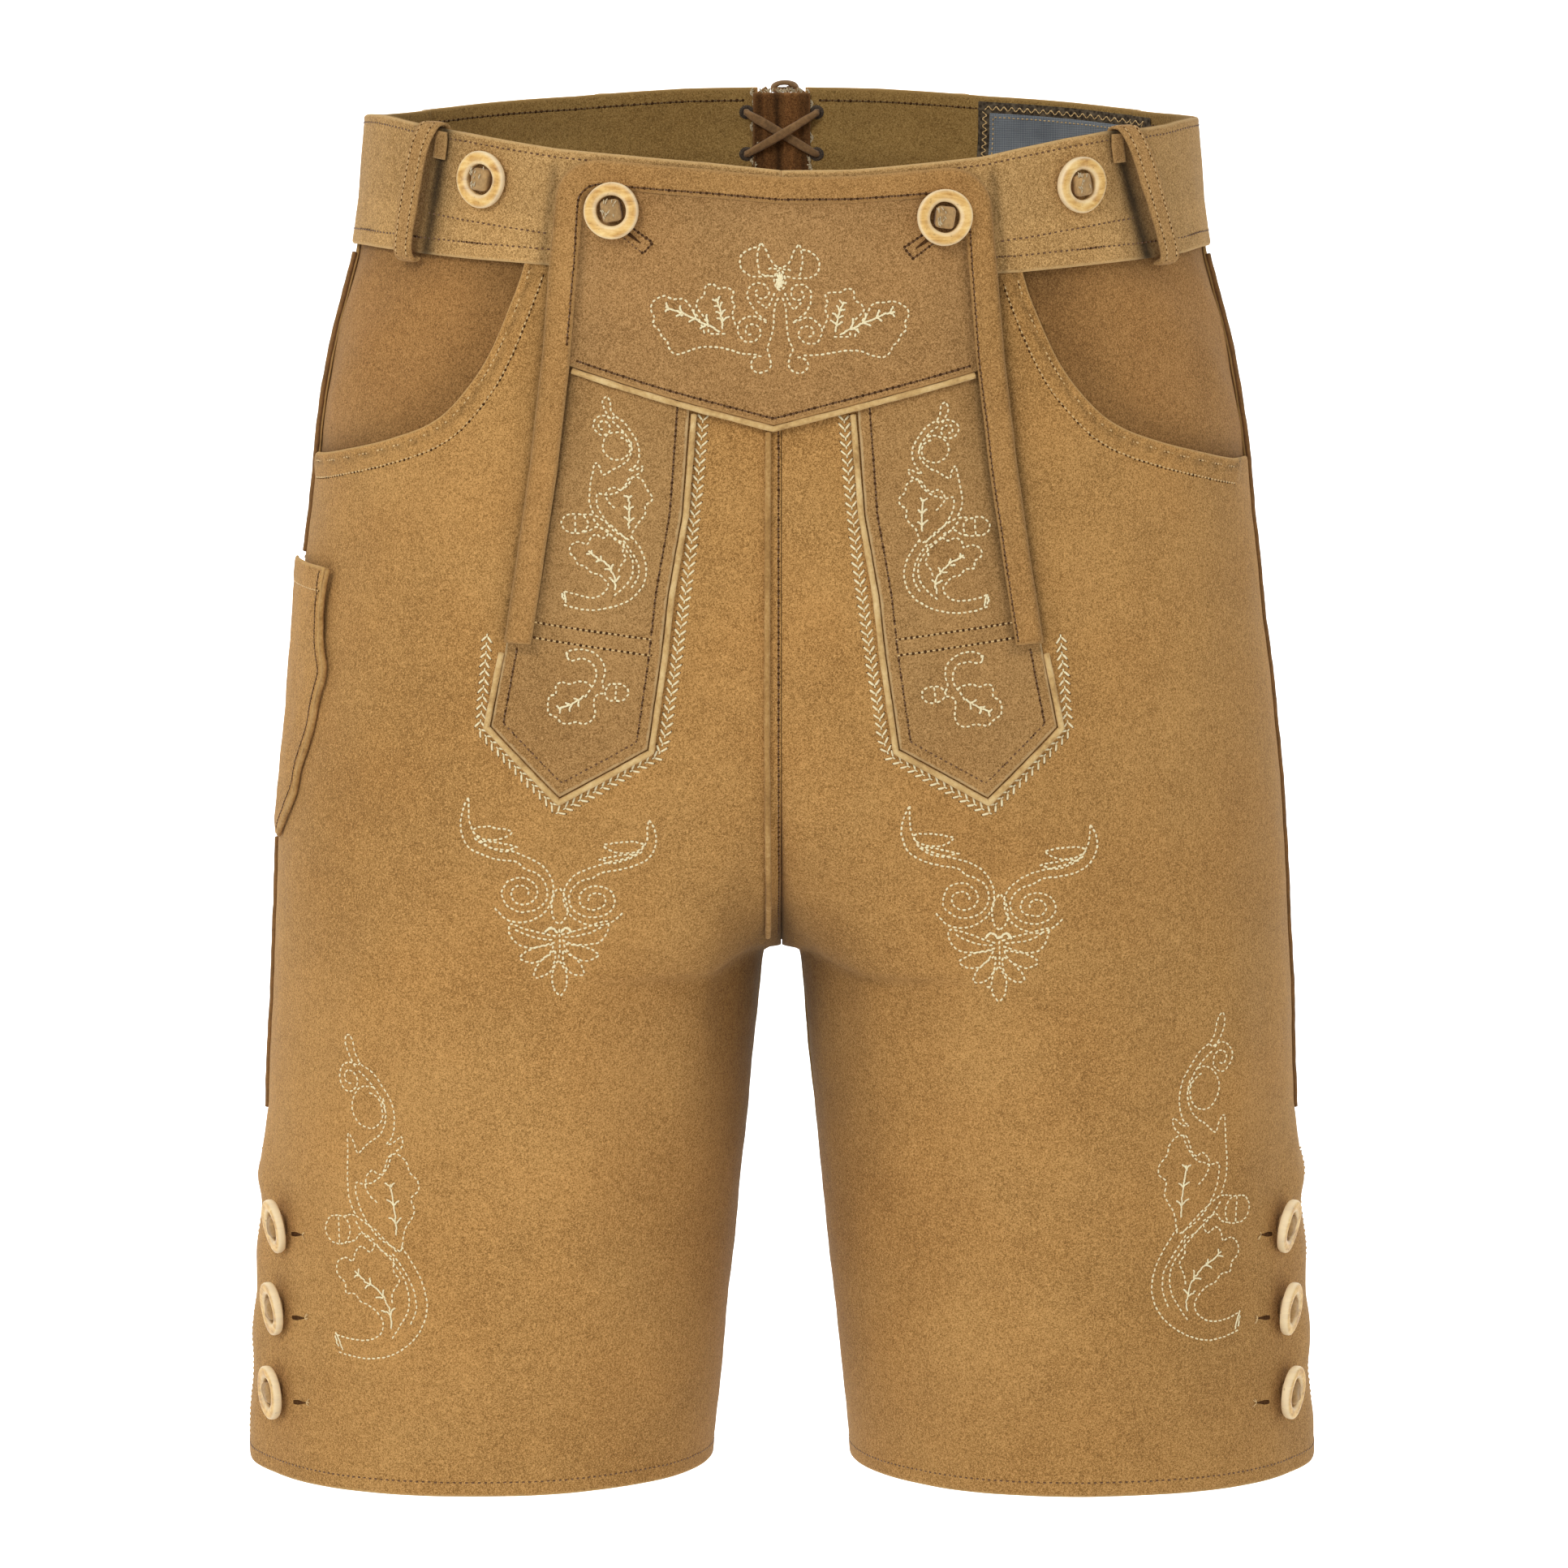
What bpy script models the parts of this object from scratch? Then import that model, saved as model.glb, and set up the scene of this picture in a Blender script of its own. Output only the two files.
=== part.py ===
"""Lederhosen: knee-length suede shorts with a buttoned front flap, worn and hollow.

Every leather piece lies on one body surface (the outer face of the main panels).  That surface is
worked out from horizontal sections, each a pair of curves whose widths and depths stand in the
SECTIONS table, so a change of a size there moves every piece with it.
Frame: +Z up, +X the wearer's left, the front faces -Y.  The origin is the middle of the waist.
Sizes are named in millimetres and become metres when the meshes are made.
"""
import math
import bpy
import bmesh
from mathutils import Vector, Matrix
from mathutils.geometry import delaunay_2d_cdt

MM = 0.001

# ------------------------------------------------------------------ sizes (mm)
BAND_TOP = 22.0          # waistband, measured up and down from its middle line
BAND_LOW = -30.0
FORK_FRONT = -205.0      # level where the centre front starts to turn under
FORK_BACK = -165.0       # level where the centre back starts to turn under
CROTCH = -309.0          # level of the fork
HEM = -518.0             # level of both leg hems
LEATHER = 1.6            # wall of the main panels
SEAM_GAP = 0.3           # air between neighbouring pieces
CROTCH_Y = 6.0           # how far behind the side line the fork lies

# level, half width at the side, depth in front, depth behind, y of the side line,
# lean (rise per mm towards the back), x of the fullest point in front, the same behind
SECTIONS = (
    (30.0, 165.4, 110.0, 111.0, 0.0, 0.092, 14.0, 18.0),
    (0.0, 166.3, 111.0, 113.0, 0.0, 0.092, 15.0, 20.0),
    (-30.0, 168.6, 112.5, 116.5, 0.0, 0.088, 17.0, 24.0),
    (-42.0, 171.6, 113.5, 118.5, 0.0, 0.082, 18.0, 26.0),
    (-66.0, 178.2, 115.0, 123.0, 0.0, 0.064, 21.0, 32.0),
    (-96.0, 183.6, 116.0, 128.0, 0.0, 0.042, 26.0, 41.0),
    (-134.0, 188.2, 116.0, 132.0, 1.0, 0.016, 35.0, 54.0),
    (-172.0, 192.8, 114.5, 133.0, 3.0, 0.0, 48.0, 68.0),
    (-215.0, 198.0, 111.0, 131.0, 5.0, 0.0, 67.0, 83.0),
    (-262.0, 202.2, 106.0, 125.0, 6.0, 0.0, 88.0, 96.0),
    (-309.0, 204.4, 101.0, 117.0, 6.0, 0.0, 102.0, 104.0),
    (-360.0, 206.6, 96.0, 109.0, 6.0, 0.0, 109.0, 109.0),
    (-410.0, 209.0, 92.0, 103.0, 6.0, -0.004, 113.0, 113.0),
    (-460.0, 212.0, 89.0, 98.0, 6.0, -0.014, 117.0, 117.0),
    (-520.0, 214.5, 86.0, 94.0, 6.0, -0.030, 121.0, 121.0),
)

# level, how far the inner leg line stands from the middle
INSEAM = ((-309.0, 0.15), (-310.5, 4.4), (-313.0, 6.8), (-318.0, 8.0), (-335.0, 9.8), (-360.0, 12.2),
          (-410.0, 17.2), (-460.0, 22.3), (-520.0, 28.3))

FULL = 0.575             # roundness of a section's quarter arcs (0.5523 is an ellipse)


def smooth_table(rows, level, col):
    """Smooth value of one column of a table whose first column falls from row to row."""
    n = len(rows)
    if level >= rows[0][0]:
        return rows[0][col]
    if level <= rows[-1][0]:
        return rows[-1][col]
    i = 0
    while rows[i + 1][0] > level:
        i += 1

    def slope(k):
        if k <= 0 or k >= n - 1:
            a, b = (0, 1) if k <= 0 else (n - 2, n - 1)
            return (rows[b][col] - rows[a][col]) / (rows[b][0] - rows[a][0])
        s0 = (rows[k][col] - rows[k - 1][col]) / (rows[k][0] - rows[k - 1][0])
        s1 = (rows[k + 1][col] - rows[k][col]) / (rows[k + 1][0] - rows[k][0])
        if s0 * s1 <= 0.0:
            return 0.0
        return 2.0 * s0 * s1 / (s0 + s1)
    x0, x1 = rows[i][0], rows[i + 1][0]
    h = x1 - x0
    t = (level - x0) / h
    m0, m1 = slope(i) * h, slope(i + 1) * h
    p0, p1 = rows[i][col], rows[i + 1][col]
    return ((2 * t ** 3 - 3 * t ** 2 + 1) * p0 + (t ** 3 - 2 * t ** 2 + t) * m0
            + (3 * t ** 2 - 2 * t ** 3) * p1 + (t ** 3 - t ** 2) * m1)


def bez(p, t):
    u = 1.0 - t
    return u ** 3 * p[0] + 3 * u * u * t * p[1] + 3 * u * t * t * p[2] + t ** 3 * p[3]


ARC_STEPS = 36
_section_cache = {}


def section(level, back):
    """Half section at one level as (running length, x, y) rows, from the centre or inner leg line to the side.

    Two quarter arcs meet at the fullest point: the outer one runs to the side line, the inner one
    falls back towards the fork below the level where the centre line turns under.
    """
    key = (round(level, 4), back)
    if key in _section_cache:
        return _section_cache[key]
    x_out = smooth_table(SECTIONS, level, 1)
    depth = smooth_table(SECTIONS, level, 3 if back else 2)
    y_side = smooth_table(SECTIONS, level, 4)
    x_full = smooth_table(SECTIONS, level, 7 if back else 6)
    sign = 1.0 if back else -1.0
    start = FORK_BACK if back else FORK_FRONT
    if level >= start:
        turn = 0.0
    elif level > CROTCH:
        q = (start - level) / (start - CROTCH)
        turn = 1.0 - math.sqrt(max(0.0, 1.0 - q * q))
    else:
        turn = 1.0
    x_in = 0.15 if level >= CROTCH else smooth_table(INSEAM, level, 1)
    y_full = sign * depth
    y_in = y_full + (CROTCH_Y - y_full) * turn
    outer = ((x_full, y_full), (x_full + FULL * (x_out - x_full), y_full),
             (x_out, y_side + FULL * (y_full - y_side)), (x_out, y_side))
    inner = ((x_in, y_in), (x_in, y_in + FULL * (y_full - y_in)),
             (x_full - FULL * (x_full - x_in), y_full), (x_full, y_full))
    rows = [(0.0, x_in, y_in)]
    for arc in (inner, outer):
        for k in range(1, ARC_STEPS + 1):
            t = k / ARC_STEPS
            x, y = bez([c[0] for c in arc], t), bez([c[1] for c in arc], t)
            rows.append((rows[-1][0] + math.hypot(x - rows[-1][1], y - rows[-1][2]), x, y))
    _section_cache[key] = rows
    return rows


def skin(v, level):
    """Outer face of the left half: v 0 centre front or inseam, 1 the side, 2 centre back or inseam."""
    back = v > 1.0
    rows = section(level, back)
    want = (2.0 - v if back else v) * rows[-1][0]
    lo, hi = 0, len(rows) - 1
    while hi - lo > 1:
        mid = (lo + hi) // 2
        if rows[mid][0] <= want:
            lo = mid
        else:
            hi = mid
    a, b = rows[lo], rows[hi]
    t = (want - a[0]) / (b[0] - a[0]) if b[0] > a[0] else 0.0
    x, y = a[1] + (b[1] - a[1]) * t, a[2] + (b[2] - a[2]) * t
    return (x, y, level + smooth_table(SECTIONS, level, 5) * y)


def cross(a, b):
    return (a[1] * b[2] - a[2] * b[1], a[2] * b[0] - a[0] * b[2], a[0] * b[1] - a[1] * b[0])


def unit(a):
    n = math.sqrt(a[0] ** 2 + a[1] ** 2 + a[2] ** 2) or 1.0
    return (a[0] / n, a[1] / n, a[2] / n)


def skin_normal(v, level, dv=0.02, dl=1.0):
    v0, v1 = max(0.0, v - dv), min(2.0, v + dv)
    l0, l1 = level - dl, level + dl
    if level >= CROTCH > l0:
        l0 = level
    if l1 > CROTCH > level:
        l1 = level
    a = skin(v0, level)
    b = skin(v1, level)
    c = skin(v, l0)
    d = skin(v, l1)
    du = (b[0] - a[0], b[1] - a[1], b[2] - a[2])
    dw = (d[0] - c[0], d[1] - c[1], d[2] - c[2])
    return unit(cross(du, dw))

# ------------------------------------------------------------ scene start
for ob in list(bpy.data.objects):
    bpy.data.objects.remove(ob, do_unlink=True)
GARMENT = bpy.data.collections.new("lederhosen")
bpy.context.scene.collection.children.link(GARMENT)

# ------------------------------------------------------------ leather colours and finish
FINISH = {
    # name: (red, green, blue, roughness, metallic)
    "suede": (0.402, 0.223, 0.072, 0.95, 0.0),
    "suede_dark": (0.305, 0.181, 0.072, 0.95, 0.0),
    "lining_leather": (0.190, 0.115, 0.040, 0.70, 0.0),
    "gusset_leather": (0.155, 0.070, 0.020, 0.75, 0.0),
    "piping": (0.580, 0.380, 0.145, 0.70, 0.0),
    "thong": (0.140, 0.085, 0.035, 0.80, 0.0),
    "wood": (0.760, 0.515, 0.175, 0.45, 0.0),
    "label_cloth": (0.225, 0.275, 0.330, 0.85, 0.0),
    "label_mesh": (0.060, 0.040, 0.020, 0.90, 0.0),
}
_materials = {}


def finish(key):
    if key not in _materials:
        r, g, b, rough, metal = FINISH[key]
        m = bpy.data.materials.new(key)
        m.use_nodes = True
        s = m.node_tree.nodes["Principled BSDF"]
        s.inputs["Base Color"].default_value = (r, g, b, 1.0)
        s.inputs["Roughness"].default_value = rough
        s.inputs["Metallic"].default_value = metal
        m.diffuse_color = (r, g, b, 1.0)
        _materials[key] = m
    return _materials[key]


def new_object(name, data, key):
    ob = bpy.data.objects.new(name, data)
    GARMENT.objects.link(ob)
    data.materials.append(finish(key))
    return ob


# ------------------------------------------------------------ the common net on the body surface
# Panels and everything sewn on them take their points from one net, so layers stay parallel.
COLUMNS = 12                       # net columns from the centre line to the side, and again to the back
FORK_STEPS = 4                     # rows between the start of the fork and the crotch
LEVELS = [30.0, 22.0, 5.0, -6.0, -33.0, -60.0, -95.0, -134.0, -172.0]
LEVELS += [FORK_FRONT - (FORK_FRONT - CROTCH) * math.sin(math.radians(90.0 * k / FORK_STEPS))
           for k in range(FORK_STEPS + 1)]
LEVELS += [-311.5, -318.0, -345.0, -372.0, -390.0, -430.0, -475.0, HEM]
V_UNIT = 300.0                     # flat working scale of one unit of v

NET = [[skin(k / COLUMNS, lv) for k in range(2 * COLUMNS + 1)] for lv in LEVELS]
NET_N = [[skin_normal(k / COLUMNS, lv) for k in range(2 * COLUMNS + 1)] for lv in LEVELS]


def row_of(level):
    j = 0
    while j < len(LEVELS) - 2 and LEVELS[j + 1] > level:
        j += 1
    return j


def on_net(v, level, lift, side):
    """Point (mm) above the net's flat facets; v below 0 lies on the other half, across the centre front."""
    s = side
    if v < 0.0:
        v, s = -v, -side
    if v > 2.0:
        v, s = 4.0 - v, -side
    j = row_of(level)
    k = min(2 * COLUMNS - 1, int(v * COLUMNS + 1e-9))
    fv = v * COLUMNS - k
    fl = (LEVELS[j] - level) / (LEVELS[j] - LEVELS[j + 1])
    fl = min(1.0, max(0.0, fl))
    a, b = (j, k), (j, k + 1)
    c, d = (j + 1, k), (j + 1, k + 1)
    # each net cell is cut along the diagonal a-d
    if fv >= fl:
        wts = ((a, 1.0 - fv), (b, fv - fl), (d, fl))
    else:
        wts = ((a, 1.0 - fl), (c, fl - fv), (d, fv))
    p = [0.0, 0.0, 0.0]
    n = [0.0, 0.0, 0.0]
    for (jj, kk), w in wts:
        for i in range(3):
            p[i] += NET[jj][kk][i] * w
            n[i] += NET_N[jj][kk][i] * w
    n = unit(n)
    x = p[0]
    if v < 1e-9 and side == 0:
        x = 0.0
    sg = s if s != 0 else (1 if v >= 0 else -1)
    return ((x + n[0] * lift) * sg, p[1] + n[1] * lift, p[2] + n[2] * lift), (n[0] * sg, n[1], n[2])


def net_x(v, level):
    j = row_of(level)
    fl = min(1.0, max(0.0, (LEVELS[j] - level) / (LEVELS[j] - LEVELS[j + 1])))
    k = min(2 * COLUMNS - 1, int(v * COLUMNS + 1e-9))
    fv = v * COLUMNS - k
    xa = NET[j][k][0] * (1 - fv) + NET[j][k + 1][0] * fv
    xb = NET[j + 1][k][0] * (1 - fv) + NET[j + 1][k + 1][0] * fv
    return xa * (1 - fl) + xb * fl


def v_at_x(x, level, back=False):
    """The net's v at a distance x from the middle line, on the front or the back; keeps the sign of x."""
    s = -1.0 if x < 0 else 1.0
    x = abs(x)
    lo, hi = (0.0, 1.0)
    for _ in range(40):
        mid = 0.5 * (lo + hi)
        if net_x(2.0 - mid if back else mid, level) < x:
            lo = mid
        else:
            hi = mid
    v = 0.5 * (lo + hi)
    if v < 1e-4:
        v = 0.0
    return s * v if not back else 2.0 - s * v


def v_at_arc(s, level):
    """v at an arc length s (mm) forward of the side line (behind it when s is below 0)."""
    if s >= 0.0:
        return 1.0 - s / section(level, False)[-1][0]
    return 1.0 - s / section(level, True)[-1][0]


# ------------------------------------------------------------ flat outlines and how they become leather
def run(points, step=18.0):
    """Points along a broken line, no further apart than step."""
    out = [points[0]]
    for a, b in zip(points, points[1:]):
        n = max(1, int(math.ceil(math.dist(a, b) / step)))
        for i in range(1, n + 1):
            out.append((a[0] + (b[0] - a[0]) * i / n, a[1] + (b[1] - a[1]) * i / n))
    return out


def curve_through(points, step=9.0, least=2):
    """Smooth line through a few points, as a broken line."""
    ext = [tuple(2 * a - b for a, b in zip(points[0], points[1]))] + list(points)
    ext.append(tuple(2 * a - b for a, b in zip(points[-1], points[-2])))
    out = [points[0]]
    for i in range(1, len(ext) - 2):
        p0, p1, p2, p3 = ext[i - 1:i + 3]
        n = max(least, int(math.ceil(math.dist(p1, p2) / step)))
        for k in range(1, n + 1):
            t = k / n
            out.append(tuple(0.5 * (2 * b + (c - a) * t + (2 * a - 5 * b + 4 * c - d) * t * t
                                    + (3 * b - a - 3 * c + d) * t ** 3)
                             for a, b, c, d in zip(p0, p1, p2, p3)))
    return out


def inside(poly, x, y):
    hit = False
    n = len(poly)
    j = n - 1
    for i in range(n):
        (xi, yi), (xj, yj) = poly[i], poly[j]
        if (yi > y) != (yj > y) and x < (xj - xi) * (y - yi) / (yj - yi) + xi:
            hit = not hit
        j = i
    return hit


def leather(name, key, outline, side=1, lift=0.0, thick=LEATHER, holes=()):
    """A piece cut to a flat outline of (v, level) points, laid on the net and given its wall.

    lift is the height of its outer face above the body surface, a number or a function of (v, level).
    side 1 is the wearer's left, -1 the right and 0 a piece across a middle line.
    """
    up = lift if callable(lift) else (lambda v, lv: lift)
    loops = [[(v * V_UNIT, lv) for v, lv in outline]] + [[(v * V_UNIT, lv) for v, lv in h] for h in holes]
    verts, edges = [], []
    for lp in loops:
        base = len(verts)
        clean = [p for i, p in enumerate(lp) if math.dist(p, lp[i - 1]) > 0.02]
        verts += clean
        edges += [(base + i, base + (i + 1) % len(clean)) for i in range(len(clean))]
    lo_v, hi_v = min(p[0] for p in loops[0]), max(p[0] for p in loops[0])
    lo_l, hi_l = min(p[1] for p in loops[0]), max(p[1] for p in loops[0])
    cell = V_UNIT / COLUMNS
    k0, k1 = int(math.floor(lo_v / cell)), int(math.ceil(hi_v / cell))
    rows = [j for j in range(len(LEVELS) - 1) if LEVELS[j] > lo_l and LEVELS[j + 1] < hi_l]
    ids = {}

    def node(k, j):
        if (k, j) not in ids:
            ids[(k, j)] = len(verts)
            verts.append((k * cell, LEVELS[j]))
        return ids[(k, j)]
    for j in rows:
        for k in range(k0, k1):
            a, b, c, d = node(k, j), node(k + 1, j), node(k, j + 1), node(k + 1, j + 1)
            mirrored = k < 0 or k >= 2 * COLUMNS          # beyond a middle line the diagonal mirrors
            edges += [(a, b), (a, c), (b, c) if mirrored else (a, d), (b, d), (c, d)]
    res = delaunay_2d_cdt([Vector(p) for p in verts], edges, [], 0, 0.004)
    pts, faces = res[0], res[2]
    keep = []
    for f in faces:
        cx = sum(pts[i][0] for i in f) / 3.0
        cy = sum(pts[i][1] for i in f) / 3.0
        area = abs((pts[f[1]][0] - pts[f[0]][0]) * (pts[f[2]][1] - pts[f[0]][1])
                   - (pts[f[2]][0] - pts[f[0]][0]) * (pts[f[1]][1] - pts[f[0]][1]))
        if area < 1e-5:
            continue
        if inside(loops[0], cx, cy) and not any(inside(h, cx, cy) for h in loops[1:]):
            keep.append(f)
    bm = bmesh.new()
    made, norm = {}, {}
    for f in keep:
        for i in f:
            if i not in made:
                v, lv = pts[i][0] / V_UNIT, pts[i][1]
                p, n = on_net(v, lv, up(v, lv), side if side else 1)
                if side == 0 and abs(v) < 1e-6:
                    p = (0.0, p[1], p[2])
                if side == 0 and abs(v - 2.0) < 1e-6:
                    p = (0.0, p[1], p[2])
                made[i] = bm.verts.new(Vector(p) * MM)
                norm[made[i]] = Vector(n)
    for f in keep:
        try:
            face = bm.faces.new([made[i] for i in f])
        except ValueError:
            continue
        face.normal_update()
        if face.normal.dot(norm[face.verts[0]] + norm[face.verts[1]] + norm[face.verts[2]]) < 0.0:
            face.normal_flip()
    mesh = bpy.data.meshes.new(name)
    bm.to_mesh(mesh)
    bm.free()
    ob = new_object(name, mesh, key)
    sol = ob.modifiers.new("wall", 'SOLIDIFY')
    sol.thickness = thick * MM
    sol.offset = -1.0
    sol.use_even_offset = False
    sol.use_rim = True
    return ob


def cord(name, key, points, radius):
    """A round strip of leather along a broken line of points (mm)."""
    cu = bpy.data.curves.new(name, 'CURVE')
    cu.dimensions = '3D'
    cu.resolution_u = 1
    cu.render_resolution_u = 0
    cu.bevel_depth = radius * MM
    cu.bevel_resolution = 1
    cu.use_fill_caps = True
    sp = cu.splines.new('POLY')
    sp.points.add(len(points) - 1)
    for i, p in enumerate(points):
        sp.points[i].co = (p[0] * MM, p[1] * MM, p[2] * MM, 1.0)
    return new_object(name, cu, key)


def front_x(points, shift=0.0):
    """(x, level) on the front becomes (v, level)."""
    return [(v_at_x(x + shift, lv), lv) for x, lv in points]


def mirror_line(points):
    return [(-a, b) for a, b in points]


def names(base):
    return ((base + "_left", 1), (base + "_right", -1))

# ------------------------------------------------------------ sizes of the cut pieces (mm)
FLAP_SHIFT = -3.0        # the flap and both pockets sit a little towards the wearer's right
TUCK = -10.0             # top edge of the panels, hidden in the waistband
SEAM_AT = 9.0            # side seam, forward of the side line
LAP_AT = -8.0            # free edge of the front leg where it laps over the back, at the leg vent
VENT_TOP = -390.0        # top of the leg vent
RAMP_TOP = -372.0        # the front leg starts to lift over the back here
RAMP_IN, RAMP_OUT = 44.0, 23.0
GAP_HALF = 10.0          # half width of the laced opening at the centre back
SLOT_END = -92.0         # bottom of the laced opening
EYELET = 2.1             # radius of a lace hole
BAND_LIFT, BAND_WALL = 2.1, 1.8
FACING_WALL = 1.2
YOKE_LIFT, YOKE_WALL = 3.9, 1.4
STRIP_LIFT, STRIP_WALL = 1.7, 1.3
STRAP_WALL = 1.4
SLIT = 0.5               # half width of the slits beside the flap

# x, level: one half of each line, before the shift
POCKET_LINE = ((93.5, -8.0), (95.4, -21.6), (101.1, -38.9), (110.5, -60.6), (122.7, -77.4),
               (133.5, -86.7), (149.9, -94.6), (167.8, -101.7), (180.5, -107.0))
POCKET_BACKING = ((84.0, -40.0), (93.0, -68.0), (108.0, -91.0), (128.0, -105.0), (150.0, -113.0), (172.0, -119.0))
SLIT_LINE = ((80.5, TUCK), (82.2, -56.7), (87.4, -100.4), (94.1, -146.0), (96.9, -168.0))
FLAP_OUTER = ((84.4, -19.5), (87.4, -56.7), (92.6, -100.4), (99.3, -146.0), (103.6, -172.7))
FLAP_INNER = ((74.0, -19.5), (77.0, -56.7), (82.2, -100.4), (88.9, -146.0), (93.2, -173.2))
FLAP_TOP, FLAP_HALF, FLAP_ROUND, BINDING = 19.5, 82.3, 18.0, 10.4
YOKE_V = ((0.0, -81.6), (84.0, -58.3))
STRIP_EDGE = ((32.2, -73.2), (35.4, -119.4), (40.9, -152.5), (43.5, -176.5), (48.9, -213.5),
              (82.8, -232.5), (109.0, -205.6), (103.0, -173.4))
STRIP_UNDER_STRAP = ((98.5, -146.0), (90.5, -100.4), (84.0, -54.0))
# arc forward of the side line, level: front edge of the knife pocket
KNIFE_EDGE = ((53.5, -150.0), (52.0, -162.0), (53.5, -174.0), (56.5, -183.0), (60.0, -191.5), (56.5, -201.0),
              (53.5, -215.0), (47.0, -229.0), (42.5, -243.0), (24.0, -260.5))
KNIFE_BACK = 11.3


def ease(t):
    t = min(1.0, max(0.0, t))
    return t * t * (3.0 - 2.0 * t)


def band_low(v):
    """Lower edge of the waistband: higher in front than at the side and back."""
    v = abs(v) if v <= 2.0 else 4.0 - v
    return -21.5 - 8.0 * ease((v - 0.3) / 0.7) if v <= 1.0 else -29.5 - 2.5 * ease(v - 1.0)


def facing_lift(v, lv):
    return -1.9 * min(1.0, max(0.0, (5.0 - lv) / 11.0))


def lap_lift(v, lv):
    """The front leg rises over the back leg towards its free edge, below the top of the vent."""
    if lv >= RAMP_TOP or v < 0.5:
        return 0.0
    down = min(1.0, (RAMP_TOP - lv) / (RAMP_TOP - VENT_TOP))
    lo, hi = v_at_arc(RAMP_IN, lv), v_at_arc(RAMP_OUT, lv)
    return 1.9 * down * min(1.0, max(0.0, (v - lo) / (hi - lo)))


def yoke_low(x):
    return YOKE_V[0][1] + (YOKE_V[1][1] - YOKE_V[0][1]) * abs(x) / YOKE_V[1][0]


def seam_line(arc, top, low):
    """A line down the garment at one arc from the side line, with a point on each net row."""
    levels = [top] + [lv for lv in LEVELS if low + 3.0 < lv < top - 3.0] + [low]
    return [(v_at_arc(arc, lv), lv) for lv in levels]


def level_line(v0, v1, level):
    """A line along the net, with a point on each net column it crosses."""
    f = level if callable(level) else (lambda v: level)
    lo, hi = min(v0, v1), max(v0, v1)
    inner = [k / COLUMNS for k in range(1, 2 * COLUMNS) if lo + 0.012 < k / COLUMNS < hi - 0.012]
    vs = [lo] + inner + [hi]
    return [(v, f(v)) for v in (vs if v1 > v0 else reversed(vs))]


def disc(cx, level, radius, back, sides=8):
    """A round hole as an outline, true on the sloping net."""
    out = []
    for i in range(sides):
        a = 2.0 * math.pi * i / sides
        lv = level + radius * math.sin(a)
        out.append((v_at_x(cx + radius * math.cos(a), lv, back), lv))
    return out


# ------------------------------------------------------------ the two fronts
INSEAM_TRIM = 0.0011
for name, side in names("front"):
    sh = FLAP_SHIFT * side
    slit = run(list(SLIT_LINE), 22.0)
    edge = []
    # top of the tongue that runs up under the flap's yoke
    edge += front_x(run([(0.15 - sh, yoke_low(0.0) + 9.0), (SLIT_LINE[0][0] - 1.5, yoke_low(79.0) + 9.0)], 16.0), sh)
    edge[0] = (0.0, edge[0][1])
    low_side = [p for p in slit if p[1] < yoke_low(79.0) + 8.5]
    edge += front_x([(x - SLIT, lv) for x, lv in low_side], sh)
    edge += front_x([(x + SLIT, lv) for x, lv in reversed(slit)], sh)
    # top edge to the hip pocket, the pocket mouth, then the side seam
    mouth = front_x(curve_through(list(POCKET_LINE), 12.0), sh)
    mouth[0] = (mouth[0][0], TUCK)
    mouth = [mouth[0]] + [p for p in mouth[1:] if p[1] < TUCK - 0.5]
    edge += mouth
    edge += seam_line(SEAM_AT + SEAM_GAP / 2, POCKET_LINE[-1][1] - 2.5, VENT_TOP)
    edge += seam_line(LAP_AT, VENT_TOP - 6.0, HEM)
    edge += level_line(edge[-1][0], INSEAM_TRIM, HEM)[1:]
    edge += [(INSEAM_TRIM, CROTCH - 0.3)]
    edge += [(0.0, CROTCH + 0.3)]
    leather(name, "suede", edge, side, lap_lift, LEATHER)

# ------------------------------------------------------------ the two backs
for name, side in names("back"):
    edge = level_line(v_at_arc(SEAM_AT - SEAM_GAP / 2, TUCK), v_at_x(GAP_HALF + 0.5, TUCK, True), TUCK)
    edge += [(v_at_x(GAP_HALF, -32.0, True), -32.0)]
    edge += [(v_at_x(GAP_HALF * (SLOT_END - lv) / (SLOT_END + 32.0), lv, True), lv) for lv in (-52.0, -72.0)]
    edge += [(2.0, SLOT_END), (2.0, CROTCH + 0.3)]
    edge += [(2.0 - INSEAM_TRIM, CROTCH - 0.3), (2.0 - INSEAM_TRIM, HEM)]
    edge += level_line(2.0 - INSEAM_TRIM, v_at_arc(SEAM_AT - SEAM_GAP / 2, HEM), HEM)[1:]
    edge += list(reversed(seam_line(SEAM_AT - SEAM_GAP / 2, TUCK, HEM)))[1:-1]
    eyes = [disc(15.5, -44.0, EYELET, True), disc(12.5, -62.0, EYELET, True)]
    leather(name, "suede", edge, side, 0.0, LEATHER, eyes)

# ------------------------------------------------------------ waistband, its facing and the laced opening
for name, side in names("waistband"):
    end = v_at_x(GAP_HALF, 0.0, True)
    edge = level_line(0.0, end, BAND_TOP) + list(reversed(level_line(0.0, end, band_low)))
    eyes = [disc(16.5, 12.0, EYELET, True), disc(16.5, -6.0, EYELET, True)]
    leather(name, "suede", edge, side, BAND_LIFT, BAND_WALL, eyes)
for name, side in names("waistband_facing"):
    end = v_at_x(GAP_HALF + 2.0, 0.0, True)
    edge = (level_line(0.0, end, BAND_TOP)
            + list(reversed(level_line(0.0, end, lambda v: band_low(v) + 8.0))))
    eyes = [disc(16.5, 12.0, EYELET, True), disc(16.5, -6.0, EYELET, True)]
    leather(name, "lining_leather", edge, side, facing_lift, FACING_WALL, eyes)

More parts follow.
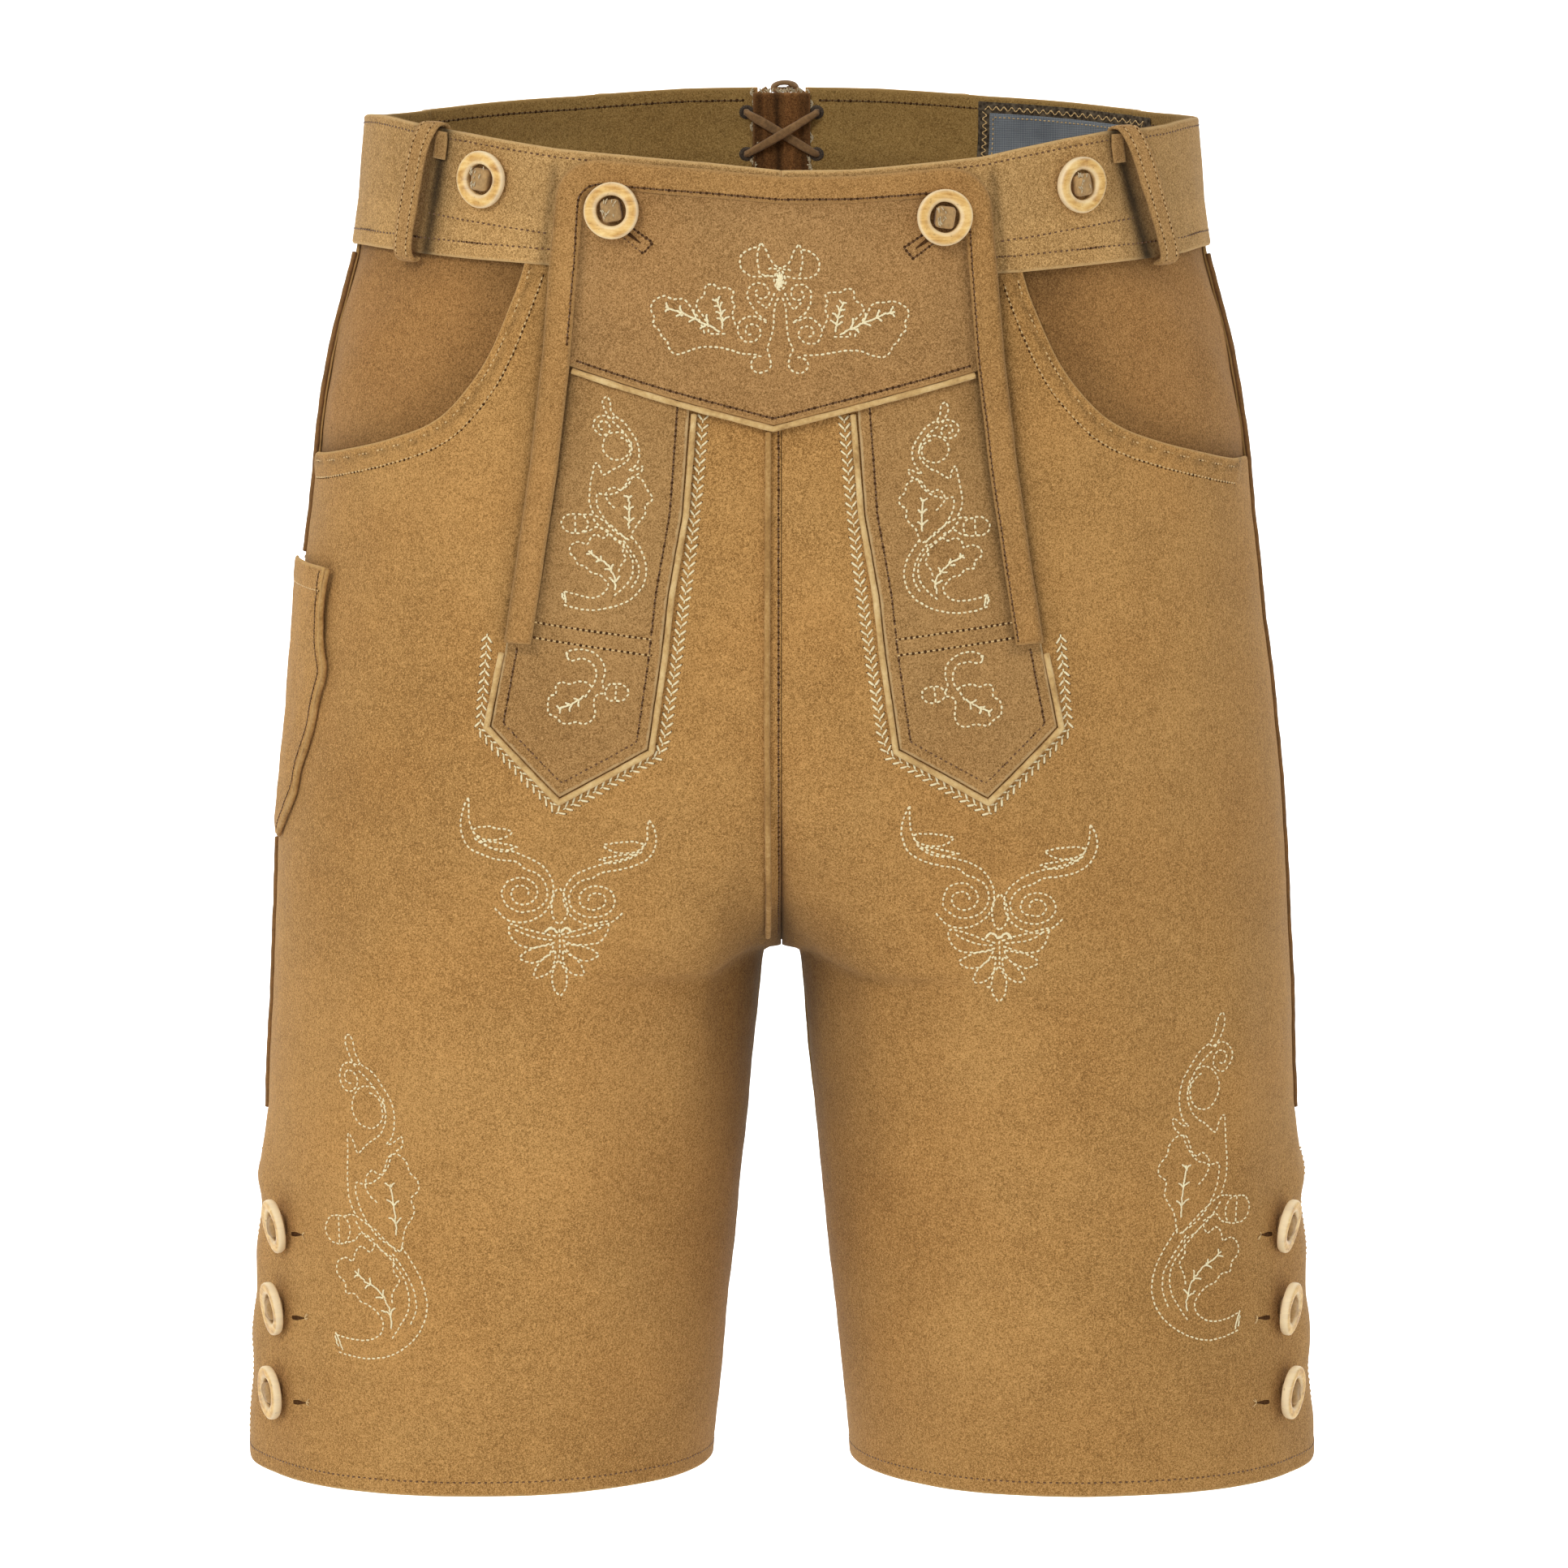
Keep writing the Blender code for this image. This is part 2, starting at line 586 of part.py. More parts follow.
gusset = [(-(GAP_HALF + 1.6), 20.0), (-(GAP_HALF + 1.6), -30.0), (-(GAP_HALF + 3.0), -36.0), (-4.0, -96.0),
          (4.0, -96.0), (GAP_HALF + 3.0, -36.0), (GAP_HALF + 1.6, -30.0), (GAP_HALF + 1.6, 20.0)]
leather("back_gusset", "gusset_leather", [(v_at_x(abs(x), lv, True) if x < 0 else 4.0 - v_at_x(x, lv, True), lv)
                                          for x, lv in run(gusset, 14.0)], 1, -1.9, 1.2)

# ------------------------------------------------------------ hip pockets
for name, side in names("pocket_backing"):
    sh = FLAP_SHIFT * side
    top = lambda v: band_low(v) + 7.4
    v0, v1 = v_at_x(84.0 + sh, -18.0), v_at_arc(3.0, -20.0)
    edge = level_line(v0, v1, top)
    edge += seam_line(3.0, -38.0, -124.0)
    edge += list(reversed(front_x(curve_through(list(POCKET_BACKING), 14.0), sh)))
    leather(name, "suede", edge, side, -1.9, LEATHER)

# ------------------------------------------------------------ the front flap
arc_pts = lambda r: [(FLAP_HALF - FLAP_ROUND + r * math.sin(math.radians(a)),
                      FLAP_TOP - FLAP_ROUND + r * math.cos(math.radians(a))) for a in range(0, 91, 15)]
yoke = [(0.0, FLAP_TOP - 0.8)] + arc_pts(FLAP_ROUND - 0.8) + [(83.0, -19.5), (84.0, YOKE_V[1][1])]
yoke = run(yoke, 16.0)
low = run([(84.0, YOKE_V[1][1]), (0.0, YOKE_V[0][1]), (-84.0, YOKE_V[1][1])], 16.0)
leather("flap_yoke", "suede_dark", front_x(yoke + low[1:] + mirror_line(reversed(yoke))[1:-1], FLAP_SHIFT),
        0, YOKE_LIFT, YOKE_WALL)


def strap_lift(v, lv):
    return 5.7 - 2.2 * min(1.0, max(0.0, (-58.0 - lv) / 110.0))


outer = run([(0.0, FLAP_TOP)] + arc_pts(FLAP_ROUND) + list(FLAP_OUTER), 20.0)
inner = run([(0.0, FLAP_TOP - BINDING)] + arc_pts(FLAP_ROUND - BINDING) + list(FLAP_INNER), 20.0)
loop = mirror_line(reversed(outer)) + outer[1:] + list(reversed(inner)) + mirror_line(inner)[1:]
leather("flap_binding", "suede", front_x(loop, FLAP_SHIFT), 0, strap_lift, STRAP_WALL)

for name, side in names("flap_strip"):
    sh = FLAP_SHIFT * side
    edge = [(32.2, yoke_low(32.2) + 8.0)] + list(STRIP_EDGE) + list(STRIP_UNDER_STRAP)
    edge[-1] = (edge[-1][0], yoke_low(84.0) + 8.0)
    leather(name, "suede_dark", front_x(run(edge + [edge[0]], 20.0)[:-1], sh), side, STRIP_LIFT, STRIP_WALL)


def beside(points, away):
    """A line moved sideways, to the left of its direction when away is above 0."""
    out = []
    for i, p in enumerate(points):
        a = points[max(0, i - 1)]
        b = points[min(len(points) - 1, i + 1)]
        dx, dy = b[0] - a[0], b[1] - a[1]
        n = math.hypot(dx, dy)
        if 0 < i < len(points) - 1:
            d1 = (p[0] - a[0], p[1] - a[1])
            d2 = (b[0] - p[0], b[1] - p[1])
            l1, l2 = math.hypot(*d1), math.hypot(*d2)
            m = (-(d1[1] / l1 + d2[1] / l2), d1[0] / l1 + d2[0] / l2)
            ml = math.hypot(*m)
            c = ml / 2.0
            out.append((p[0] + m[0] / ml * away / c, p[1] + m[1] / ml * away / c))
        else:
            out.append((p[0] - dy / n * away, p[1] + dx / n * away))
    return out


def welt(name, line, side, height, radius, shift=0.0, step=13.0):
    pts = []
    for x, lv in run(line, step):
        v = v_at_x(x + shift, lv)
        p, _ = on_net(v, lv, height, side if side else 1)
        pts.append(p)
    return cord(name, "piping", pts, radius)


PIPE = 1.2
welt("yoke_welt", beside([(-76.0, yoke_low(76.0)), (0.0, YOKE_V[0][1]), (76.0, yoke_low(76.0))], -1.6),
     0, STRIP_LIFT + 0.4 + PIPE, PIPE, FLAP_SHIFT)
for name, side in names("strip_welt"):
    line = beside(list(STRIP_EDGE), -1.8)
    line[0] = (line[0][0], yoke_low(line[0][0]) - 4.2)
    line[-1] = (line[-1][0] + 0.2, line[-1][1] - 4.0)
    welt(name, line, side, PIPE + 0.5, PIPE, FLAP_SHIFT * side)
welt("centre_welt", [(5.0, yoke_low(5.0) - 4.4), (5.4, -150.0), (5.6, -230.0), (6.2, -294.0)], -1, PIPE + 0.6, PIPE)

# ------------------------------------------------------------ side seams, leg vents and the knife pocket
for name, side in names("side_welt"):
    parts = [("", -33.0, -374.0)] if side > 0 else [("_upper", -33.0, -148.0), ("_lower", -264.0, -374.0)]
    for tail, top, low in parts:
        pts = []
        n = int((top - low) / 17.0)
        for i in range(n + 1):
            lv = top + (low - top) * i / n
            pts.append(on_net(v_at_arc(SEAM_AT, lv), lv, 1.5, side)[0])
        cord(name + tail, "suede_dark", pts, 1.1)
for name, side in names("vent_underlap"):
    edge = seam_line(58.0, VENT_TOP + 6.0, HEM + 1.5) + list(reversed(seam_line(-4.0, VENT_TOP + 6.0, HEM + 1.5)))
    leather(name, "suede", edge, side, -1.9, LEATHER)


def knife_lift(v, lv):
    """The pocket stands off the leg at its mouth and lies close at its point."""
    gape = 1.9 * ease((lv + 215.0) / 65.0)
    return 2.0 + gape


knife = curve_through([(s, lv) for s, lv in KNIFE_EDGE], 8.0)
edge = [(v_at_arc(s, lv), lv) for s, lv in knife]
edge += [(v_at_arc(18.0, -261.5), -261.5)]
edge += list(reversed(seam_line(KNIFE_BACK, -150.0, -256.0)))
leather("knife_pocket", "suede", edge, -1, knife_lift, 1.5)
pts = []
for s, lv in beside(curve_through(list(KNIFE_EDGE), 7.0), 1.95)[:-1]:
    v = v_at_arc(s, lv)
    pts.append(on_net(v, lv, knife_lift(v, lv) - 0.6, -1)[0])
cord("knife_pocket_welt", "piping", pts, 1.1)

# ------------------------------------------------------------ belt loops
LOOPS = (
    # name, side, back, x at the top, x at the bottom, width, how far it stands off
    ("belt_loop_front_left", 1, False, 128.5, 143.0, 10.5, 4.6),
    ("belt_loop_front_right", -1, False, 128.5, 143.0, 10.5, 4.6),
    ("belt_loop_back_left", 1, True, 71.0, 71.0, 11.0, 7.5),
    ("belt_loop_back_right", -1, True, 71.0, 71.0, 11.0, 7.5),
)
for name, side, back, x_top, x_low, width, stand in LOOPS:
    top, n = BAND_TOP - 0.3, 11
    low = -28.5 if not back else -32.5

    def loop_lift(v, lv, top=top, low=low, stand=stand):
        t = min(1.0, max(0.0, (top - lv) / (top - low)))
        return BAND_LIFT + 0.4 + 1.6 + stand * math.sin(math.pi * t) ** 0.55
    mid = [(x_top + (x_low - x_top) * i / n, top + (low - top) * i / n) for i in range(n + 1)]
    one = [(v_at_x(x - width / 2, lv, back), lv) for x, lv in mid]
    two = [(v_at_x(x + width / 2, lv, back), lv) for x, lv in mid]
    leather(name, "suede", one + list(reversed(two)), side, loop_lift, 1.6)

# ------------------------------------------------------------ ring buttons and the thongs that hold them
RING_OUT, RING_IN, RING_WALL, THONG = 10.8, 6.2, 3.8, 8.2


def frame_at(v, lv, height, side):
    p, n = on_net(v, lv, height, side)
    z = Vector(n)
    x = Vector((0.0, 0.0, 1.0)).cross(z).normalized()
    y = z.cross(x)
    m = Matrix((x, y, z)).transposed().to_4x4()
    m.translation = Vector(p) * MM
    return m


def ring_button(name, v, lv, base, side):
    h = RING_WALL / 2
    prof = [(RING_OUT, h - 0.7), (RING_OUT, 0.6 - h), (RING_OUT - 0.7, -h), (RING_IN + 0.4, -h),
            (RING_IN, 0.4 - h), (RING_IN, h - 0.6), (RING_IN + 0.7, h), (RING_OUT - 0.9, h)]
    bm = bmesh.new()
    vs = [bm.verts.new((r * MM, 0.0, z * MM)) for r, z in prof]
    for i in range(len(vs)):
        bm.edges.new((vs[i], vs[(i + 1) % len(vs)]))
    me = bpy.data.meshes.new(name)
    bm.to_mesh(me)
    bm.free()
    ob = new_object(name, me, "wood")
    sc = ob.modifiers.new("turn", 'SCREW')
    sc.angle = 2.0 * math.pi
    sc.steps = sc.render_steps = 16
    sc.use_merge_vertices = True
    sc.merge_threshold = 0.00001
    ob.matrix_world = frame_at(v, lv, base + h, side)
    top = base + RING_WALL - 0.7
    bm = bmesh.new()
    bmesh.ops.create_cube(bm, size=1.0)
    bmesh.ops.scale(bm, vec=(THONG * MM, THONG * MM, (top - base + 0.05) * MM), verts=bm.verts)
    me = bpy.data.meshes.new(name + "_thong")
    bm.to_mesh(me)
    bm.free()
    th = new_object(name + "_thong", me, "thong")
    th.matrix_world = frame_at(v, lv, (base + top) / 2, side)
    return ob


for name, side in names("flap_button"):
    ring_button(name, v_at_x(62.0 + -1.2 * side, 1.0), 1.0, 6.15, side)
for name, side in names("brace_button"):
    ring_button(name, v_at_x(113.4, 10.9), 10.9, BAND_LIFT + 0.45, side)
for k, lv in enumerate((-415.8, -449.5, -484.0)):
    for name, side in names("leg_button_%d" % (k + 1)):
        ring_button(name, v_at_x(199.2 + 0.035 * (-415.8 - lv), lv), lv, 0.9, side)

# ------------------------------------------------------------ label inside the back of the band
def under_facing(drop):
    return lambda v, lv: facing_lift(v, lv) - FACING_WALL - drop


def back_panel(x0, x1, top, low):
    return [(v_at_x(x, lv, True), lv) for x, lv in run([(x0, top), (x1, top), (x1, low), (x0, low), (x0, top)], 12.0)[:-1]]


leather("label_backing", "label_mesh", back_panel(81.4, 152.0, 20.0, -21.0), 1, under_facing(0.35), 0.6)
leather("label", "label_cloth", back_panel(86.4, 144.0, 15.5, -18.0), 1, under_facing(1.3), 0.6)

# ------------------------------------------------------------ the lace at the centre back
LACE = 1.2
OUT_BAND, OUT_SEAT, IN_ALL = BAND_LIFT + 0.4 + LACE, 0.5 + LACE, -3.1 - 0.5 - LACE
EYES = ((16.5, 12.0, OUT_BAND), (16.5, -6.0, OUT_BAND), (15.5, -44.0, OUT_SEAT), (12.5, -62.0, OUT_SEAT))


def back_point(x, lv, height):
    if x >= 0:
        return on_net(v_at_x(x, lv, True), lv, height, 1)[0]
    return on_net(v_at_x(-x, lv, True), lv, height, -1)[0]


def toward(a, b, dist):
    d = math.dist(a, b)
    return (a[0] + (b[0] - a[0]) * dist / d, a[1] + (b[1] - a[1]) * dist / d)


def lace_half(first):
    """Flat route (x, level, height) of one half, from beside the knot to the bar at the lowest holes."""
    s = first
    route = [(s * 5.6, 20.6, OUT_BAND + 1.2), (s * 9.0, 18.2, OUT_BAND + 0.4)]
    here = (s * 5.6, 20.6)
    outside = True
    for k, (ex, el, eo) in enumerate(EYES):
        eye = (s * ex, el)
        nxt = (-s * EYES[k + 1][0], EYES[k + 1][1]) if k < 3 else (-s * ex, el)
        a, b = toward(eye, here, 3.2), toward(eye, here, 1.0)
        c, d = toward(eye, nxt, 1.0), toward(eye, nxt, 3.2)
        hi, lo = eo, IN_ALL
        seq = [(a, hi), (b, hi - 0.45), (eye, hi - 1.7), (eye, (hi + lo) / 2), (eye, lo + 1.7), (c, lo + 0.45), (d, lo)]
        if not outside:
            seq = [(a, lo), (b, lo + 0.45), (eye, lo + 1.7), (eye, (hi + lo) / 2), (eye, hi - 1.7), (c, hi - 0.45), (d, hi)]
        route += [(p[0], p[1], h) for p, h in seq]
        outside = not outside
        if k < 3:
            cx, cl = (eye[0] + nxt[0]) / 2, (eye[1] + nxt[1]) / 2
            t = abs(eye[0]) / (abs(eye[0]) + abs(nxt[0]))
            cx, cl = eye[0] + (nxt[0] - eye[0]) * t, eye[1] + (nxt[1] - eye[1]) * t
            over = 3.0 if first > 0 else 0.0
            level_h = (OUT_BAND if k == 1 else IN_ALL)
            route.append((cx, cl, level_h + over if k == 1 else level_h - over))
        here = eye
        s = -s
    return route


one, two = lace_half(1.0), lace_half(-1.0)
flat = one + list(reversed(two))
flat = [p for i, p in enumerate(flat) if i == 0 or math.dist(p, flat[i - 1]) > 0.3]
cord("lace", "thong", [back_point(*p) for p in curve_through(flat, 4.8, 1)], LACE)

bm = bmesh.new()
bmesh.ops.create_uvsphere(bm, u_segments=12, v_segments=8, radius=1.0)
bmesh.ops.scale(bm, vec=(4.3 * MM, 2.6 * MM, 3.8 * MM), verts=bm.verts)
me = bpy.data.meshes.new("lace_knot")
bm.to_mesh(me)
bm.free()
knot = new_object("lace_knot", me, "thong")
knot.location = Vector(back_point(0.0, 20.8, OUT_BAND + 1.6)) * MM

for ob in GARMENT.objects:
    if ob.type == 'MESH' and ("button" in ob.name or ob.name == "lace_knot"):
        ob.data.shade_smooth()
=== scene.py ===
"""The looks of the lederhosen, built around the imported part: suede shells with stitching, embroidery, piping,
ring buttons, lace and label.  Sizes inside are millimetres on the part's own body surface."""
import math
import bpy
import numpy as np
from mathutils import Vector, Matrix
from mathutils.geometry import delaunay_2d_cdt


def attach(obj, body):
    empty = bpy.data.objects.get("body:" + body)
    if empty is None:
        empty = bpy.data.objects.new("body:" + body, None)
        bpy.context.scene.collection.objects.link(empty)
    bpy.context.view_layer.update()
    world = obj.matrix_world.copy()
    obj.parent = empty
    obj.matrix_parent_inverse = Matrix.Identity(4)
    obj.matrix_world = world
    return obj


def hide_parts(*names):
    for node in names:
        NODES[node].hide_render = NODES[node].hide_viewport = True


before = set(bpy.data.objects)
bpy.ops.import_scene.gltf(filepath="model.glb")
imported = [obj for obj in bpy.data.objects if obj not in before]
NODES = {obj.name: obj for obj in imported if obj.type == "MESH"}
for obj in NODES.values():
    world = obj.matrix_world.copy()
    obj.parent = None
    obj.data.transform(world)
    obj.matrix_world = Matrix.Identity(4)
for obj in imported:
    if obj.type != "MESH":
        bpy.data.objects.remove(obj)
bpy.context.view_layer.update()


# ------------------------------------------------------------------ camera
CAM_AIM = Vector((0.001, 0.0, -0.243))
CAM_UP = math.radians(8.0)
cam_data = bpy.data.cameras.new("camera")
cam_data.lens = 171.5
cam_data.sensor_width = 36.0
cam_data.clip_end = 50.0
cam = bpy.data.objects.new("camera", cam_data)
bpy.context.scene.collection.objects.link(cam)
cam.location = CAM_AIM + Vector((0.0, -3.0 * math.cos(CAM_UP), 3.0 * math.sin(CAM_UP)))
cam.rotation_euler = (CAM_AIM - cam.location).to_track_quat('-Z', 'Y').to_euler()
bpy.context.scene.camera = cam

# ------------------------------------------------------------------ the body surface (mm), as the CAD part has it
MM = 0.001
BAND_TOP, BAND_LOW = 22.0, -30.0
FORK_FRONT, FORK_BACK, CROTCH, HEM = -205.0, -165.0, -309.0, -518.0
CROTCH_Y, FULL = 6.0, 0.575
# level, half width, depth front, depth back, y of the side line, lean, x fullest in front, behind
SECTIONS = (
    (30.0, 165.4, 110.0, 111.0, 0.0, 0.092, 14.0, 18.0),
    (0.0, 166.3, 111.0, 113.0, 0.0, 0.092, 15.0, 20.0),
    (-30.0, 168.6, 112.5, 116.5, 0.0, 0.088, 17.0, 24.0),
    (-42.0, 171.6, 113.5, 118.5, 0.0, 0.082, 18.0, 26.0),
    (-66.0, 178.2, 115.0, 123.0, 0.0, 0.064, 21.0, 32.0),
    (-96.0, 183.6, 116.0, 128.0, 0.0, 0.042, 26.0, 41.0),
    (-134.0, 188.2, 116.0, 132.0, 1.0, 0.016, 35.0, 54.0),
    (-172.0, 192.8, 114.5, 133.0, 3.0, 0.0, 48.0, 68.0),
    (-215.0, 198.0, 111.0, 131.0, 5.0, 0.0, 67.0, 83.0),
    (-262.0, 202.2, 106.0, 125.0, 6.0, 0.0, 88.0, 96.0),
    (-309.0, 204.4, 101.0, 117.0, 6.0, 0.0, 102.0, 104.0),
    (-360.0, 206.6, 96.0, 109.0, 6.0, 0.0, 109.0, 109.0),
    (-410.0, 209.0, 92.0, 103.0, 6.0, -0.004, 113.0, 113.0),
    (-460.0, 212.0, 89.0, 98.0, 6.0, -0.014, 117.0, 117.0),
    (-520.0, 214.5, 86.0, 94.0, 6.0, -0.030, 121.0, 121.0),
)
INSEAM = ((-309.0, 0.15), (-309.75, 5.4), (-311.0, 7.1), (-318.0, 8.2), (-335.0, 9.8), (-360.0, 12.2),
          (-410.0, 17.2), (-460.0, 22.3), (-520.0, 28.3))


def smooth_table(rows, level, col):
    n = len(rows)
    if level >= rows[0][0]:
        return rows[0][col]
    if level <= rows[-1][0]:
        return rows[-1][col]
    i = 0
    while rows[i + 1][0] > level:
        i += 1

    def slope(k):
        if k <= 0 or k >= n - 1:
            a, b = (0, 1) if k <= 0 else (n - 2, n - 1)
            return (rows[b][col] - rows[a][col]) / (rows[b][0] - rows[a][0])
        s0 = (rows[k][col] - rows[k - 1][col]) / (rows[k][0] - rows[k - 1][0])
        s1 = (rows[k + 1][col] - rows[k][col]) / (rows[k + 1][0] - rows[k][0])
        return 0.0 if s0 * s1 <= 0.0 else 2.0 * s0 * s1 / (s0 + s1)
    x0, x1 = rows[i][0], rows[i + 1][0]
    h = x1 - x0
    t = (level - x0) / h
    m0, m1 = slope(i) * h, slope(i + 1) * h
    p0, p1 = rows[i][col], rows[i + 1][col]
    return ((2 * t ** 3 - 3 * t ** 2 + 1) * p0 + (t ** 3 - 2 * t ** 2 + t) * m0
            + (3 * t ** 2 - 2 * t ** 3) * p1 + (t ** 3 - t ** 2) * m1)


def half_section(level, back):
    x_out = smooth_table(SECTIONS, level, 1)
    depth = smooth_table(SECTIONS, level, 3 if back else 2)
    y_side = smooth_table(SECTIONS, level, 4)
    x_full = smooth_table(SECTIONS, level, 7 if back else 6)
    sign = 1.0 if back else -1.0
    start = FORK_BACK if back else FORK_FRONT
    if level >= start:
        turn = 0.0
    elif level > CROTCH:
        q = (start - level) / (start - CROTCH)
        turn = 1.0 - math.sqrt(max(0.0, 1.0 - q * q))
    else:
        turn = 1.0
    x_in = 0.15 if level >= CROTCH else smooth_table(INSEAM, level, 1)
    y_full = sign * depth
    y_in = y_full + (CROTCH_Y - y_full) * turn
    t = np.linspace(0.0, 1.0, 61)
    u = 1.0 - t

    def bez(a, b, c, d):
        return u ** 3 * a + 3 * u * u * t * b + 3 * u * t * t * c + t ** 3 * d
    x = np.concatenate([bez(x_in, x_in, x_full - FULL * (x_full - x_in), x_full),
                        bez(x_full, x_full + FULL * (x_out - x_full), x_out, x_out)[1:]])
    y = np.concatenate([bez(y_in, y_in + FULL * (y_full - y_in), y_full, y_full),
                        bez(y_full, y_full, y_side + FULL * (y_full - y_side), y_side)[1:]])
    s = np.concatenate([[0.0], np.cumsum(np.hypot(np.diff(x), np.diff(y)))])
    return s, x, y


LV_ROWS = np.concatenate([np.arange(36.0, -304.0, -1.0), np.arange(-304.0, -322.0, -0.25),
                          np.arange(-322.0, -529.0, -1.0)])
NV = 240
V_ROWS = np.linspace(0.0, 2.0, 2 * NV + 1)
GRID = np.zeros((len(LV_ROWS), 2 * NV + 1, 3))
LEN_F = np.zeros(len(LV_ROWS))
LEN_B = np.zeros(len(LV_ROWS))
for j, lv in enumerate(LV_ROWS):
    s, x, y = half_section(lv, False)
    LEN_F[j] = s[-1]
    w = V_ROWS[:NV + 1] * s[-1]
    GRID[j, :NV + 1, 0] = np.interp(w, s, x)
    GRID[j, :NV + 1, 1] = np.interp(w, s, y)
    s, x, y = half_section(lv, True)
    LEN_B[j] = s[-1]
    w = (2.0 - V_ROWS[NV + 1:]) * s[-1]
    GRID[j, NV + 1:, 0] = np.interp(w, s, x)
    GRID[j, NV + 1:, 1] = np.interp(w, s, y)
    GRID[j, :, 2] = lv + smooth_table(SECTIONS, lv, 5) * GRID[j, :, 1]


def grid_normals():
    k = 4
    P = GRID
    top = LV_ROWS > CROTCH
    ext = np.zeros((P.shape[0], P.shape[1] + 2 * k, 3))
    ext[:, k:-k] = P
    m = P * np.array([-1.0, 1.0, 1.0])
    # above the fork the halves mirror at both middle lines; below it each leg closes on its inner line
    ext[top, :k] = m[top, 1:k + 1][:, ::-1]
    ext[top, -k:] = m[top, -k - 1:-1][:, ::-1]
    ext[~top, :k] = P[~top, -k - 1:-1]
    ext[~top, -k:] = P[~top, 1:k + 1]
    du = ext[:, 2 * k:] - ext[:, :-2 * k]
    dw = np.zeros_like(P)
    idx = np.arange(len(LV_ROWS))
    lo = np.searchsorted(-LV_ROWS, -(LV_ROWS + 1.0))
    hi = np.minimum(np.searchsorted(-LV_ROWS, -(LV_ROWS - 1.0)), len(LV_ROWS) - 1)
    cut = int(np.argmin(np.abs(LV_ROWS - CROTCH)))
    lo = np.where((idx > cut) & (lo <= cut), cut + 1, lo)
    hi = np.where((idx <= cut) & (hi > cut), cut, hi)
    lo, hi = np.maximum(lo, 0), np.maximum(hi, lo + 1)
    hi = np.minimum(hi, len(LV_ROWS) - 1)
    dw = P[lo] - P[hi]
    n = np.cross(du, dw)
    n /= np.maximum(np.linalg.norm(n, axis=2, keepdims=True), 1e-9)
    return n


NORM = grid_normals()


def lookup(A, v, lv):
    fi = np.clip(v * NV, 0.0, 2 * NV - 1e-6)
    i = fi.astype(int)
    a = fi - i
    j = np.clip(np.searchsorted(-LV_ROWS, -lv, side='right') - 1, 0, len(LV_ROWS) - 2)
    b = np.clip((LV_ROWS[j] - lv) / (LV_ROWS[j] - LV_ROWS[j + 1]), 0.0, 1.0)
    if A.ndim == 3:
        a, b = a[:, None], b[:, None]
    return (A[j, i] * (1 - a) + A[j, i + 1] * a) * (1 - b) + (A[j + 1, i] * (1 - a) + A[j + 1, i + 1] * a) * b


def arc_len(lv, back):
    A = LEN_B if back else LEN_F
    return np.interp(-np.asarray(lv, float), -LV_ROWS, A)


def fold(v, side):
    """v beyond a middle line becomes the other half's v."""
    v = np.asarray(v, float).copy()
    s = np.full(v.shape, float(side if side else 1))
    neg = v < 0
    v[neg] = -v[neg]
    s[neg] *= -1
    over = v > 2.0
    v[over] = 4.0 - v[over]
    s[over] *= -1
    return v, s


def v_at_x(x, lv, back=False):
    """v at a distance x (mm) from the middle line, on the front or the back; the sign of x is kept."""
    x = np.atleast_1d(np.asarray(x, float))
    lv = np.broadcast_to(np.asarray(lv, float), x.shape)
    s = np.where(x < 0, -1.0, 1.0)
    ax = np.abs(x)
    lo, hi = np.zeros(x.shape), np.ones(x.shape)
    for _ in range(26):
        mid = 0.5 * (lo + hi)
        px = lookup(GRID, 2.0 - mid if back else mid, lv)[:, 0]
        lo = np.where(px < ax, mid, lo)
        hi = np.where(px < ax, hi, mid)
    v = 0.5 * (lo + hi)
    v[v < 1e-4] = 0.0
    return 2.0 - s * v if back else s * v


def v_at_arc(s, lv):
    """v at an arc length s (mm) forward of the side line (behind it when s is below 0)."""
    s = np.asarray(s, float)
    return np.where(s >= 0.0, 1.0 - s / arc_len(lv, False), 1.0 - s / arc_len(lv, True))
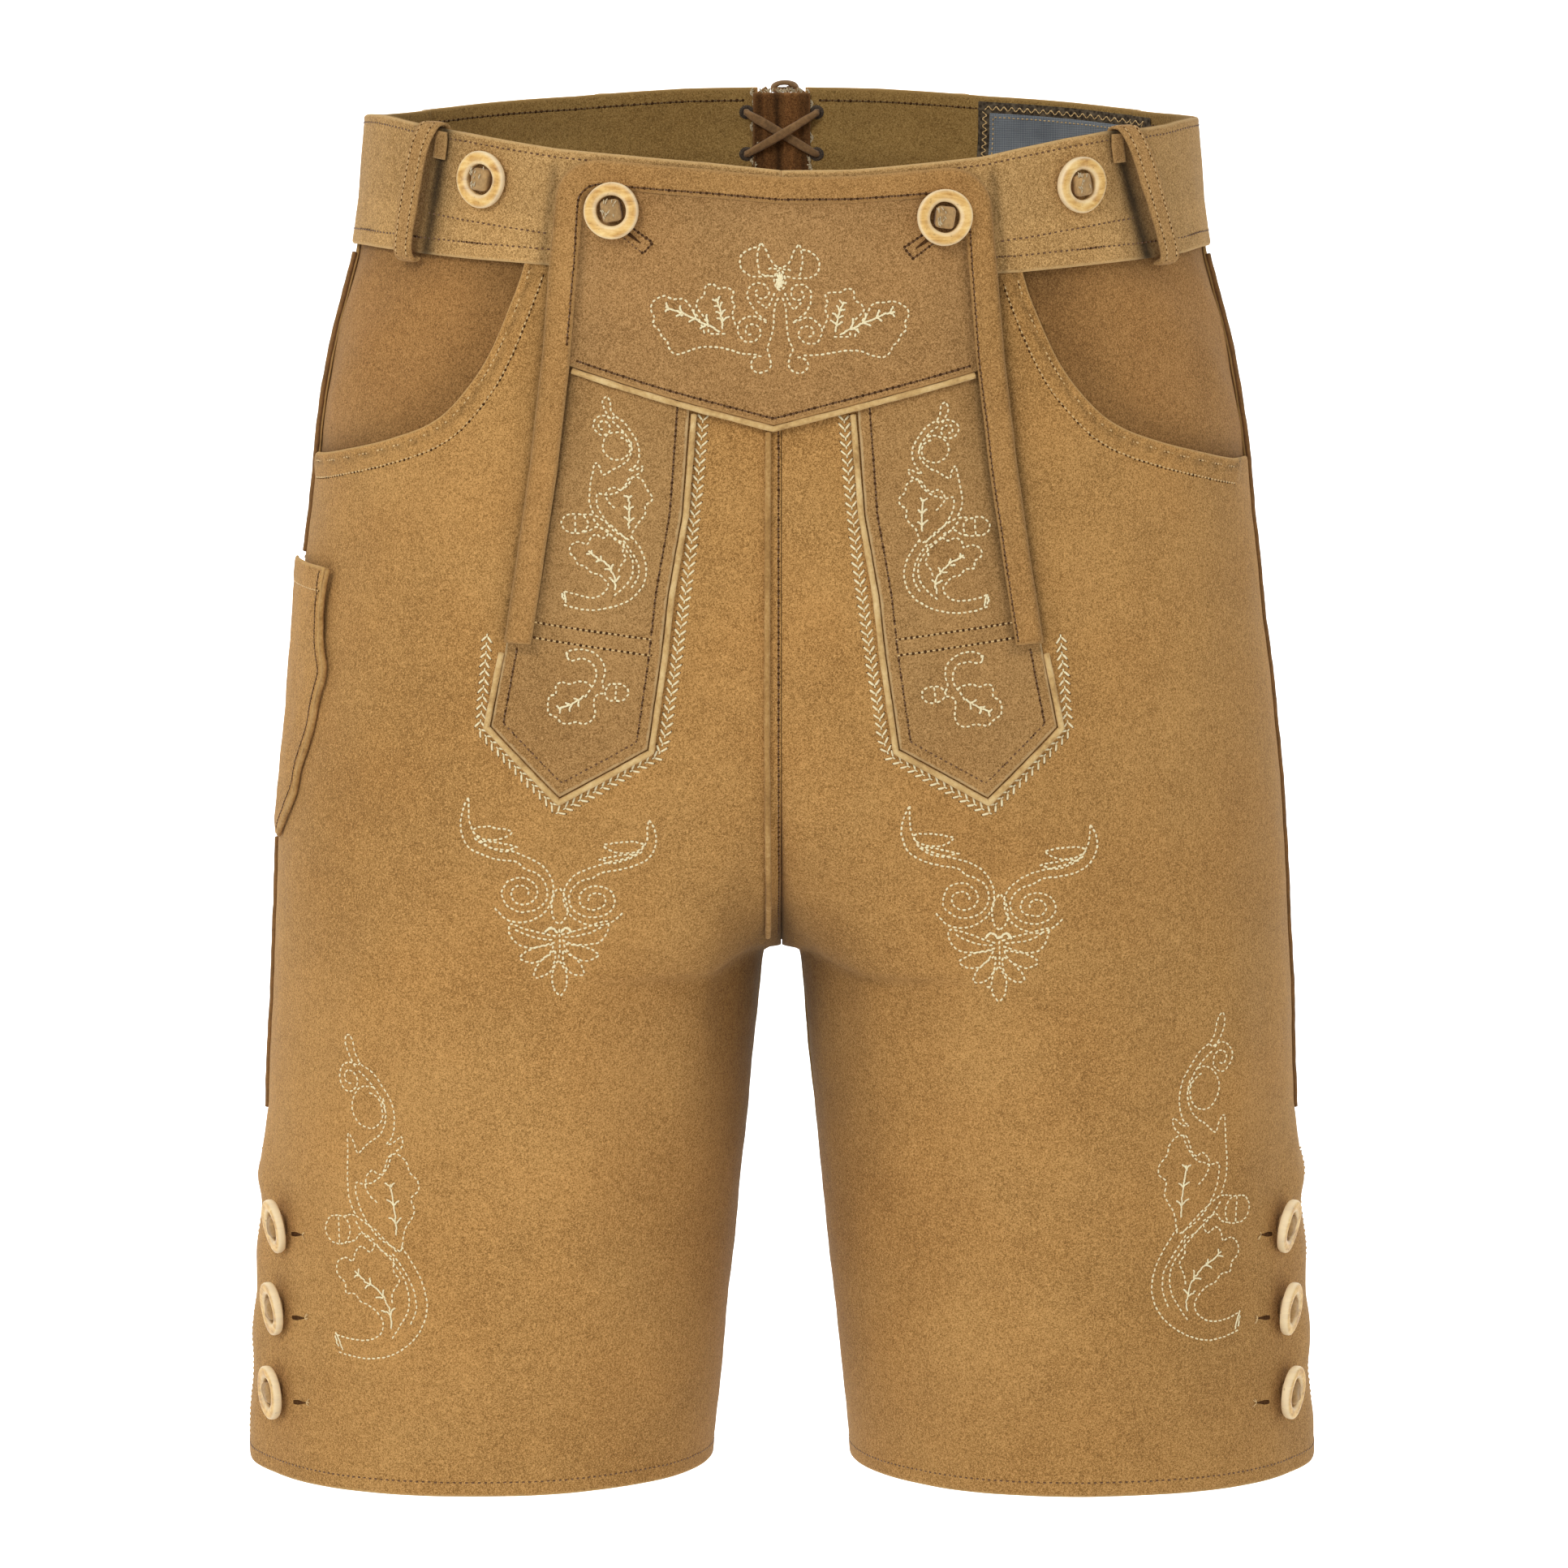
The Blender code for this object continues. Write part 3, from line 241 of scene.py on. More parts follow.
# ------------------------------------------------------------------ folds of the worn leather
# face, side, x and level of one end, x and level of the other, half width, depth (mm; above 0 is a ridge)
FOLDS = (
    ("front", 1, 14.0, -262.0, 30.0, -340.0, 8.0, -1.5),
    ("front", 1, 30.0, -300.0, 44.0, -395.0, 11.0, 1.3),
    ("front", 1, 56.0, -322.0, 60.0, -420.0, 15.0, -1.1),
    ("front", 1, 96.0, -345.0, 104.0, -470.0, 20.0, 1.2),
    ("front", 1, 150.0, -250.0, 158.0, -372.0, 16.0, -1.4),
    ("front", 1, 176.0, -300.0, 184.0, -398.0, 8.0, 1.5),
    ("front", 1, 128.0, -420.0, 176.0, -446.0, 11.0, -1.2),
    ("front", 1, 70.0, -470.0, 74.0, -520.0, 16.0, 1.3),
    ("front", 1, 118.0, -128.0, 134.0, -212.0, 18.0, -1.3),
    ("front", 1, 22.0, -225.0, 66.0, -262.0, 10.0, -1.0),
    ("front", -1, 12.0, -258.0, 24.0, -334.0, 7.0, -1.7),
    ("front", -1, 27.0, -296.0, 38.0, -372.0, 9.0, 1.5),
    ("front", -1, 52.0, -300.0, 50.0, -402.0, 14.0, -1.0),
    ("front", -1, 84.0, -338.0, 92.0, -452.0, 19.0, 1.4),
    ("front", -1, 118.0, -322.0, 140.0, -420.0, 17.0, -1.3),
    ("front", -1, 160.0, -288.0, 178.0, -376.0, 10.0, 1.3),
    ("front", -1, 150.0, -452.0, 186.0, -470.0, 10.0, -1.1),
    ("front", -1, 56.0, -478.0, 62.0, -520.0, 13.0, -1.2),
    ("front", -1, 112.0, -120.0, 122.0, -236.0, 16.0, -1.2),
    ("front", -1, 148.0, -130.0, 166.0, -230.0, 14.0, 1.1),
    ("front", -1, 18.0, -232.0, 58.0, -270.0, 9.0, -0.9),
    ("back", 1, 12.0, -250.0, 58.0, -292.0, 9.0, -2.6),
    ("back", 1, 20.0, -282.0, 82.0, -318.0, 8.0, -2.2),
    ("back", 1, 44.0, -262.0, 120.0, -286.0, 13.0, 1.8),
    ("back", 1, 90.0, -300.0, 96.0, -430.0, 17.0, -1.6),
    ("back", 1, 56.0, -330.0, 62.0, -470.0, 15.0, 1.5),
    ("back", 1, 140.0, -250.0, 160.0, -400.0, 15.0, 1.4),
    ("back", 1, 128.0, -90.0, 150.0, -190.0, 14.0, -1.5),
    ("back", 1, 40.0, -60.0, 76.0, -128.0, 16.0, -1.2),
    ("back", 1, 112.0, -440.0, 118.0, -520.0, 14.0, -1.4),
    ("back", -1, 14.0, -244.0, 66.0, -280.0, 10.0, -2.4),
    ("back", -1, 24.0, -278.0, 90.0, -306.0, 8.0, -2.3),
    ("back", -1, 50.0, -256.0, 116.0, -268.0, 12.0, 1.6),
    ("back", -1, 80.0, -296.0, 90.0, -410.0, 15.0, -1.7),
    ("back", -1, 120.0, -320.0, 132.0, -460.0, 18.0, 1.5),
    ("back", -1, 160.0, -220.0, 172.0, -330.0, 13.0, -1.3),
    ("back", -1, 118.0, -80.0, 146.0, -170.0, 15.0, -1.4),
    ("back", -1, 46.0, -470.0, 52.0, -520.0, 13.0, 1.4),
)
# level of each vent button; the leather is drawn in at a button and swells between them
VENT_BUTTONS = (-415.8, -449.5, -484.0)


def hump(t):
    return np.exp(-t * t)


def relief(v, lv, s, px):
    """How far (mm) the worn leather stands off the cut surface; the same for every layer at a place."""
    r = np.zeros(v.shape)
    back = v > 1.0
    for face, side, x0, l0, x1, l1, wide, deep in FOLDS:
        on = (back if face == "back" else ~back) & (s == side) & (lv < max(l0, l1) + 60) & (lv > min(l0, l1) - 60)
        if not on.any():
            continue
        x, l = px[on], lv[on]
        dx, dl = x1 - x0, l1 - l0
        n = math.hypot(dx, dl)
        t = ((x - x0) * dx + (l - l0) * dl) / (n * n)
        tc = np.clip(t, 0.0, 1.0)
        along = np.maximum(0.0, np.maximum(-t, t - 1.0)) * n
        off = np.hypot(x - (x0 + tc * dx), l - (l0 + tc * dl))
        # the trough widens and wanders a little along its length
        wander = 0.22 * wide * np.sin(tc * 5.0 + x0 * 0.7)
        w = wide * (0.75 + 0.5 * tc)
        r[on] += deep * hump((off + wander * (along < 1)) / w) * (0.55 + 0.45 * np.sin(math.pi * np.clip(tc, 0.02, 0.98)))
    # broad, shallow unevenness of a worn hide
    q = np.where(back, px * 1.1 + 40.0, px) * s
    amp = np.clip((-20.0 - lv) / 60.0, 0.15, 1.0)
    r += amp * (0.34 * np.sin(q * 0.061 + lv * 0.017 + 1.3) * np.sin(lv * 0.043 + 0.6 + q * 0.011)
                + 0.20 * np.sin(q * 0.117 - lv * 0.052 + 2.1) * np.sin(lv * 0.081 - q * 0.03)
                + 0.10 * np.sin(q * 0.23 + lv * 0.19) * np.sin(lv * 0.27 - q * 0.11 + 0.8))
    # side vents: swells between the buttons
    near = hump((v - 0.985) * 300.0 / 24.0)
    low = lv < -392.0
    if low.any():
        g = np.zeros(v.shape)
        for b in VENT_BUTTONS:
            g -= 0.7 * hump((lv - b) / 8.5)
        g += 1.5 * hump((lv + 402.0) / 6.0) + 0.5 * hump((lv + 432.5) / 8.5) + 0.6 * hump((lv + 467.0) / 8.5)
        g += 0.7 * hump((lv + 505.0) / 10.0)
        r += np.where(low, g * near, 0.0)
    return r


# How the worn waist sags in the middle and rides up at its sides: across from the middle, its rise (mm) at the
# band's front top, its front lower edge and its top behind.
TOP_RISE = ((-166, 8.0), (-152, 8.5), (-135, 8.2), (-119, 7.2), (-103, 5.6), (-87, 4.0), (-61, 2.6), (-28, 0.3), (0, -2.6),
            (27, -2.4), (49, -0.8), (77, 1.3), (93, 4.0), (109, 6.2), (125, 7.5), (141, 6.6), (152, 6.0), (166, 6.0))
LOW_RISE = ((-166, 7.5), (-148, 7.2), (-135, 6.2), (-119, 4.9), (-103, 4.0), (-92, 3.3), (-70, 2.4), (-40, 0.8), (0, 0.0),
            (92, 0.0), (109, 1.3), (125, 2.8), (141, 4.4), (158, 5.4), (166, 6.5))
BACK_RISE = ((0, -1.6), (40, -2.2), (85, -4.0), (135, -4.2), (166, -3.0))


def soft_step(t):
    t = np.clip(t, 0.0, 1.0)
    return t * t * (3.0 - 2.0 * t)


def waist_shift(x, y, z):
    """Sideways and upward shift (mm) of a point near the waist; x is signed."""
    w = np.clip((z + 30.0) / 52.0, 0.0, 1.15)
    top = np.interp(x, [r[0] for r in TOP_RISE], [r[1] for r in TOP_RISE]) * soft_step((28.0 - y) / 72.0)
    low = np.interp(x, [r[0] for r in LOW_RISE], [r[1] for r in LOW_RISE]) * soft_step((44.0 - y) / 88.0)
    back = np.interp(np.abs(x), [r[0] for r in BACK_RISE], [r[1] for r in BACK_RISE]) * soft_step((y - 8.0) / 50.0)
    rise = low + (top - low) * w + back * soft_step((z + 26.0) / 46.0)
    rise = rise * soft_step((z + 96.0) / 66.0)
    out = -2.4 * np.sign(x) * soft_step((np.abs(x) - 122.0) / 38.0) * w * (y < 60.0)
    return out, rise


def place(v, lv, lift=0.0, side=1, rel=True):
    """Points (mm) and normals above the worn surface."""
    v = np.atleast_1d(np.asarray(v, float))
    lv = np.broadcast_to(np.asarray(lv, float), v.shape).astype(float)
    av, s = fold(v, side)
    P = lookup(GRID, av, lv)
    N = lookup(NORM, av, lv)
    h = np.broadcast_to(np.asarray(lift, float), v.shape).copy()
    if rel:
        h = h + relief(av, lv, s, P[:, 0])
    P = P + N * h[:, None]
    # the crotch seam rises towards the front
    near = 1.0 - np.clip((P[:, 0] - 7.0) / 20.0, 0.0, 1.0)
    near = near * near * (3.0 - 2.0 * near)
    q = np.clip((lv + 350.0) / 36.0, 0.0, 1.0)
    r = np.clip((lv + 306.0) / 46.0, 0.0, 1.0)
    P[:, 2] += 7.4 * near * (q * q * (3.0 - 2.0 * q)) * (1.0 - r * r * (3.0 - 2.0 * r)) * np.clip((6.0 - P[:, 1]) / 61.0, 0.0, 1.0)
    P[:, 0] *= s
    out, rise = waist_shift(P[:, 0], P[:, 1], lv)
    P[:, 0] += out
    P[:, 2] += rise
    N = N.copy()
    N[:, 0] *= s
    return P, N / np.maximum(np.linalg.norm(N, axis=1, keepdims=True), 1e-9)


# ------------------------------------------------------------------ flat outlines
V_UNIT = 300.0


def run(points, step=4.0):
    out = [tuple(points[0])]
    for a, b in zip(points, points[1:]):
        n = max(1, int(math.ceil(math.dist(a, b) / step)))
        for i in range(1, n + 1):
            out.append((a[0] + (b[0] - a[0]) * i / n, a[1] + (b[1] - a[1]) * i / n))
    return out


def smooth(points, step=3.0, least=2):
    pts = [tuple(p) for p in points]
    ext = [tuple(2 * a - b for a, b in zip(pts[0], pts[1]))] + pts
    ext.append(tuple(2 * a - b for a, b in zip(pts[-1], pts[-2])))
    out = [pts[0]]
    for i in range(1, len(ext) - 2):
        p0, p1, p2, p3 = ext[i - 1:i + 3]
        n = max(least, int(math.ceil(math.dist(p1, p2) / step)))
        for k in range(1, n + 1):
            t = k / n
            out.append(tuple(0.5 * (2 * b + (c - a) * t + (2 * a - 5 * b + 4 * c - d) * t * t
                                    + (3 * b - a - 3 * c + d) * t ** 3)
                             for a, b, c, d in zip(p0, p1, p2, p3)))
    return out


def fx(points, shift=0.0):
    """(x, level) on the front becomes (v, level); a negative x is the other half."""
    x = np.array([p[0] for p in points]) + shift
    lv = np.array([p[1] for p in points], float)
    return list(zip(v_at_x(x, lv).tolist(), lv.tolist()))


def bx(points):
    """(x, level) on the back becomes (v, level)."""
    x = np.array([p[0] for p in points], float)
    lv = np.array([p[1] for p in points], float)
    return list(zip(v_at_x(x, lv, True).tolist(), lv.tolist()))


def ax(points):
    """(arc forward of the side line, level) becomes (v, level)."""
    s = np.array([p[0] for p in points], float)
    lv = np.array([p[1] for p in points], float)
    return list(zip(v_at_arc(s, lv).tolist(), lv.tolist()))


def mir(points):
    return [(-a, b) for a, b in points]


def names(base):
    return ((base + "_left", 1), (base + "_right", -1))


def beside(points, away):
    """A line moved sideways, to the left of its direction when away is above 0; corners stay sharp."""
    P = np.array(points, float)
    d = np.diff(P, axis=0)
    d /= np.maximum(np.linalg.norm(d, axis=1, keepdims=True), 1e-9)
    n = np.stack([-d[:, 1], d[:, 0]], 1)
    m = np.zeros_like(P)
    m[0], m[-1] = n[0], n[-1]
    s = n[:-1] + n[1:]
    L = np.linalg.norm(s, axis=1, keepdims=True)
    m[1:-1] = s / np.maximum(L, 1e-9) / np.maximum(L / 2.0, 0.35)
    return [tuple(q) for q in P + m * away]


def seg_distance(P, line, closed=False):
    """Distance of each point in P to a broken line, both in flat millimetres."""
    L = np.asarray(line, float)
    if closed:
        L = np.vstack([L, L[:1]])
    best = np.full(len(P), 1e9)
    for k in range(0, len(L) - 1, 64):
        a, b = L[k:k + 65][:-1], L[k:k + 65][1:]
        if len(a) == 0:
            continue
        lo = np.minimum(a, b).min(0) - 40.0
        hi = np.maximum(a, b).max(0) + 40.0
        on = np.where(((P > lo) & (P < hi)).all(1))[0]
        if len(on) == 0:
            continue
        d = b - a
        q = np.maximum((d * d).sum(1), 1e-12)
        for c in range(0, len(on), 8192):
            p = P[on[c:c + 8192]]
            t = np.clip(((p[:, None] - a[None]) * d[None]).sum(2) / q[None], 0.0, 1.0)
            e = p[:, None] - (a[None] + t[:, :, None] * d[None])
            m = np.sqrt((e * e).sum(2)).min(1)
            best[on[c:c + 8192]] = np.minimum(best[on[c:c + 8192]], m)
    return best


def edge_distance(P, out, seams):
    """Distance to a closed outline, leaving out the stretches that lie on a closed seam."""
    if not len(seams):
        return seg_distance(P, out, True)
    a, b = out, np.roll(out, -1, axis=0)
    mid = (a + b) / 2.0
    near = np.full(len(mid), 1e9)
    for sm in seams:
        near = np.minimum(near, seg_distance(mid, np.array([(u * V_UNIT, l) for u, l in sm])))
    best = np.full(len(P), 40.0)
    chain = []
    for i in range(len(a)):
        if near[i] < 0.6:
            if len(chain) > 1:
                best = np.minimum(best, seg_distance(P, np.array(chain)))
            chain = []
            continue
        if not chain:
            chain = [a[i]]
        chain.append(b[i])
    if len(chain) > 1:
        best = np.minimum(best, seg_distance(P, np.array(chain)))
    return best


def is_inside(P, poly):
    poly = np.asarray(poly, float)
    a, b = poly, np.roll(poly, -1, axis=0)
    hit = np.zeros(len(P), bool)
    for c in range(0, len(P), 8192):
        x, y = P[c:c + 8192, 0][:, None], P[c:c + 8192, 1][:, None]
        with np.errstate(divide='ignore', invalid='ignore'):
            cross = ((a[None, :, 1] > y) != (b[None, :, 1] > y)) & (
                x < (b[None, :, 0] - a[None, :, 0]) * (y - a[None, :, 1]) / (b[None, :, 1] - a[None, :, 1]) + a[None, :, 0])
        hit[c:c + 8192] = cross.sum(1) % 2 == 1
    return hit


# ------------------------------------------------------------------ meshes from arrays
def mesh_object(name, verts, tris, mats, mat_index=None, attrs=None, smooth_shade=True):
    me = bpy.data.meshes.new(name)
    verts = np.asarray(verts, np.float32)
    tris = np.asarray(tris, np.int32)
    me.vertices.add(len(verts))
    me.vertices.foreach_set("co", verts.ravel())
    me.loops.add(len(tris) * 3)
    me.loops.foreach_set("vertex_index", tris.ravel())
    me.polygons.add(len(tris))
    me.polygons.foreach_set("loop_start", np.arange(0, len(tris) * 3, 3, dtype=np.int32))
    if mat_index is not None:
        me.polygons.foreach_set("material_index", np.asarray(mat_index, np.int32))
    me.polygons.foreach_set("use_smooth", np.full(len(tris), smooth_shade, bool))
    me.update(calc_edges=True)
    me.validate()
    for key, val in (attrs or {}).items():
        at = me.attributes.new(key, 'FLOAT', 'POINT')
        at.data.foreach_set("value", np.asarray(val, np.float32))
    for m in mats:
        me.materials.append(m)
    ob = bpy.data.objects.new(name, me)
    bpy.context.scene.collection.objects.link(ob)
    return ob


def cut(name, outline, side=1, lift=0.0, thick=1.6, mats=(), holes=(), grid=3.2, step=2.4, rel=True, soft=0.35,
        soft_w=1.1, grooves=(), groove_deep=0.28, extra=None, bulge=0.22, tint_and_shade=1.0, rim_mat=0, fine=(), edge_fade=3.0, seams=()):
    """A piece of leather cut to a flat outline of (v, level) and laid on the worn surface, with rounded edges.

    lift is its outer face above the surface, extra(v, lv, d, s) more of it from the distance to the edge.
    grooves are lines of (v, level) where a seam draws the leather in; fine are lines that get close points.
    """
    U = np.array([V_UNIT, 1.0])
    loops = []
    for lp in [outline] + list(holes):
        P = run([(a * V_UNIT, b) for a, b in lp] + [(lp[0][0] * V_UNIT, lp[0][1])], step)[:-1]
        P = [p for i, p in enumerate(P) if math.dist(p, P[i - 1]) > 0.05]
        loops.append(np.array(P))
    verts, edges = [], []
    for lp in loops:
        b = len(verts)
        verts += [tuple(p) for p in lp]
        edges += [(b + i, b + (i + 1) % len(lp)) for i in range(len(lp))]
    out = loops[0]
    lo, hi = out.min(0), out.max(0)
    # free points: rings just inside the edge, lines beside each seam, then a staggered grid
    free = []
    area2 = (out[:, 0] * np.roll(out[:, 1], -1) - np.roll(out[:, 0], -1) * out[:, 1]).sum()
    for k, lp in enumerate(loops):
        t = np.roll(lp, -1, 0) - np.roll(lp, 1, 0)
        t /= np.maximum(np.linalg.norm(t, axis=1, keepdims=True), 1e-9)
        a2 = (lp[:, 0] * np.roll(lp[:, 1], -1) - np.roll(lp[:, 0], -1) * lp[:, 1]).sum()
        n = np.stack([-t[:, 1], t[:, 0]], 1) * (1.0 if a2 > 0 else -1.0) * (1.0 if k == 0 else -1.0)
        for d in (0.55, 1.3):
            q = lp + n * d
            free.append((q, d * 0.85))
    pts = [np.zeros((0, 2))]
    for q, dmin in free:
        ok = is_inside(q, out)
        for h in loops[1:]:
            ok &= ~is_inside(q, h)
        q = q[ok]
        if len(q):
            d = seg_distance(q, out, True)
            for h in loops[1:]:
                d = np.minimum(d, seg_distance(q, h, True))
            pts.append(q[d > dmin])
    g_lines = [np.array(run([(a * V_UNIT, b) for a, b in g], 2.2)) for g in grooves]
    for g in g_lines:
        for off in (0.0, 1.0, -1.0):
            pts.append(np.array(beside(g, off)))
    for g in fine:
        pts.append(np.array([(a * V_UNIT, b) for a, b in g]))
    nx = max(2, int(round((hi[0] - lo[0]) / grid)))
    ny = max(2, int(round((hi[1] - lo[1]) / (grid * 0.9))))
    X = np.linspace(lo[0], hi[0], nx + 1)
    Y = np.linspace(lo[1], hi[1], ny + 1)
    gx, gy = np.meshgrid(X, Y)
    gx[1::2] += 0.5 * (X[1] - X[0])
    G = np.stack([gx.ravel(), gy.ravel()], 1)
    ok = is_inside(G, out)
    for h in loops[1:]:
        ok &= ~is_inside(G, h)
    G = G[ok]
    d = seg_distance(G, out, True)
    for h in loops[1:]:
        d = np.minimum(d, seg_distance(G, h, True))
    for g in g_lines:
        d = np.minimum(d, seg_distance(G, g) + 0.3)
    G = G[d > 2.0]
    free_pts = np.vstack(pts)
    if len(free_pts):
        ok = is_inside(free_pts, out)
        for h in loops[1:]:
            ok &= ~is_inside(free_pts, h)
        free_pts = free_pts[ok]
        d = seg_distance(free_pts, out, True)
        for h in loops[1:]:
            d = np.minimum(d, seg_distance(free_pts, h, True))
        free_pts = free_pts[d > 0.3]
        # drop near duplicates
        key = np.round(free_pts / 0.7).astype(int)
        _, first = np.unique(key, axis=0, return_index=True)
        free_pts = free_pts[np.sort(first)]
    allp = [Vector(p) for p in verts] + [Vector(p) for p in free_pts.tolist()] + [Vector(p) for p in G.tolist()]
    res = delaunay_2d_cdt(allp, edges, [], 0, 0.002)
    F2 = np.array([(p[0], p[1]) for p in res[0]])
    T = np.array([f for f in res[2] if len(f) == 3], int)
    a, b, c = F2[T[:, 0]], F2[T[:, 1]], F2[T[:, 2]]
    ar = (b[:, 0] - a[:, 0]) * (c[:, 1] - a[:, 1]) - (c[:, 0] - a[:, 0]) * (b[:, 1] - a[:, 1])
    T, ar = T[np.abs(ar) > 1e-4], ar[np.abs(ar) > 1e-4]
    T[ar < 0] = T[ar < 0][:, ::-1]
    cen = F2[T].mean(1)
    keep = is_inside(cen, out)
    for h in loops[1:]:
        keep &= ~is_inside(cen, h)
    T = T[keep]
    used = np.unique(T)
    back_i = np.full(len(F2), -1)
    back_i[used] = np.arange(len(used))
    F2, T = F2[used], back_i[T]
    v, lv = F2[:, 0] / V_UNIT, F2[:, 1]
    d = edge_distance(F2, out, seams)
    for h in loops[1:]:
        d = np.minimum(d, seg_distance(F2, h, True))
    lf = np.asarray(lift(v, lv) if callable(lift) else np.full(v.shape, float(lift)), float)
    e = np.clip(d / soft_w, 0.0, 1.0)
    up = lf - soft * (1.0 - np.sqrt(np.maximum(0.0, 1.0 - (1.0 - e) ** 2)))
    if extra is not None:
        up = up + extra(v, lv, d, side)
    for g in g_lines:
        gd = seg_distance(F2, g)
        up = up - groove_deep * hump(gd / 0.9) + 0.10 * hump((gd - 2.4) / 1.4)
    P, N = place(v, lv, up, side, rel)
    # the net runs one way round; the mirrored half needs its triangles turned
    q = P[T]
    fn = np.cross(q[:, 1] - q[:, 0], q[:, 2] - q[:, 0])
    flip = (fn * N[T].mean(1)).sum(1) < 0
    T[flip] = T[flip][:, ::-1]
    n0 = len(P)
    inner_up = lf - thick
    if extra is not None:
        inner_up = inner_up + extra(v, lv, np.full(d.shape, 50.0), side)
    Q, _ = place(v, lv, np.minimum(inner_up + 0.25 * (1 - e), up - 0.25), side, rel)
    # open edges, in the direction of their triangles
    E = np.concatenate([T[:, [0, 1]], T[:, [1, 2]], T[:, [2, 0]]])
    key = E[:, 0] * n0 + E[:, 1]
    rev = E[:, 1] * n0 + E[:, 0]
    rim = E[~np.isin(key, rev)]
    bv = np.unique(rim)
    outw = np.zeros((n0, 3))
    ev = P[rim[:, 1]] - P[rim[:, 0]]
    ev /= np.maximum(np.linalg.norm(ev, axis=1, keepdims=True), 1e-9)
    o = np.cross(ev, N[rim[:, 0]])
    np.add.at(outw, rim[:, 0], o)
    np.add.at(outw, rim[:, 1], o)
    outw /= np.maximum(np.linalg.norm(outw, axis=1, keepdims=True), 1e-9)
    V3 = [P, Q]
    ringid = {}
    levels = ((0.30, bulge * 0.85), (0.68, bulge * 0.85))
    base = 2 * n0
    ids = [np.arange(n0)]
    shut = (d[bv] > 1.0)[:, None]
    for share, push in levels:
        R = P[bv] * (1 - share) + Q[bv] * share + outw[bv] * np.where(shut, 0.1, 1.0) * push
        idx = np.full(n0, -1)
        idx[bv] = base + np.arange(len(bv))
        base += len(bv)
        V3.append(R)
        ids.append(idx)
    ids.append(np.arange(n0) + n0)
    tris = [T, T[:, ::-1] + n0]
    mi = [np.zeros(len(T), int), np.full(len(T), 1 if len(mats) > 1 else 0, int)]
    for A, B in zip(ids, ids[1:]):
        a0, a1, b0, b1 = A[rim[:, 0]], A[rim[:, 1]], B[rim[:, 0]], B[rim[:, 1]]
        t1 = np.stack([a1, a0, b0], 1)
        t2 = np.stack([a1, b0, b1], 1)
        tris += [t1, t2]
        mi += [np.full(len(t1), rim_mat, int)] * 2
    V3 = np.vstack(V3) * MM
    edge_attr = np.clip(d / edge_fade, 0.0, 1.0)
    ea = np.concatenate([edge_attr, edge_attr] + [np.zeros(len(bv))] * len(levels))
    ob = mesh_object(name, V3, np.vstack(tris), mats, np.concatenate(mi),
                     {"edge": ea, "tint_and_shade": np.full(len(V3), float(tint_and_shade))})
    tri = P[T] * MM
    ob["cut_area"] = float(0.5 * np.linalg.norm(np.cross(tri[:, 1] - tri[:, 0], tri[:, 2] - tri[:, 0]), axis=1).sum())
    # the whole cut's width and length, along the surface
    wide = 0.0
    for row in np.linspace(lo[1] + 1.0, hi[1] - 1.0, 40):
        a, b = out, np.roll(out, -1, axis=0)
        hit = (a[:, 1] > row) != (b[:, 1] > row)
        if not hit.any():
            continue
        xs = a[hit, 0] + (row - a[hit, 1]) * (b[hit, 0] - a[hit, 0]) / (b[hit, 1] - a[hit, 1])
        q = np.linspace(xs.min(), xs.max(), 40) / V_UNIT
        L, _ = place(q, row, 0.0, side, False)
        wide = max(wide, float(np.linalg.norm(np.diff(L, axis=0), axis=1).sum()))
    long = 0.0
    for col in np.linspace(lo[0] + 1.0, hi[0] - 1.0, 24):
        a, b = out, np.roll(out, -1, axis=0)
        hit = (a[:, 0] > col) != (b[:, 0] > col)
        if not hit.any():
            continue
        ys = a[hit, 1] + (col - a[hit, 0]) * (b[hit, 1] - a[hit, 1]) / (b[hit, 0] - a[hit, 0])
        L, _ = place(np.full(40, col / V_UNIT), np.linspace(ys.min(), ys.max(), 40), 0.0, side, False)
        long = max(long, float(np.linalg.norm(np.diff(L, axis=0), axis=1).sum()))
    ob["cut_wide"], ob["cut_long"] = wide * MM, long * MM
    return ob


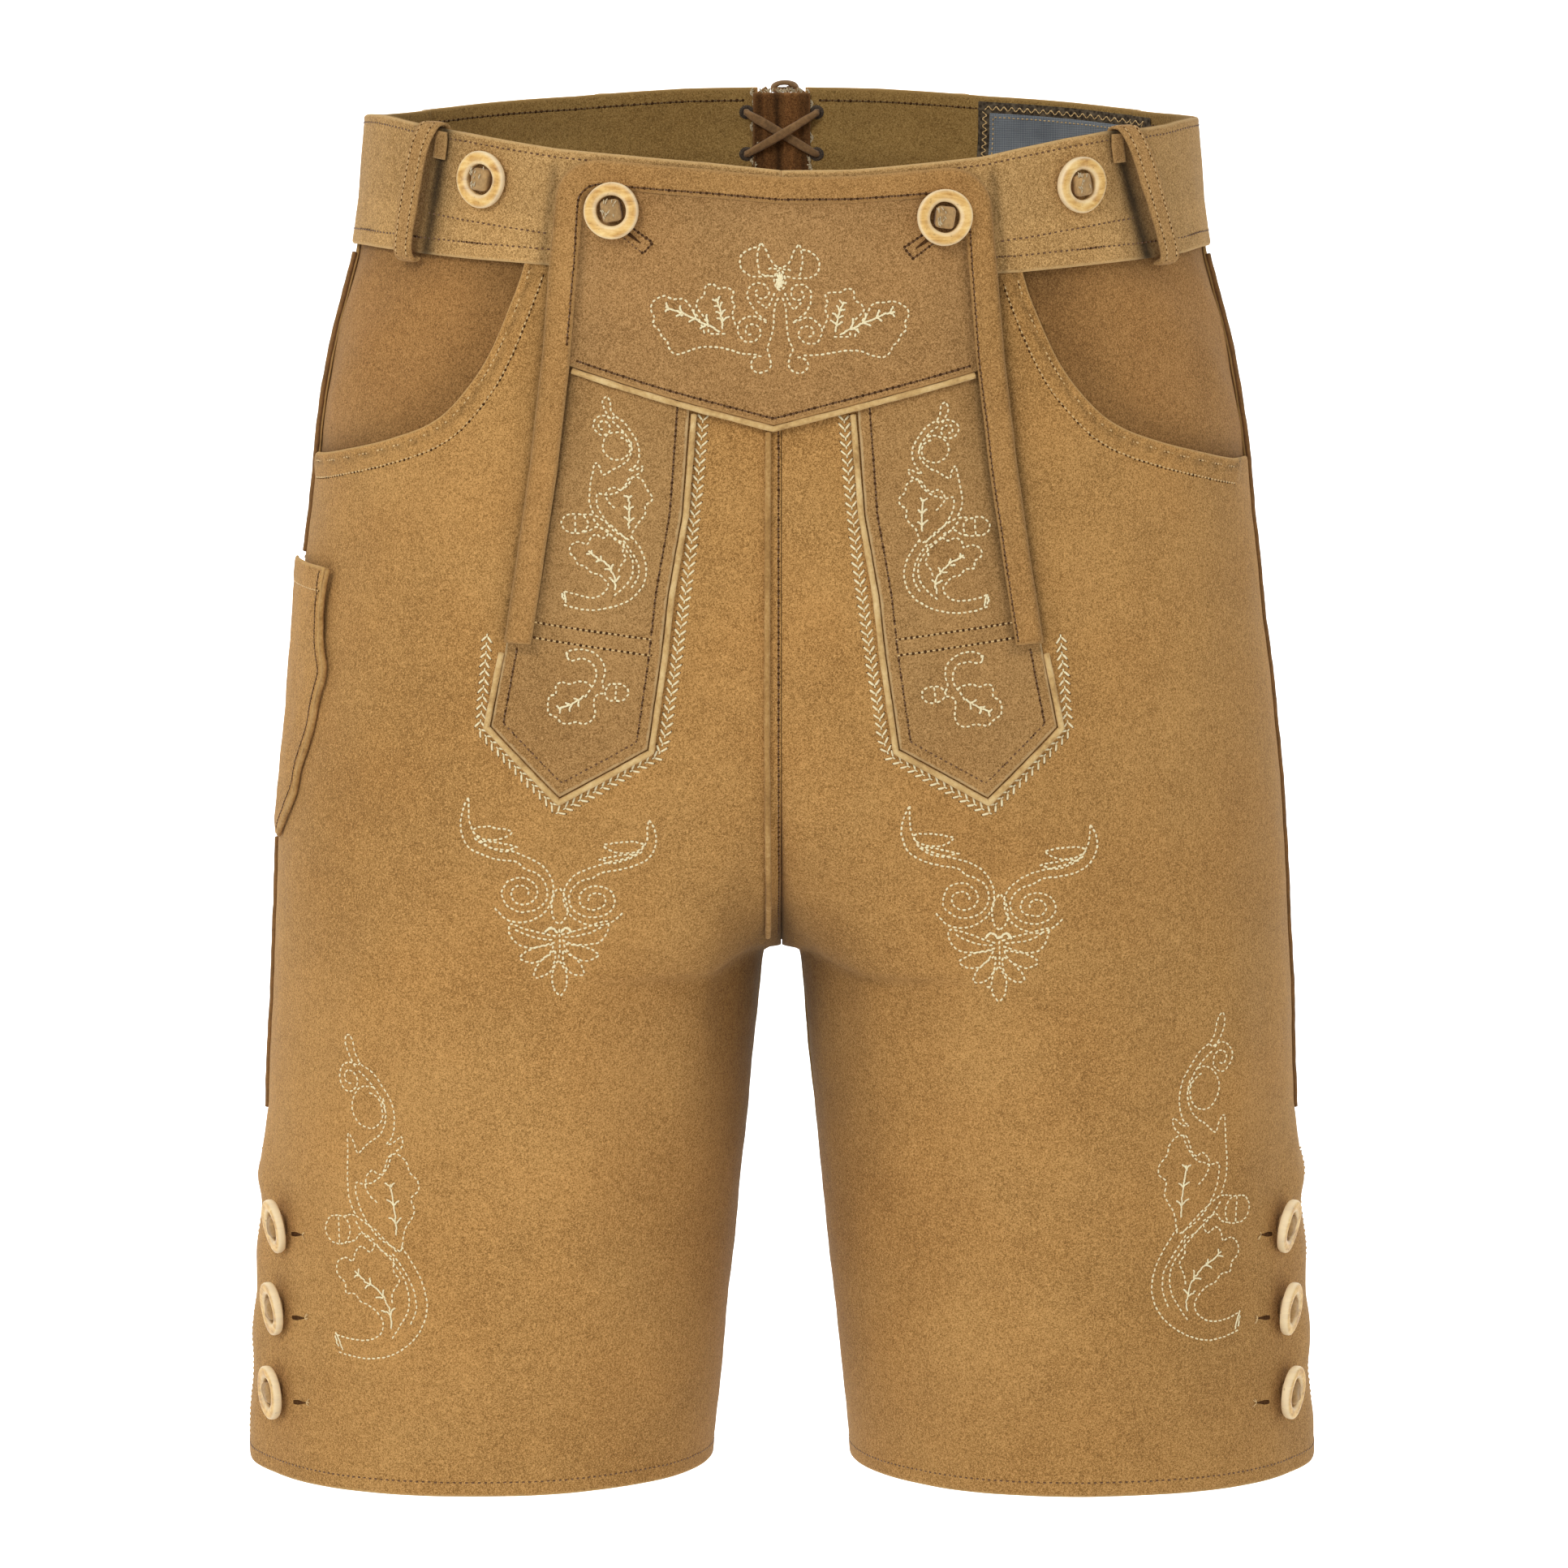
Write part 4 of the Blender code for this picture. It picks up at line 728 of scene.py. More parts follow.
def tube(name, pts, normals, wide, high, mats, sides=10, closed=False, taper=0.0, attrs_tint=1.0, flat=1.0, mat=0):
    """A strip swept along points (mm), wide across and high along its normals, as one closed body."""
    P = np.asarray(pts, float)
    N = np.asarray(normals, float)
    n = len(P)
    Tn = np.gradient(P, axis=0)
    if closed:
        Tn = np.roll(P, -1, 0) - np.roll(P, 1, 0)
    Tn /= np.maximum(np.linalg.norm(Tn, axis=1, keepdims=True), 1e-9)
    N = N - (N * Tn).sum(1, keepdims=True) * Tn
    N /= np.maximum(np.linalg.norm(N, axis=1, keepdims=True), 1e-9)
    B = np.cross(Tn, N)
    w = np.broadcast_to(np.asarray(wide, float), (n,))
    h = np.broadcast_to(np.asarray(high, float), (n,))
    ang = 2 * math.pi * (np.arange(sides) + 0.5) / sides
    cs = np.sign(np.cos(ang)) * np.abs(np.cos(ang)) ** flat
    sn = np.sign(np.sin(ang)) * np.abs(np.sin(ang)) ** flat
    k = np.ones(n)
    if taper > 0 and not closed:
        i = np.arange(n)
        k = np.clip(np.minimum(i, n - 1 - i) / taper, 0.35, 1.0) ** 0.5
    ring = (P[:, None] + B[:, None] * (cs[None, :, None] * (w * k / 2)[:, None, None])
            + N[:, None] * (sn[None, :, None] * (h * k / 2)[:, None, None]))
    V = ring.reshape(-1, 3)
    tris = []
    m = n if closed else n - 1
    i = np.arange(m)[:, None] * sides
    i2 = ((np.arange(m) + 1) % n)[:, None] * sides
    j = np.arange(sides)[None]
    j2 = (j + 1) % sides
    a, b, c, d = i + j, i + j2, i2 + j2, i2 + j
    tris += [np.stack([a, b, c], 2).reshape(-1, 3), np.stack([a, c, d], 2).reshape(-1, 3)]
    if not closed:
        e0, e1 = len(V), len(V) + 1
        V = np.vstack([V, P[0] - Tn[0] * h[0] * 0.15, P[-1] + Tn[-1] * h[-1] * 0.15])
        js = np.arange(sides)
        tris.append(np.stack([np.full(sides, e0), (js + 1) % sides, js], 1))
        last = (n - 1) * sides
        tris.append(np.stack([np.full(sides, e1), last + js, last + (js + 1) % sides], 1))
    T = np.vstack(tris)
    # outward faces
    q = V[T]
    cen = q.mean(1)
    near = P[np.clip((T[:, 0] // sides), 0, n - 1)]
    fn = np.cross(q[:, 1] - q[:, 0], q[:, 2] - q[:, 0])
    if ((fn * (cen - near)).sum(1)).sum() < 0:
        T = T[:, ::-1]
    return V * MM, T


def tube_object(name, pts, normals, wide, high, mats, tint_and_shade=1.0, **kw):
    V, T = tube(name, pts, normals, wide, high, mats, **kw)
    return mesh_object(name, V, T, mats, None, {"edge": np.ones(len(V)), "tint_and_shade": np.full(len(V), tint_and_shade)})
# ------------------------------------------------------------------ materials
class Nodes:
    """Short way to write a material's nodes."""

    def __init__(self, name):
        self.m = bpy.data.materials.new(name)
        self.m.use_nodes = True
        self.t = self.m.node_tree
        self.p = self.t.nodes["Principled BSDF"]
        self.obj = self.t.nodes.new("ShaderNodeTexCoord").outputs["Object"]

    def link(self, a, b):
        self.t.links.new(a, b)

    def noise(self, scale, detail=3.0, rough=0.55, distort=0.0, at=None):
        n = self.t.nodes.new("ShaderNodeTexNoise")
        n.inputs["Scale"].default_value = scale
        n.inputs["Detail"].default_value = detail
        n.inputs["Roughness"].default_value = rough
        n.inputs["Distortion"].default_value = distort
        self.link(at or self.obj, n.inputs["Vector"])
        return n.outputs["Fac"]

    def voronoi(self, scale, at=None, feature='F1'):
        n = self.t.nodes.new("ShaderNodeTexVoronoi")
        n.feature = feature
        n.inputs["Scale"].default_value = scale
        self.link(at or self.obj, n.inputs["Vector"])
        return n.outputs["Distance"]

    def math(self, op, a, b=None, clamp=False):
        n = self.t.nodes.new("ShaderNodeMath")
        n.operation = op
        n.use_clamp = clamp
        for i, x in enumerate((a, b)):
            if x is None:
                continue
            if isinstance(x, (int, float)):
                n.inputs[i].default_value = x
            else:
                self.link(x, n.inputs[i])
        return n.outputs[0]

    def attr(self, name):
        n = self.t.nodes.new("ShaderNodeAttribute")
        n.attribute_name = name
        return n.outputs["Fac"]

    def span(self, x, lo, hi, to0=0.0, to1=1.0):
        n = self.t.nodes.new("ShaderNodeMapRange")
        for k, val in (("From Min", lo), ("From Max", hi), ("To Min", to0), ("To Max", to1)):
            n.inputs[k].default_value = val
        self.link(x, n.inputs["Value"])
        return n.outputs[0]

    def ramp(self, x, stops):
        n = self.t.nodes.new("ShaderNodeValToRGB")
        cr = n.color_ramp
        while len(cr.elements) < len(stops):
            cr.elements.new(0.5)
        for e, (pos, col) in zip(cr.elements, stops):
            e.position = pos
            e.color = (*col, 1.0)
        self.link(x, n.inputs["Fac"])
        return n.outputs["Color"]

    def mix(self, fac, a, b, mode='MIX'):
        n = self.t.nodes.new("ShaderNodeMix")
        n.data_type = 'RGBA'
        n.blend_type = mode
        for key, x in ((0, fac), (6, a), (7, b)):
            s = n.inputs[key]
            if isinstance(x, (int, float)):
                s.default_value = x
            elif isinstance(x, tuple):
                s.default_value = (*x, 1.0)
            else:
                self.link(x, s)
        return n.outputs[2]

    def bump(self, height, strength, distance, base=None):
        n = self.t.nodes.new("ShaderNodeBump")
        n.inputs["Strength"].default_value = strength
        n.inputs["Distance"].default_value = distance
        self.link(height, n.inputs["Height"])
        if base is not None:
            self.link(base, n.inputs["Normal"])
        return n.outputs["Normal"]

    def scaled(self, sx, sy, sz, rot=(0.0, 0.0, 0.0)):
        n = self.t.nodes.new("ShaderNodeMapping")
        n.inputs["Scale"].default_value = (sx, sy, sz)
        n.inputs["Rotation"].default_value = rot
        self.link(self.obj, n.inputs["Vector"])
        return n.outputs["Vector"]

    def finish(self, color, rough, normal=None, sheen=0.0, sheen_rough=0.5, sheen_tint=(1, 1, 1), spec=0.3, coat=0.0):
        p = self.p
        self.link(color, p.inputs["Base Color"])
        if isinstance(rough, (int, float)):
            p.inputs["Roughness"].default_value = rough
        else:
            self.link(rough, p.inputs["Roughness"])
        if normal is not None:
            self.link(normal, p.inputs["Normal"])
        p.inputs["Sheen Weight"].default_value = sheen
        p.inputs["Sheen Roughness"].default_value = sheen_rough
        p.inputs["Sheen Tint"].default_value = (*sheen_tint, 1.0)
        p.inputs["Specular IOR Level"].default_value = spec
        p.inputs["Coat Weight"].default_value = coat
        return self.m


def lin(r, g, b):
    return tuple(((c / 255.0 + 0.055) / 1.055) ** 2.4 if c > 10 else c / 255.0 / 12.92 for c in (r, g, b))


def times(c, k):
    return tuple(min(1.0, x * k) for x in c)


def suede(name, base, contrast=1.0, rim=None, grain=1.0, nap=0.10, rim_share=0.75):
    """Worn suede: broad blotches, a mid mottle, a speckle of about a millimetre, fine nap, rubbed edges."""
    n = Nodes(name)
    big = n.noise(9.0, 2.0, 0.5, 0.3)
    mid = n.noise(46.0, 3.0, 0.5, 0.2)
    small = n.noise(310.0, 2.0, 0.5)
    fine = n.noise(1100.0, 2.0, 0.6)
    hair = n.noise(2300.0, 1.0, 0.5)
    v = n.math('MULTIPLY', n.math('SUBTRACT', big, 0.5), 0.20 * contrast)
    v = n.math('ADD', v, n.math('MULTIPLY', n.math('SUBTRACT', mid, 0.5), 0.15 * contrast))
    v = n.math('ADD', v, n.math('MULTIPLY', n.math('SUBTRACT', small, 0.5), 0.20 * contrast * grain))
    v = n.math('ADD', v, n.math('MULTIPLY', n.math('SUBTRACT', fine, 0.5), 0.62 * contrast * grain))
    v = n.math('ADD', v, n.math('MULTIPLY', n.math('SUBTRACT', hair, 0.5), 0.95 * contrast * grain))
    v = n.math('ADD', v, 0.5)
    dark = tuple(c * k for c, k in zip(base, (0.62, 0.58, 0.52)))
    light = tuple(min(1.0, c * k) for c, k in zip(base, (1.33, 1.38, 1.52)))
    col = n.ramp(v, ((0.12, times(dark, 0.8)), (0.34, dark), (0.50, base), (0.66, light), (0.92, times(light, 1.2))))
    # hue wanders a little between ochre and a greyer brown
    warm = n.noise(21.0, 2.0, 0.5, 0.3)
    col = n.mix(n.span(warm, 0.35, 0.70, 0.0, 0.22), col, n.mix(0.5, col, times(base, 1.0), 'SOFT_LIGHT'))
    # small darker spots and scuffs
    spots = n.span(n.noise(150.0, 2.0, 0.5), 0.70, 0.80)
    col = n.mix(n.math('MULTIPLY', spots, 0.16), col, times(base, 0.6))
    flecks = n.span(n.noise(1250.0, 1.0, 0.5), 0.61, 0.70)
    col = n.mix(n.math('MULTIPLY', flecks, 0.50), col, tuple(min(1.0, c * k) for c, k in zip(base, (1.75, 1.85, 2.1))))
    # rubbed lighter edges
    e = n.attr("edge")
    if rim is not None:
        k = n.span(n.math('ADD', e, n.math('MULTIPLY', n.math('SUBTRACT', small, 0.5), 0.5)), 0.04, 0.36, rim_share, 0.0)
        col = n.mix(k, col, rim)
    # per-point colour multiplier: painted light and shade, and a plain darkening of a few pieces
    t = n.attr("tint_and_shade")
    grey = n.t.nodes.new("ShaderNodeCombineColor")
    for i in range(3):
        n.link(t, grey.inputs[i])
    col = n.mix(1.0, col, grey.outputs[0], 'MULTIPLY')
    h = n.math('ADD', n.math('MULTIPLY', fine, 0.40), n.math('MULTIPLY', small, 0.35))
    h = n.math('ADD', h, n.math('MULTIPLY', mid, 1.5))
    b = n.bump(h, 0.5, 0.0008)
    r = n.span(mid, 0.3, 0.7, 0.86, 0.98)
    return n.finish(col, r, b, sheen=nap, sheen_rough=0.55, sheen_tint=(1.0, 0.80, 0.55), spec=0.12)


SUEDE_C = lin(169, 127, 72)
STRIP_C = lin(158, 121, 73)
YOKE_C = lin(158, 120, 73)
M_SUEDE = suede("suede", SUEDE_C, 1.0, lin(196, 158, 100), rim_share=0.8)
M_BAND = suede("suede_band", lin(173, 136, 84), 1.0, lin(200, 165, 112))
M_LOOP = suede("suede_loop", lin(164, 126, 76), 0.85, lin(196, 158, 104), rim_share=0.35)
M_STRAP = suede("suede_strap", lin(160, 120, 69), 0.85, lin(188, 150, 98), rim_share=0.30)
M_STRIP = suede("suede_strip", STRIP_C, 0.9, lin(205, 176, 128), rim_share=0.85)
M_YOKE = suede("suede_yoke", YOKE_C, 0.95, lin(190, 150, 96))
# more orange than the body's suede, and darker as painted shade for the recessed pocket backings and vent underlaps
M_BACKING_SHADED = suede("suede_backing_shaded", lin(156, 114, 64), 1.0, lin(180, 140, 90))
M_FLESH = suede("flesh_side", lin(150, 112, 66), 1.3, lin(170, 130, 80), grain=1.2, nap=0.15)
M_FACING = suede("lining_leather", lin(142, 112, 62), 0.8, lin(156, 124, 74), nap=0.10)
M_GUSSET = suede("gusset_leather", lin(112, 74, 38), 1.1, lin(140, 98, 58), nap=0.10)


def thread_mat(name, base, dark):
    n = Nodes(name)
    a = n.noise(420.0, 2.0, 0.6)
    b = n.noise(3200.0, 2.0, 0.6, 0.0)
    ply = n.t.nodes.new("ShaderNodeTexWave")
    ply.inputs["Scale"].default_value = 900.0
    ply.inputs["Distortion"].default_value = 6.0
    n.link(n.obj, ply.inputs["Vector"])
    v = n.math('ADD', n.math('MULTIPLY', a, 0.55), n.math('MULTIPLY', b, 0.25))
    v = n.math('ADD', v, n.math('MULTIPLY', ply.outputs["Fac"], 0.25))
    col = n.ramp(v, ((0.30, dark), (0.50, base), (0.75, times(base, 1.15))))
    nb = n.bump(n.math('ADD', ply.outputs["Fac"], b), 0.5, 0.0002)
    return n.finish(col, 0.62, nb, sheen=0.25, sheen_rough=0.4, sheen_tint=(1.0, 0.95, 0.85), spec=0.3)


M_THREAD = thread_mat("thread_cream", lin(252, 236, 194), lin(226, 202, 150))
M_TAN = thread_mat("thread_tan", lin(222, 188, 130), lin(166, 128, 76))
M_DARK = thread_mat("thread_dark", lin(76, 62, 48), lin(34, 26, 18))
M_INSIDE = thread_mat("thread_inside", lin(108, 82, 46), lin(74, 54, 28))
M_FRAY = thread_mat("frayed_edge", lin(206, 188, 152), lin(158, 136, 100))
M_BROWN = thread_mat("thread_brown", lin(106, 72, 40), lin(64, 42, 22))


# painted shade: dark colour for the shade inside needle holes and buttonhole slits
def hole_shade_mat():
    n = Nodes("needle_hole_shade")
    a = n.noise(900.0, 2.0, 0.6)
    col = n.ramp(a, ((0.3, lin(54, 34, 18)), (0.7, lin(92, 62, 34))))
    return n.finish(col, 0.95, None, spec=0.05)


M_HOLE_SHADE = hole_shade_mat()


def piping_mat():
    n = Nodes("piping")
    a = n.noise(95.0, 3.0, 0.6)
    b = n.noise(620.0, 3.0, 0.7)
    v = n.math('ADD', n.math('MULTIPLY', a, 0.6), n.math('MULTIPLY', b, 0.4))
    col = n.ramp(v, ((0.28, lin(150, 112, 62)), (0.46, lin(196, 160, 102)), (0.62, lin(216, 186, 130)),
                     (0.80, lin(232, 206, 154))))
    return n.finish(col, 0.72, n.bump(v, 0.5, 0.0006), sheen=0.1, spec=0.25)


M_PIPING = piping_mat()


def welt_mat():
    n = Nodes("centre_piping")
    a = n.noise(95.0, 3.0, 0.6)
    b = n.noise(900.0, 3.0, 0.7)
    v = n.math('ADD', n.math('MULTIPLY', a, 0.5), n.math('MULTIPLY', b, 0.5))
    col = n.ramp(v, ((0.28, lin(120, 86, 44)), (0.50, lin(168, 128, 74)), (0.74, lin(206, 170, 112))))
    return n.finish(col, 0.8, n.bump(v, 0.5, 0.0006), sheen=0.08, spec=0.15)


M_CENTRE = welt_mat()


def cord_leather(name, base, contrast=1.0):
    n = Nodes(name)
    a = n.noise(120.0, 3.0, 0.6)
    b = n.noise(760.0, 3.0, 0.7)
    v = n.math('ADD', n.math('MULTIPLY', a, 0.5), n.math('MULTIPLY', b, 0.5))
    col = n.ramp(v, ((0.5 - 0.24 * contrast, times(base, 0.55)), (0.5, base), (0.5 + 0.24 * contrast, times(base, 1.5))))
    return n.finish(col, n.span(a, 0.3, 0.7, 0.7, 0.9), n.bump(v, 0.6, 0.0007), sheen=0.15, spec=0.2)


M_SEAM = cord_leather("side_seam_welt", lin(128, 92, 52))
M_THONG = cord_leather("thong", lin(168, 134, 88), 0.9)
# painted shade: a dark copy of the thong leather for the shaded corners of a button's hole
M_THONG_SHADE = cord_leather("thong_corner_shade", lin(70, 48, 28), 0.8)
M_LACE = cord_leather("lace_leather", lin(132, 100, 64), 0.8)


def wood_mat():
    """Pale turned ring with a cream rim, long grain and fine scratches."""
    n = Nodes("button_ring")
    grain = n.noise(300.0, 4.0, 0.6, 1.6, n.scaled(0.16, 0.5, 1.0, (0.2, 0.1, 0.12)))
    mottle = n.noise(120.0, 3.0, 0.6, 0.3)
    fine = n.noise(1500.0, 2.0, 0.6)
    v = n.math('ADD', n.math('MULTIPLY', grain, 0.5), n.math('MULTIPLY', mottle, 0.4))
    v = n.math('ADD', v, n.math('MULTIPLY', fine, 0.1))
    col = n.ramp(v, ((0.32, lin(146, 98, 40)), (0.43, lin(196, 146, 72)), (0.52, lin(222, 178, 101)),
                     (0.66, lin(242, 210, 143))))
    rim = n.attr("edge")
    col = n.mix(n.math('MULTIPLY', rim, 0.75), col, lin(246, 228, 190))
    t = n.attr("tint_and_shade")
    col = n.mix(n.span(t, 0.0, 1.0, 0.75, 0.0), col, lin(120, 84, 44))
    dots = n.span(n.noise(520.0, 1.0, 0.5), 0.70, 0.76)
    col = n.mix(n.math('MULTIPLY', dots, 0.4), col, lin(140, 98, 52))
    return n.finish(col, n.span(mottle, 0.3, 0.7, 0.42, 0.62), n.bump(v, 0.25, 0.0004), spec=0.45)


M_WOOD = wood_mat()


def label_mat():
    """Grey-blue woven cloth: two thread directions in millimetres of x and z."""
    n = Nodes("label_cloth")
    u = n.t.nodes.new("ShaderNodeTexWave")
    u.bands_direction = 'Z'
    u.inputs["Scale"].default_value = 520.0
    u.inputs["Distortion"].default_value = 0.6
    n.link(n.obj, u.inputs["Vector"])
    w = n.t.nodes.new("ShaderNodeTexWave")
    w.bands_direction = 'X'
    w.inputs["Scale"].default_value = 520.0
    w.inputs["Distortion"].default_value = 0.6
    n.link(n.obj, w.inputs["Vector"])
    a = n.noise(60.0, 3.0, 0.6)
    v = n.math('MULTIPLY', n.math('ADD', u.outputs["Fac"], w.outputs["Fac"]), 0.35)
    v = n.math('ADD', v, n.math('MULTIPLY', a, 0.5))
    col = n.ramp(v, ((0.25, lin(72, 76, 82)), (0.55, lin(104, 110, 116)), (0.85, lin(142, 148, 150))))
    return n.finish(col, 0.9, n.bump(v, 0.5, 0.0004), sheen=0.2, spec=0.15)


def mesh_mat():
    n = Nodes("label_mesh")
    cell = n.voronoi(620.0)
    a = n.noise(90.0, 3.0, 0.6)
    v = n.math('ADD', n.math('MULTIPLY', cell, 0.7), n.math('MULTIPLY', a, 0.4))
    col = n.ramp(v, ((0.2, lin(36, 30, 24)), (0.5, lin(70, 60, 48)), (0.8, lin(104, 92, 74))))
    return n.finish(col, 0.95, n.bump(v, 0.6, 0.0005), spec=0.1)


M_LABEL = label_mat()
M_MESH = mesh_mat()

# ------------------------------------------------------------------ the pieces of leather, cut as in the CAD part
FLAP_SHIFT, TUCK, SEAM_GAP, SEAM_AT, LAP_AT = -3.0, -10.0, 0.3, 9.0, -8.0
VENT_TOP, RAMP_TOP, RAMP_IN, RAMP_OUT = -390.0, -372.0, 44.0, 23.0
GAP_HALF, SLOT_END, EYELET = 10.0, -92.0, 1.6
BAND_LIFT, BAND_WALL, FACING_WALL, YOKE_LIFT, STRIP_LIFT, SLIT = 2.1, 1.8, 1.2, 3.9, 1.7, 0.5
POCKET_LINE = ((93.5, -8.0), (95.4, -21.6), (101.1, -38.9), (110.5, -60.6), (122.7, -77.4),
               (133.5, -86.7), (149.9, -94.6), (167.8, -101.7), (180.5, -107.0))
POCKET_BACKING = ((84.0, -40.0), (93.0, -68.0), (108.0, -91.0), (128.0, -105.0), (150.0, -113.0), (172.0, -119.0))
SLIT_LINE = ((80.5, TUCK), (82.2, -56.7), (87.4, -100.4), (94.1, -146.0), (96.9, -168.0))
FLAP_OUTER = ((84.4, -19.5), (87.4, -56.7), (92.6, -100.4), (99.3, -146.0), (103.6, -172.7))
FLAP_INNER = ((74.0, -19.5), (77.0, -56.7), (82.2, -100.4), (88.9, -146.0), (93.2, -173.2))
FLAP_TOP, FLAP_HALF, FLAP_ROUND, BINDING = 19.5, 82.3, 18.0, 10.4
YOKE_V = ((0.0, -81.6), (84.0, -58.3))
STRIP_EDGE = ((32.2, -73.2), (35.4, -119.4), (40.9, -152.5), (43.5, -176.5), (48.9, -213.5),
              (82.8, -232.5), (109.0, -205.6), (103.0, -173.4))
STRIP_UNDER_STRAP = ((98.5, -146.0), (90.5, -100.4), (84.0, -54.0))
KNIFE_EDGE = ((53.5, -150.0), (52.0, -162.0), (53.5, -174.0), (56.5, -183.0), (60.0, -191.5), (56.5, -201.0),
              (53.5, -215.0), (47.0, -229.0), (42.5, -243.0), (24.0, -260.5))
KNIFE_BACK = 11.3
INSEAM_TRIM = 0.0011


def ease(t):
    t = np.clip(t, 0.0, 1.0)
    return t * t * (3.0 - 2.0 * t)


def band_low(v):
    v = np.asarray(v, float)
    v = np.where(v < 0, -v, v)
    v = np.where(v > 2.0, 4.0 - v, v)
    return np.where(v <= 1.0, -21.5 - 8.0 * ease((v - 0.3) / 0.7), -29.5 - 2.5 * ease(v - 1.0))


def facing_lift(v, lv):
    return -1.9 * np.clip((5.0 - np.asarray(lv, float)) / 11.0, 0.0, 1.0)


def lap_lift(v, lv):
    v, lv = np.asarray(v, float), np.asarray(lv, float)
    down = np.clip((RAMP_TOP - lv) / (RAMP_TOP - VENT_TOP), 0.0, 1.0)
    lo, hi = v_at_arc(np.full(v.shape, RAMP_IN), lv), v_at_arc(np.full(v.shape, RAMP_OUT), lv)
    up = 1.9 * down * np.clip((v - lo) / (hi - lo), 0.0, 1.0)
    return np.where((v < 0.5), 0.0, up)


def yoke_low(x):
    return YOKE_V[0][1] + (YOKE_V[1][1] - YOKE_V[0][1]) * abs(x) / YOKE_V[1][0]


def strap_lift(v, lv):
    return 5.7 - 2.2 * np.clip((-58.0 - np.asarray(lv, float)) / 110.0, 0.0, 1.0)


def knife_lift(v, lv):
    return 2.0 + 1.9 * ease((np.asarray(lv, float) + 215.0) / 65.0)


def seam_line(arc, top, low, step=4.0):
    n = max(2, int(math.ceil((top - low) / step)))
    lvs = np.linspace(top, low, n + 1)
    return list(zip(v_at_arc(np.full(n + 1, float(arc)), lvs).tolist(), lvs.tolist()))


def level_line(v0, v1, level, step=4.0):
    n = max(2, int(math.ceil(abs(v1 - v0) * V_UNIT / step)))
    vs = np.linspace(float(v0), float(v1), n + 1)
    lv = level(vs) if callable(level) else np.full(n + 1, float(level))
    return list(zip(vs.tolist(), lv.tolist()))


def disc(cx, level, radius, back, sides=20):
    a = 2 * math.pi * np.arange(sides) / sides
    lv = level + radius * np.sin(a)
    return list(zip(v_at_x(cx + radius * np.cos(a), lv, back).tolist(), lv.tolist()))


def one(a):
    return float(np.asarray(a).ravel()[0])


SHELLS = []


def shade_of(ob, fn):
    """Sets a piece's colour multiplier, mostly painted light and shade, from a function of its outer points (mm)."""
    me = ob.data
    co = np.zeros(len(me.vertices) * 3, np.float32)
    me.vertices.foreach_get("co", co)
    co = co.reshape(-1, 3) / MM
    out, rise = waist_shift(co[:, 0], co[:, 1], co[:, 2])
    out, rise = waist_shift(co[:, 0], co[:, 1], co[:, 2] - rise)
    co = co - np.stack([out, np.zeros(len(co)), rise], axis=1)
    me.attributes["tint_and_shade"].data.foreach_set("value", np.asarray(fn(co), np.float32))


FORMS = {}


def height(node, v, lv):
    """Height of a finished piece's outer face above the worn surface."""
    v, lv = np.asarray(v, float), np.asarray(lv, float)
    out, side, lift, extra, soft_r, soft_w, seams = FORMS[node]
    d = edge_distance(np.stack([v * V_UNIT, lv], 1), out, seams)
    up = np.asarray(lift(v, lv) if callable(lift) else np.full(v.shape, float(lift)), float)
    e = np.clip(d / soft_w, 0.0, 1.0)
    up = up - soft_r * (1.0 - np.sqrt(np.maximum(0.0, 1.0 - (1.0 - e) ** 2)))
    if extra is not None:
        up = up + extra(v, lv, d, side)
    return up


def leather_piece(name, node, outline, mats, slot_name, flat=None, held="stretched", **kw):
    ob = cut(name, outline, mats=mats, **kw)
    FORMS[node] = (np.array([(a * V_UNIT, b) for a, b in outline]), kw.get("side", 1), kw.get("lift", 0.0),
                   kw.get("extra"), kw.get("soft", 0.35), kw.get("soft_w", 1.1), kw.get("seams", ()))
    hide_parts(node)
    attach(ob, "root")
    SHELLS.append((ob, node, flat, held))
    return ob


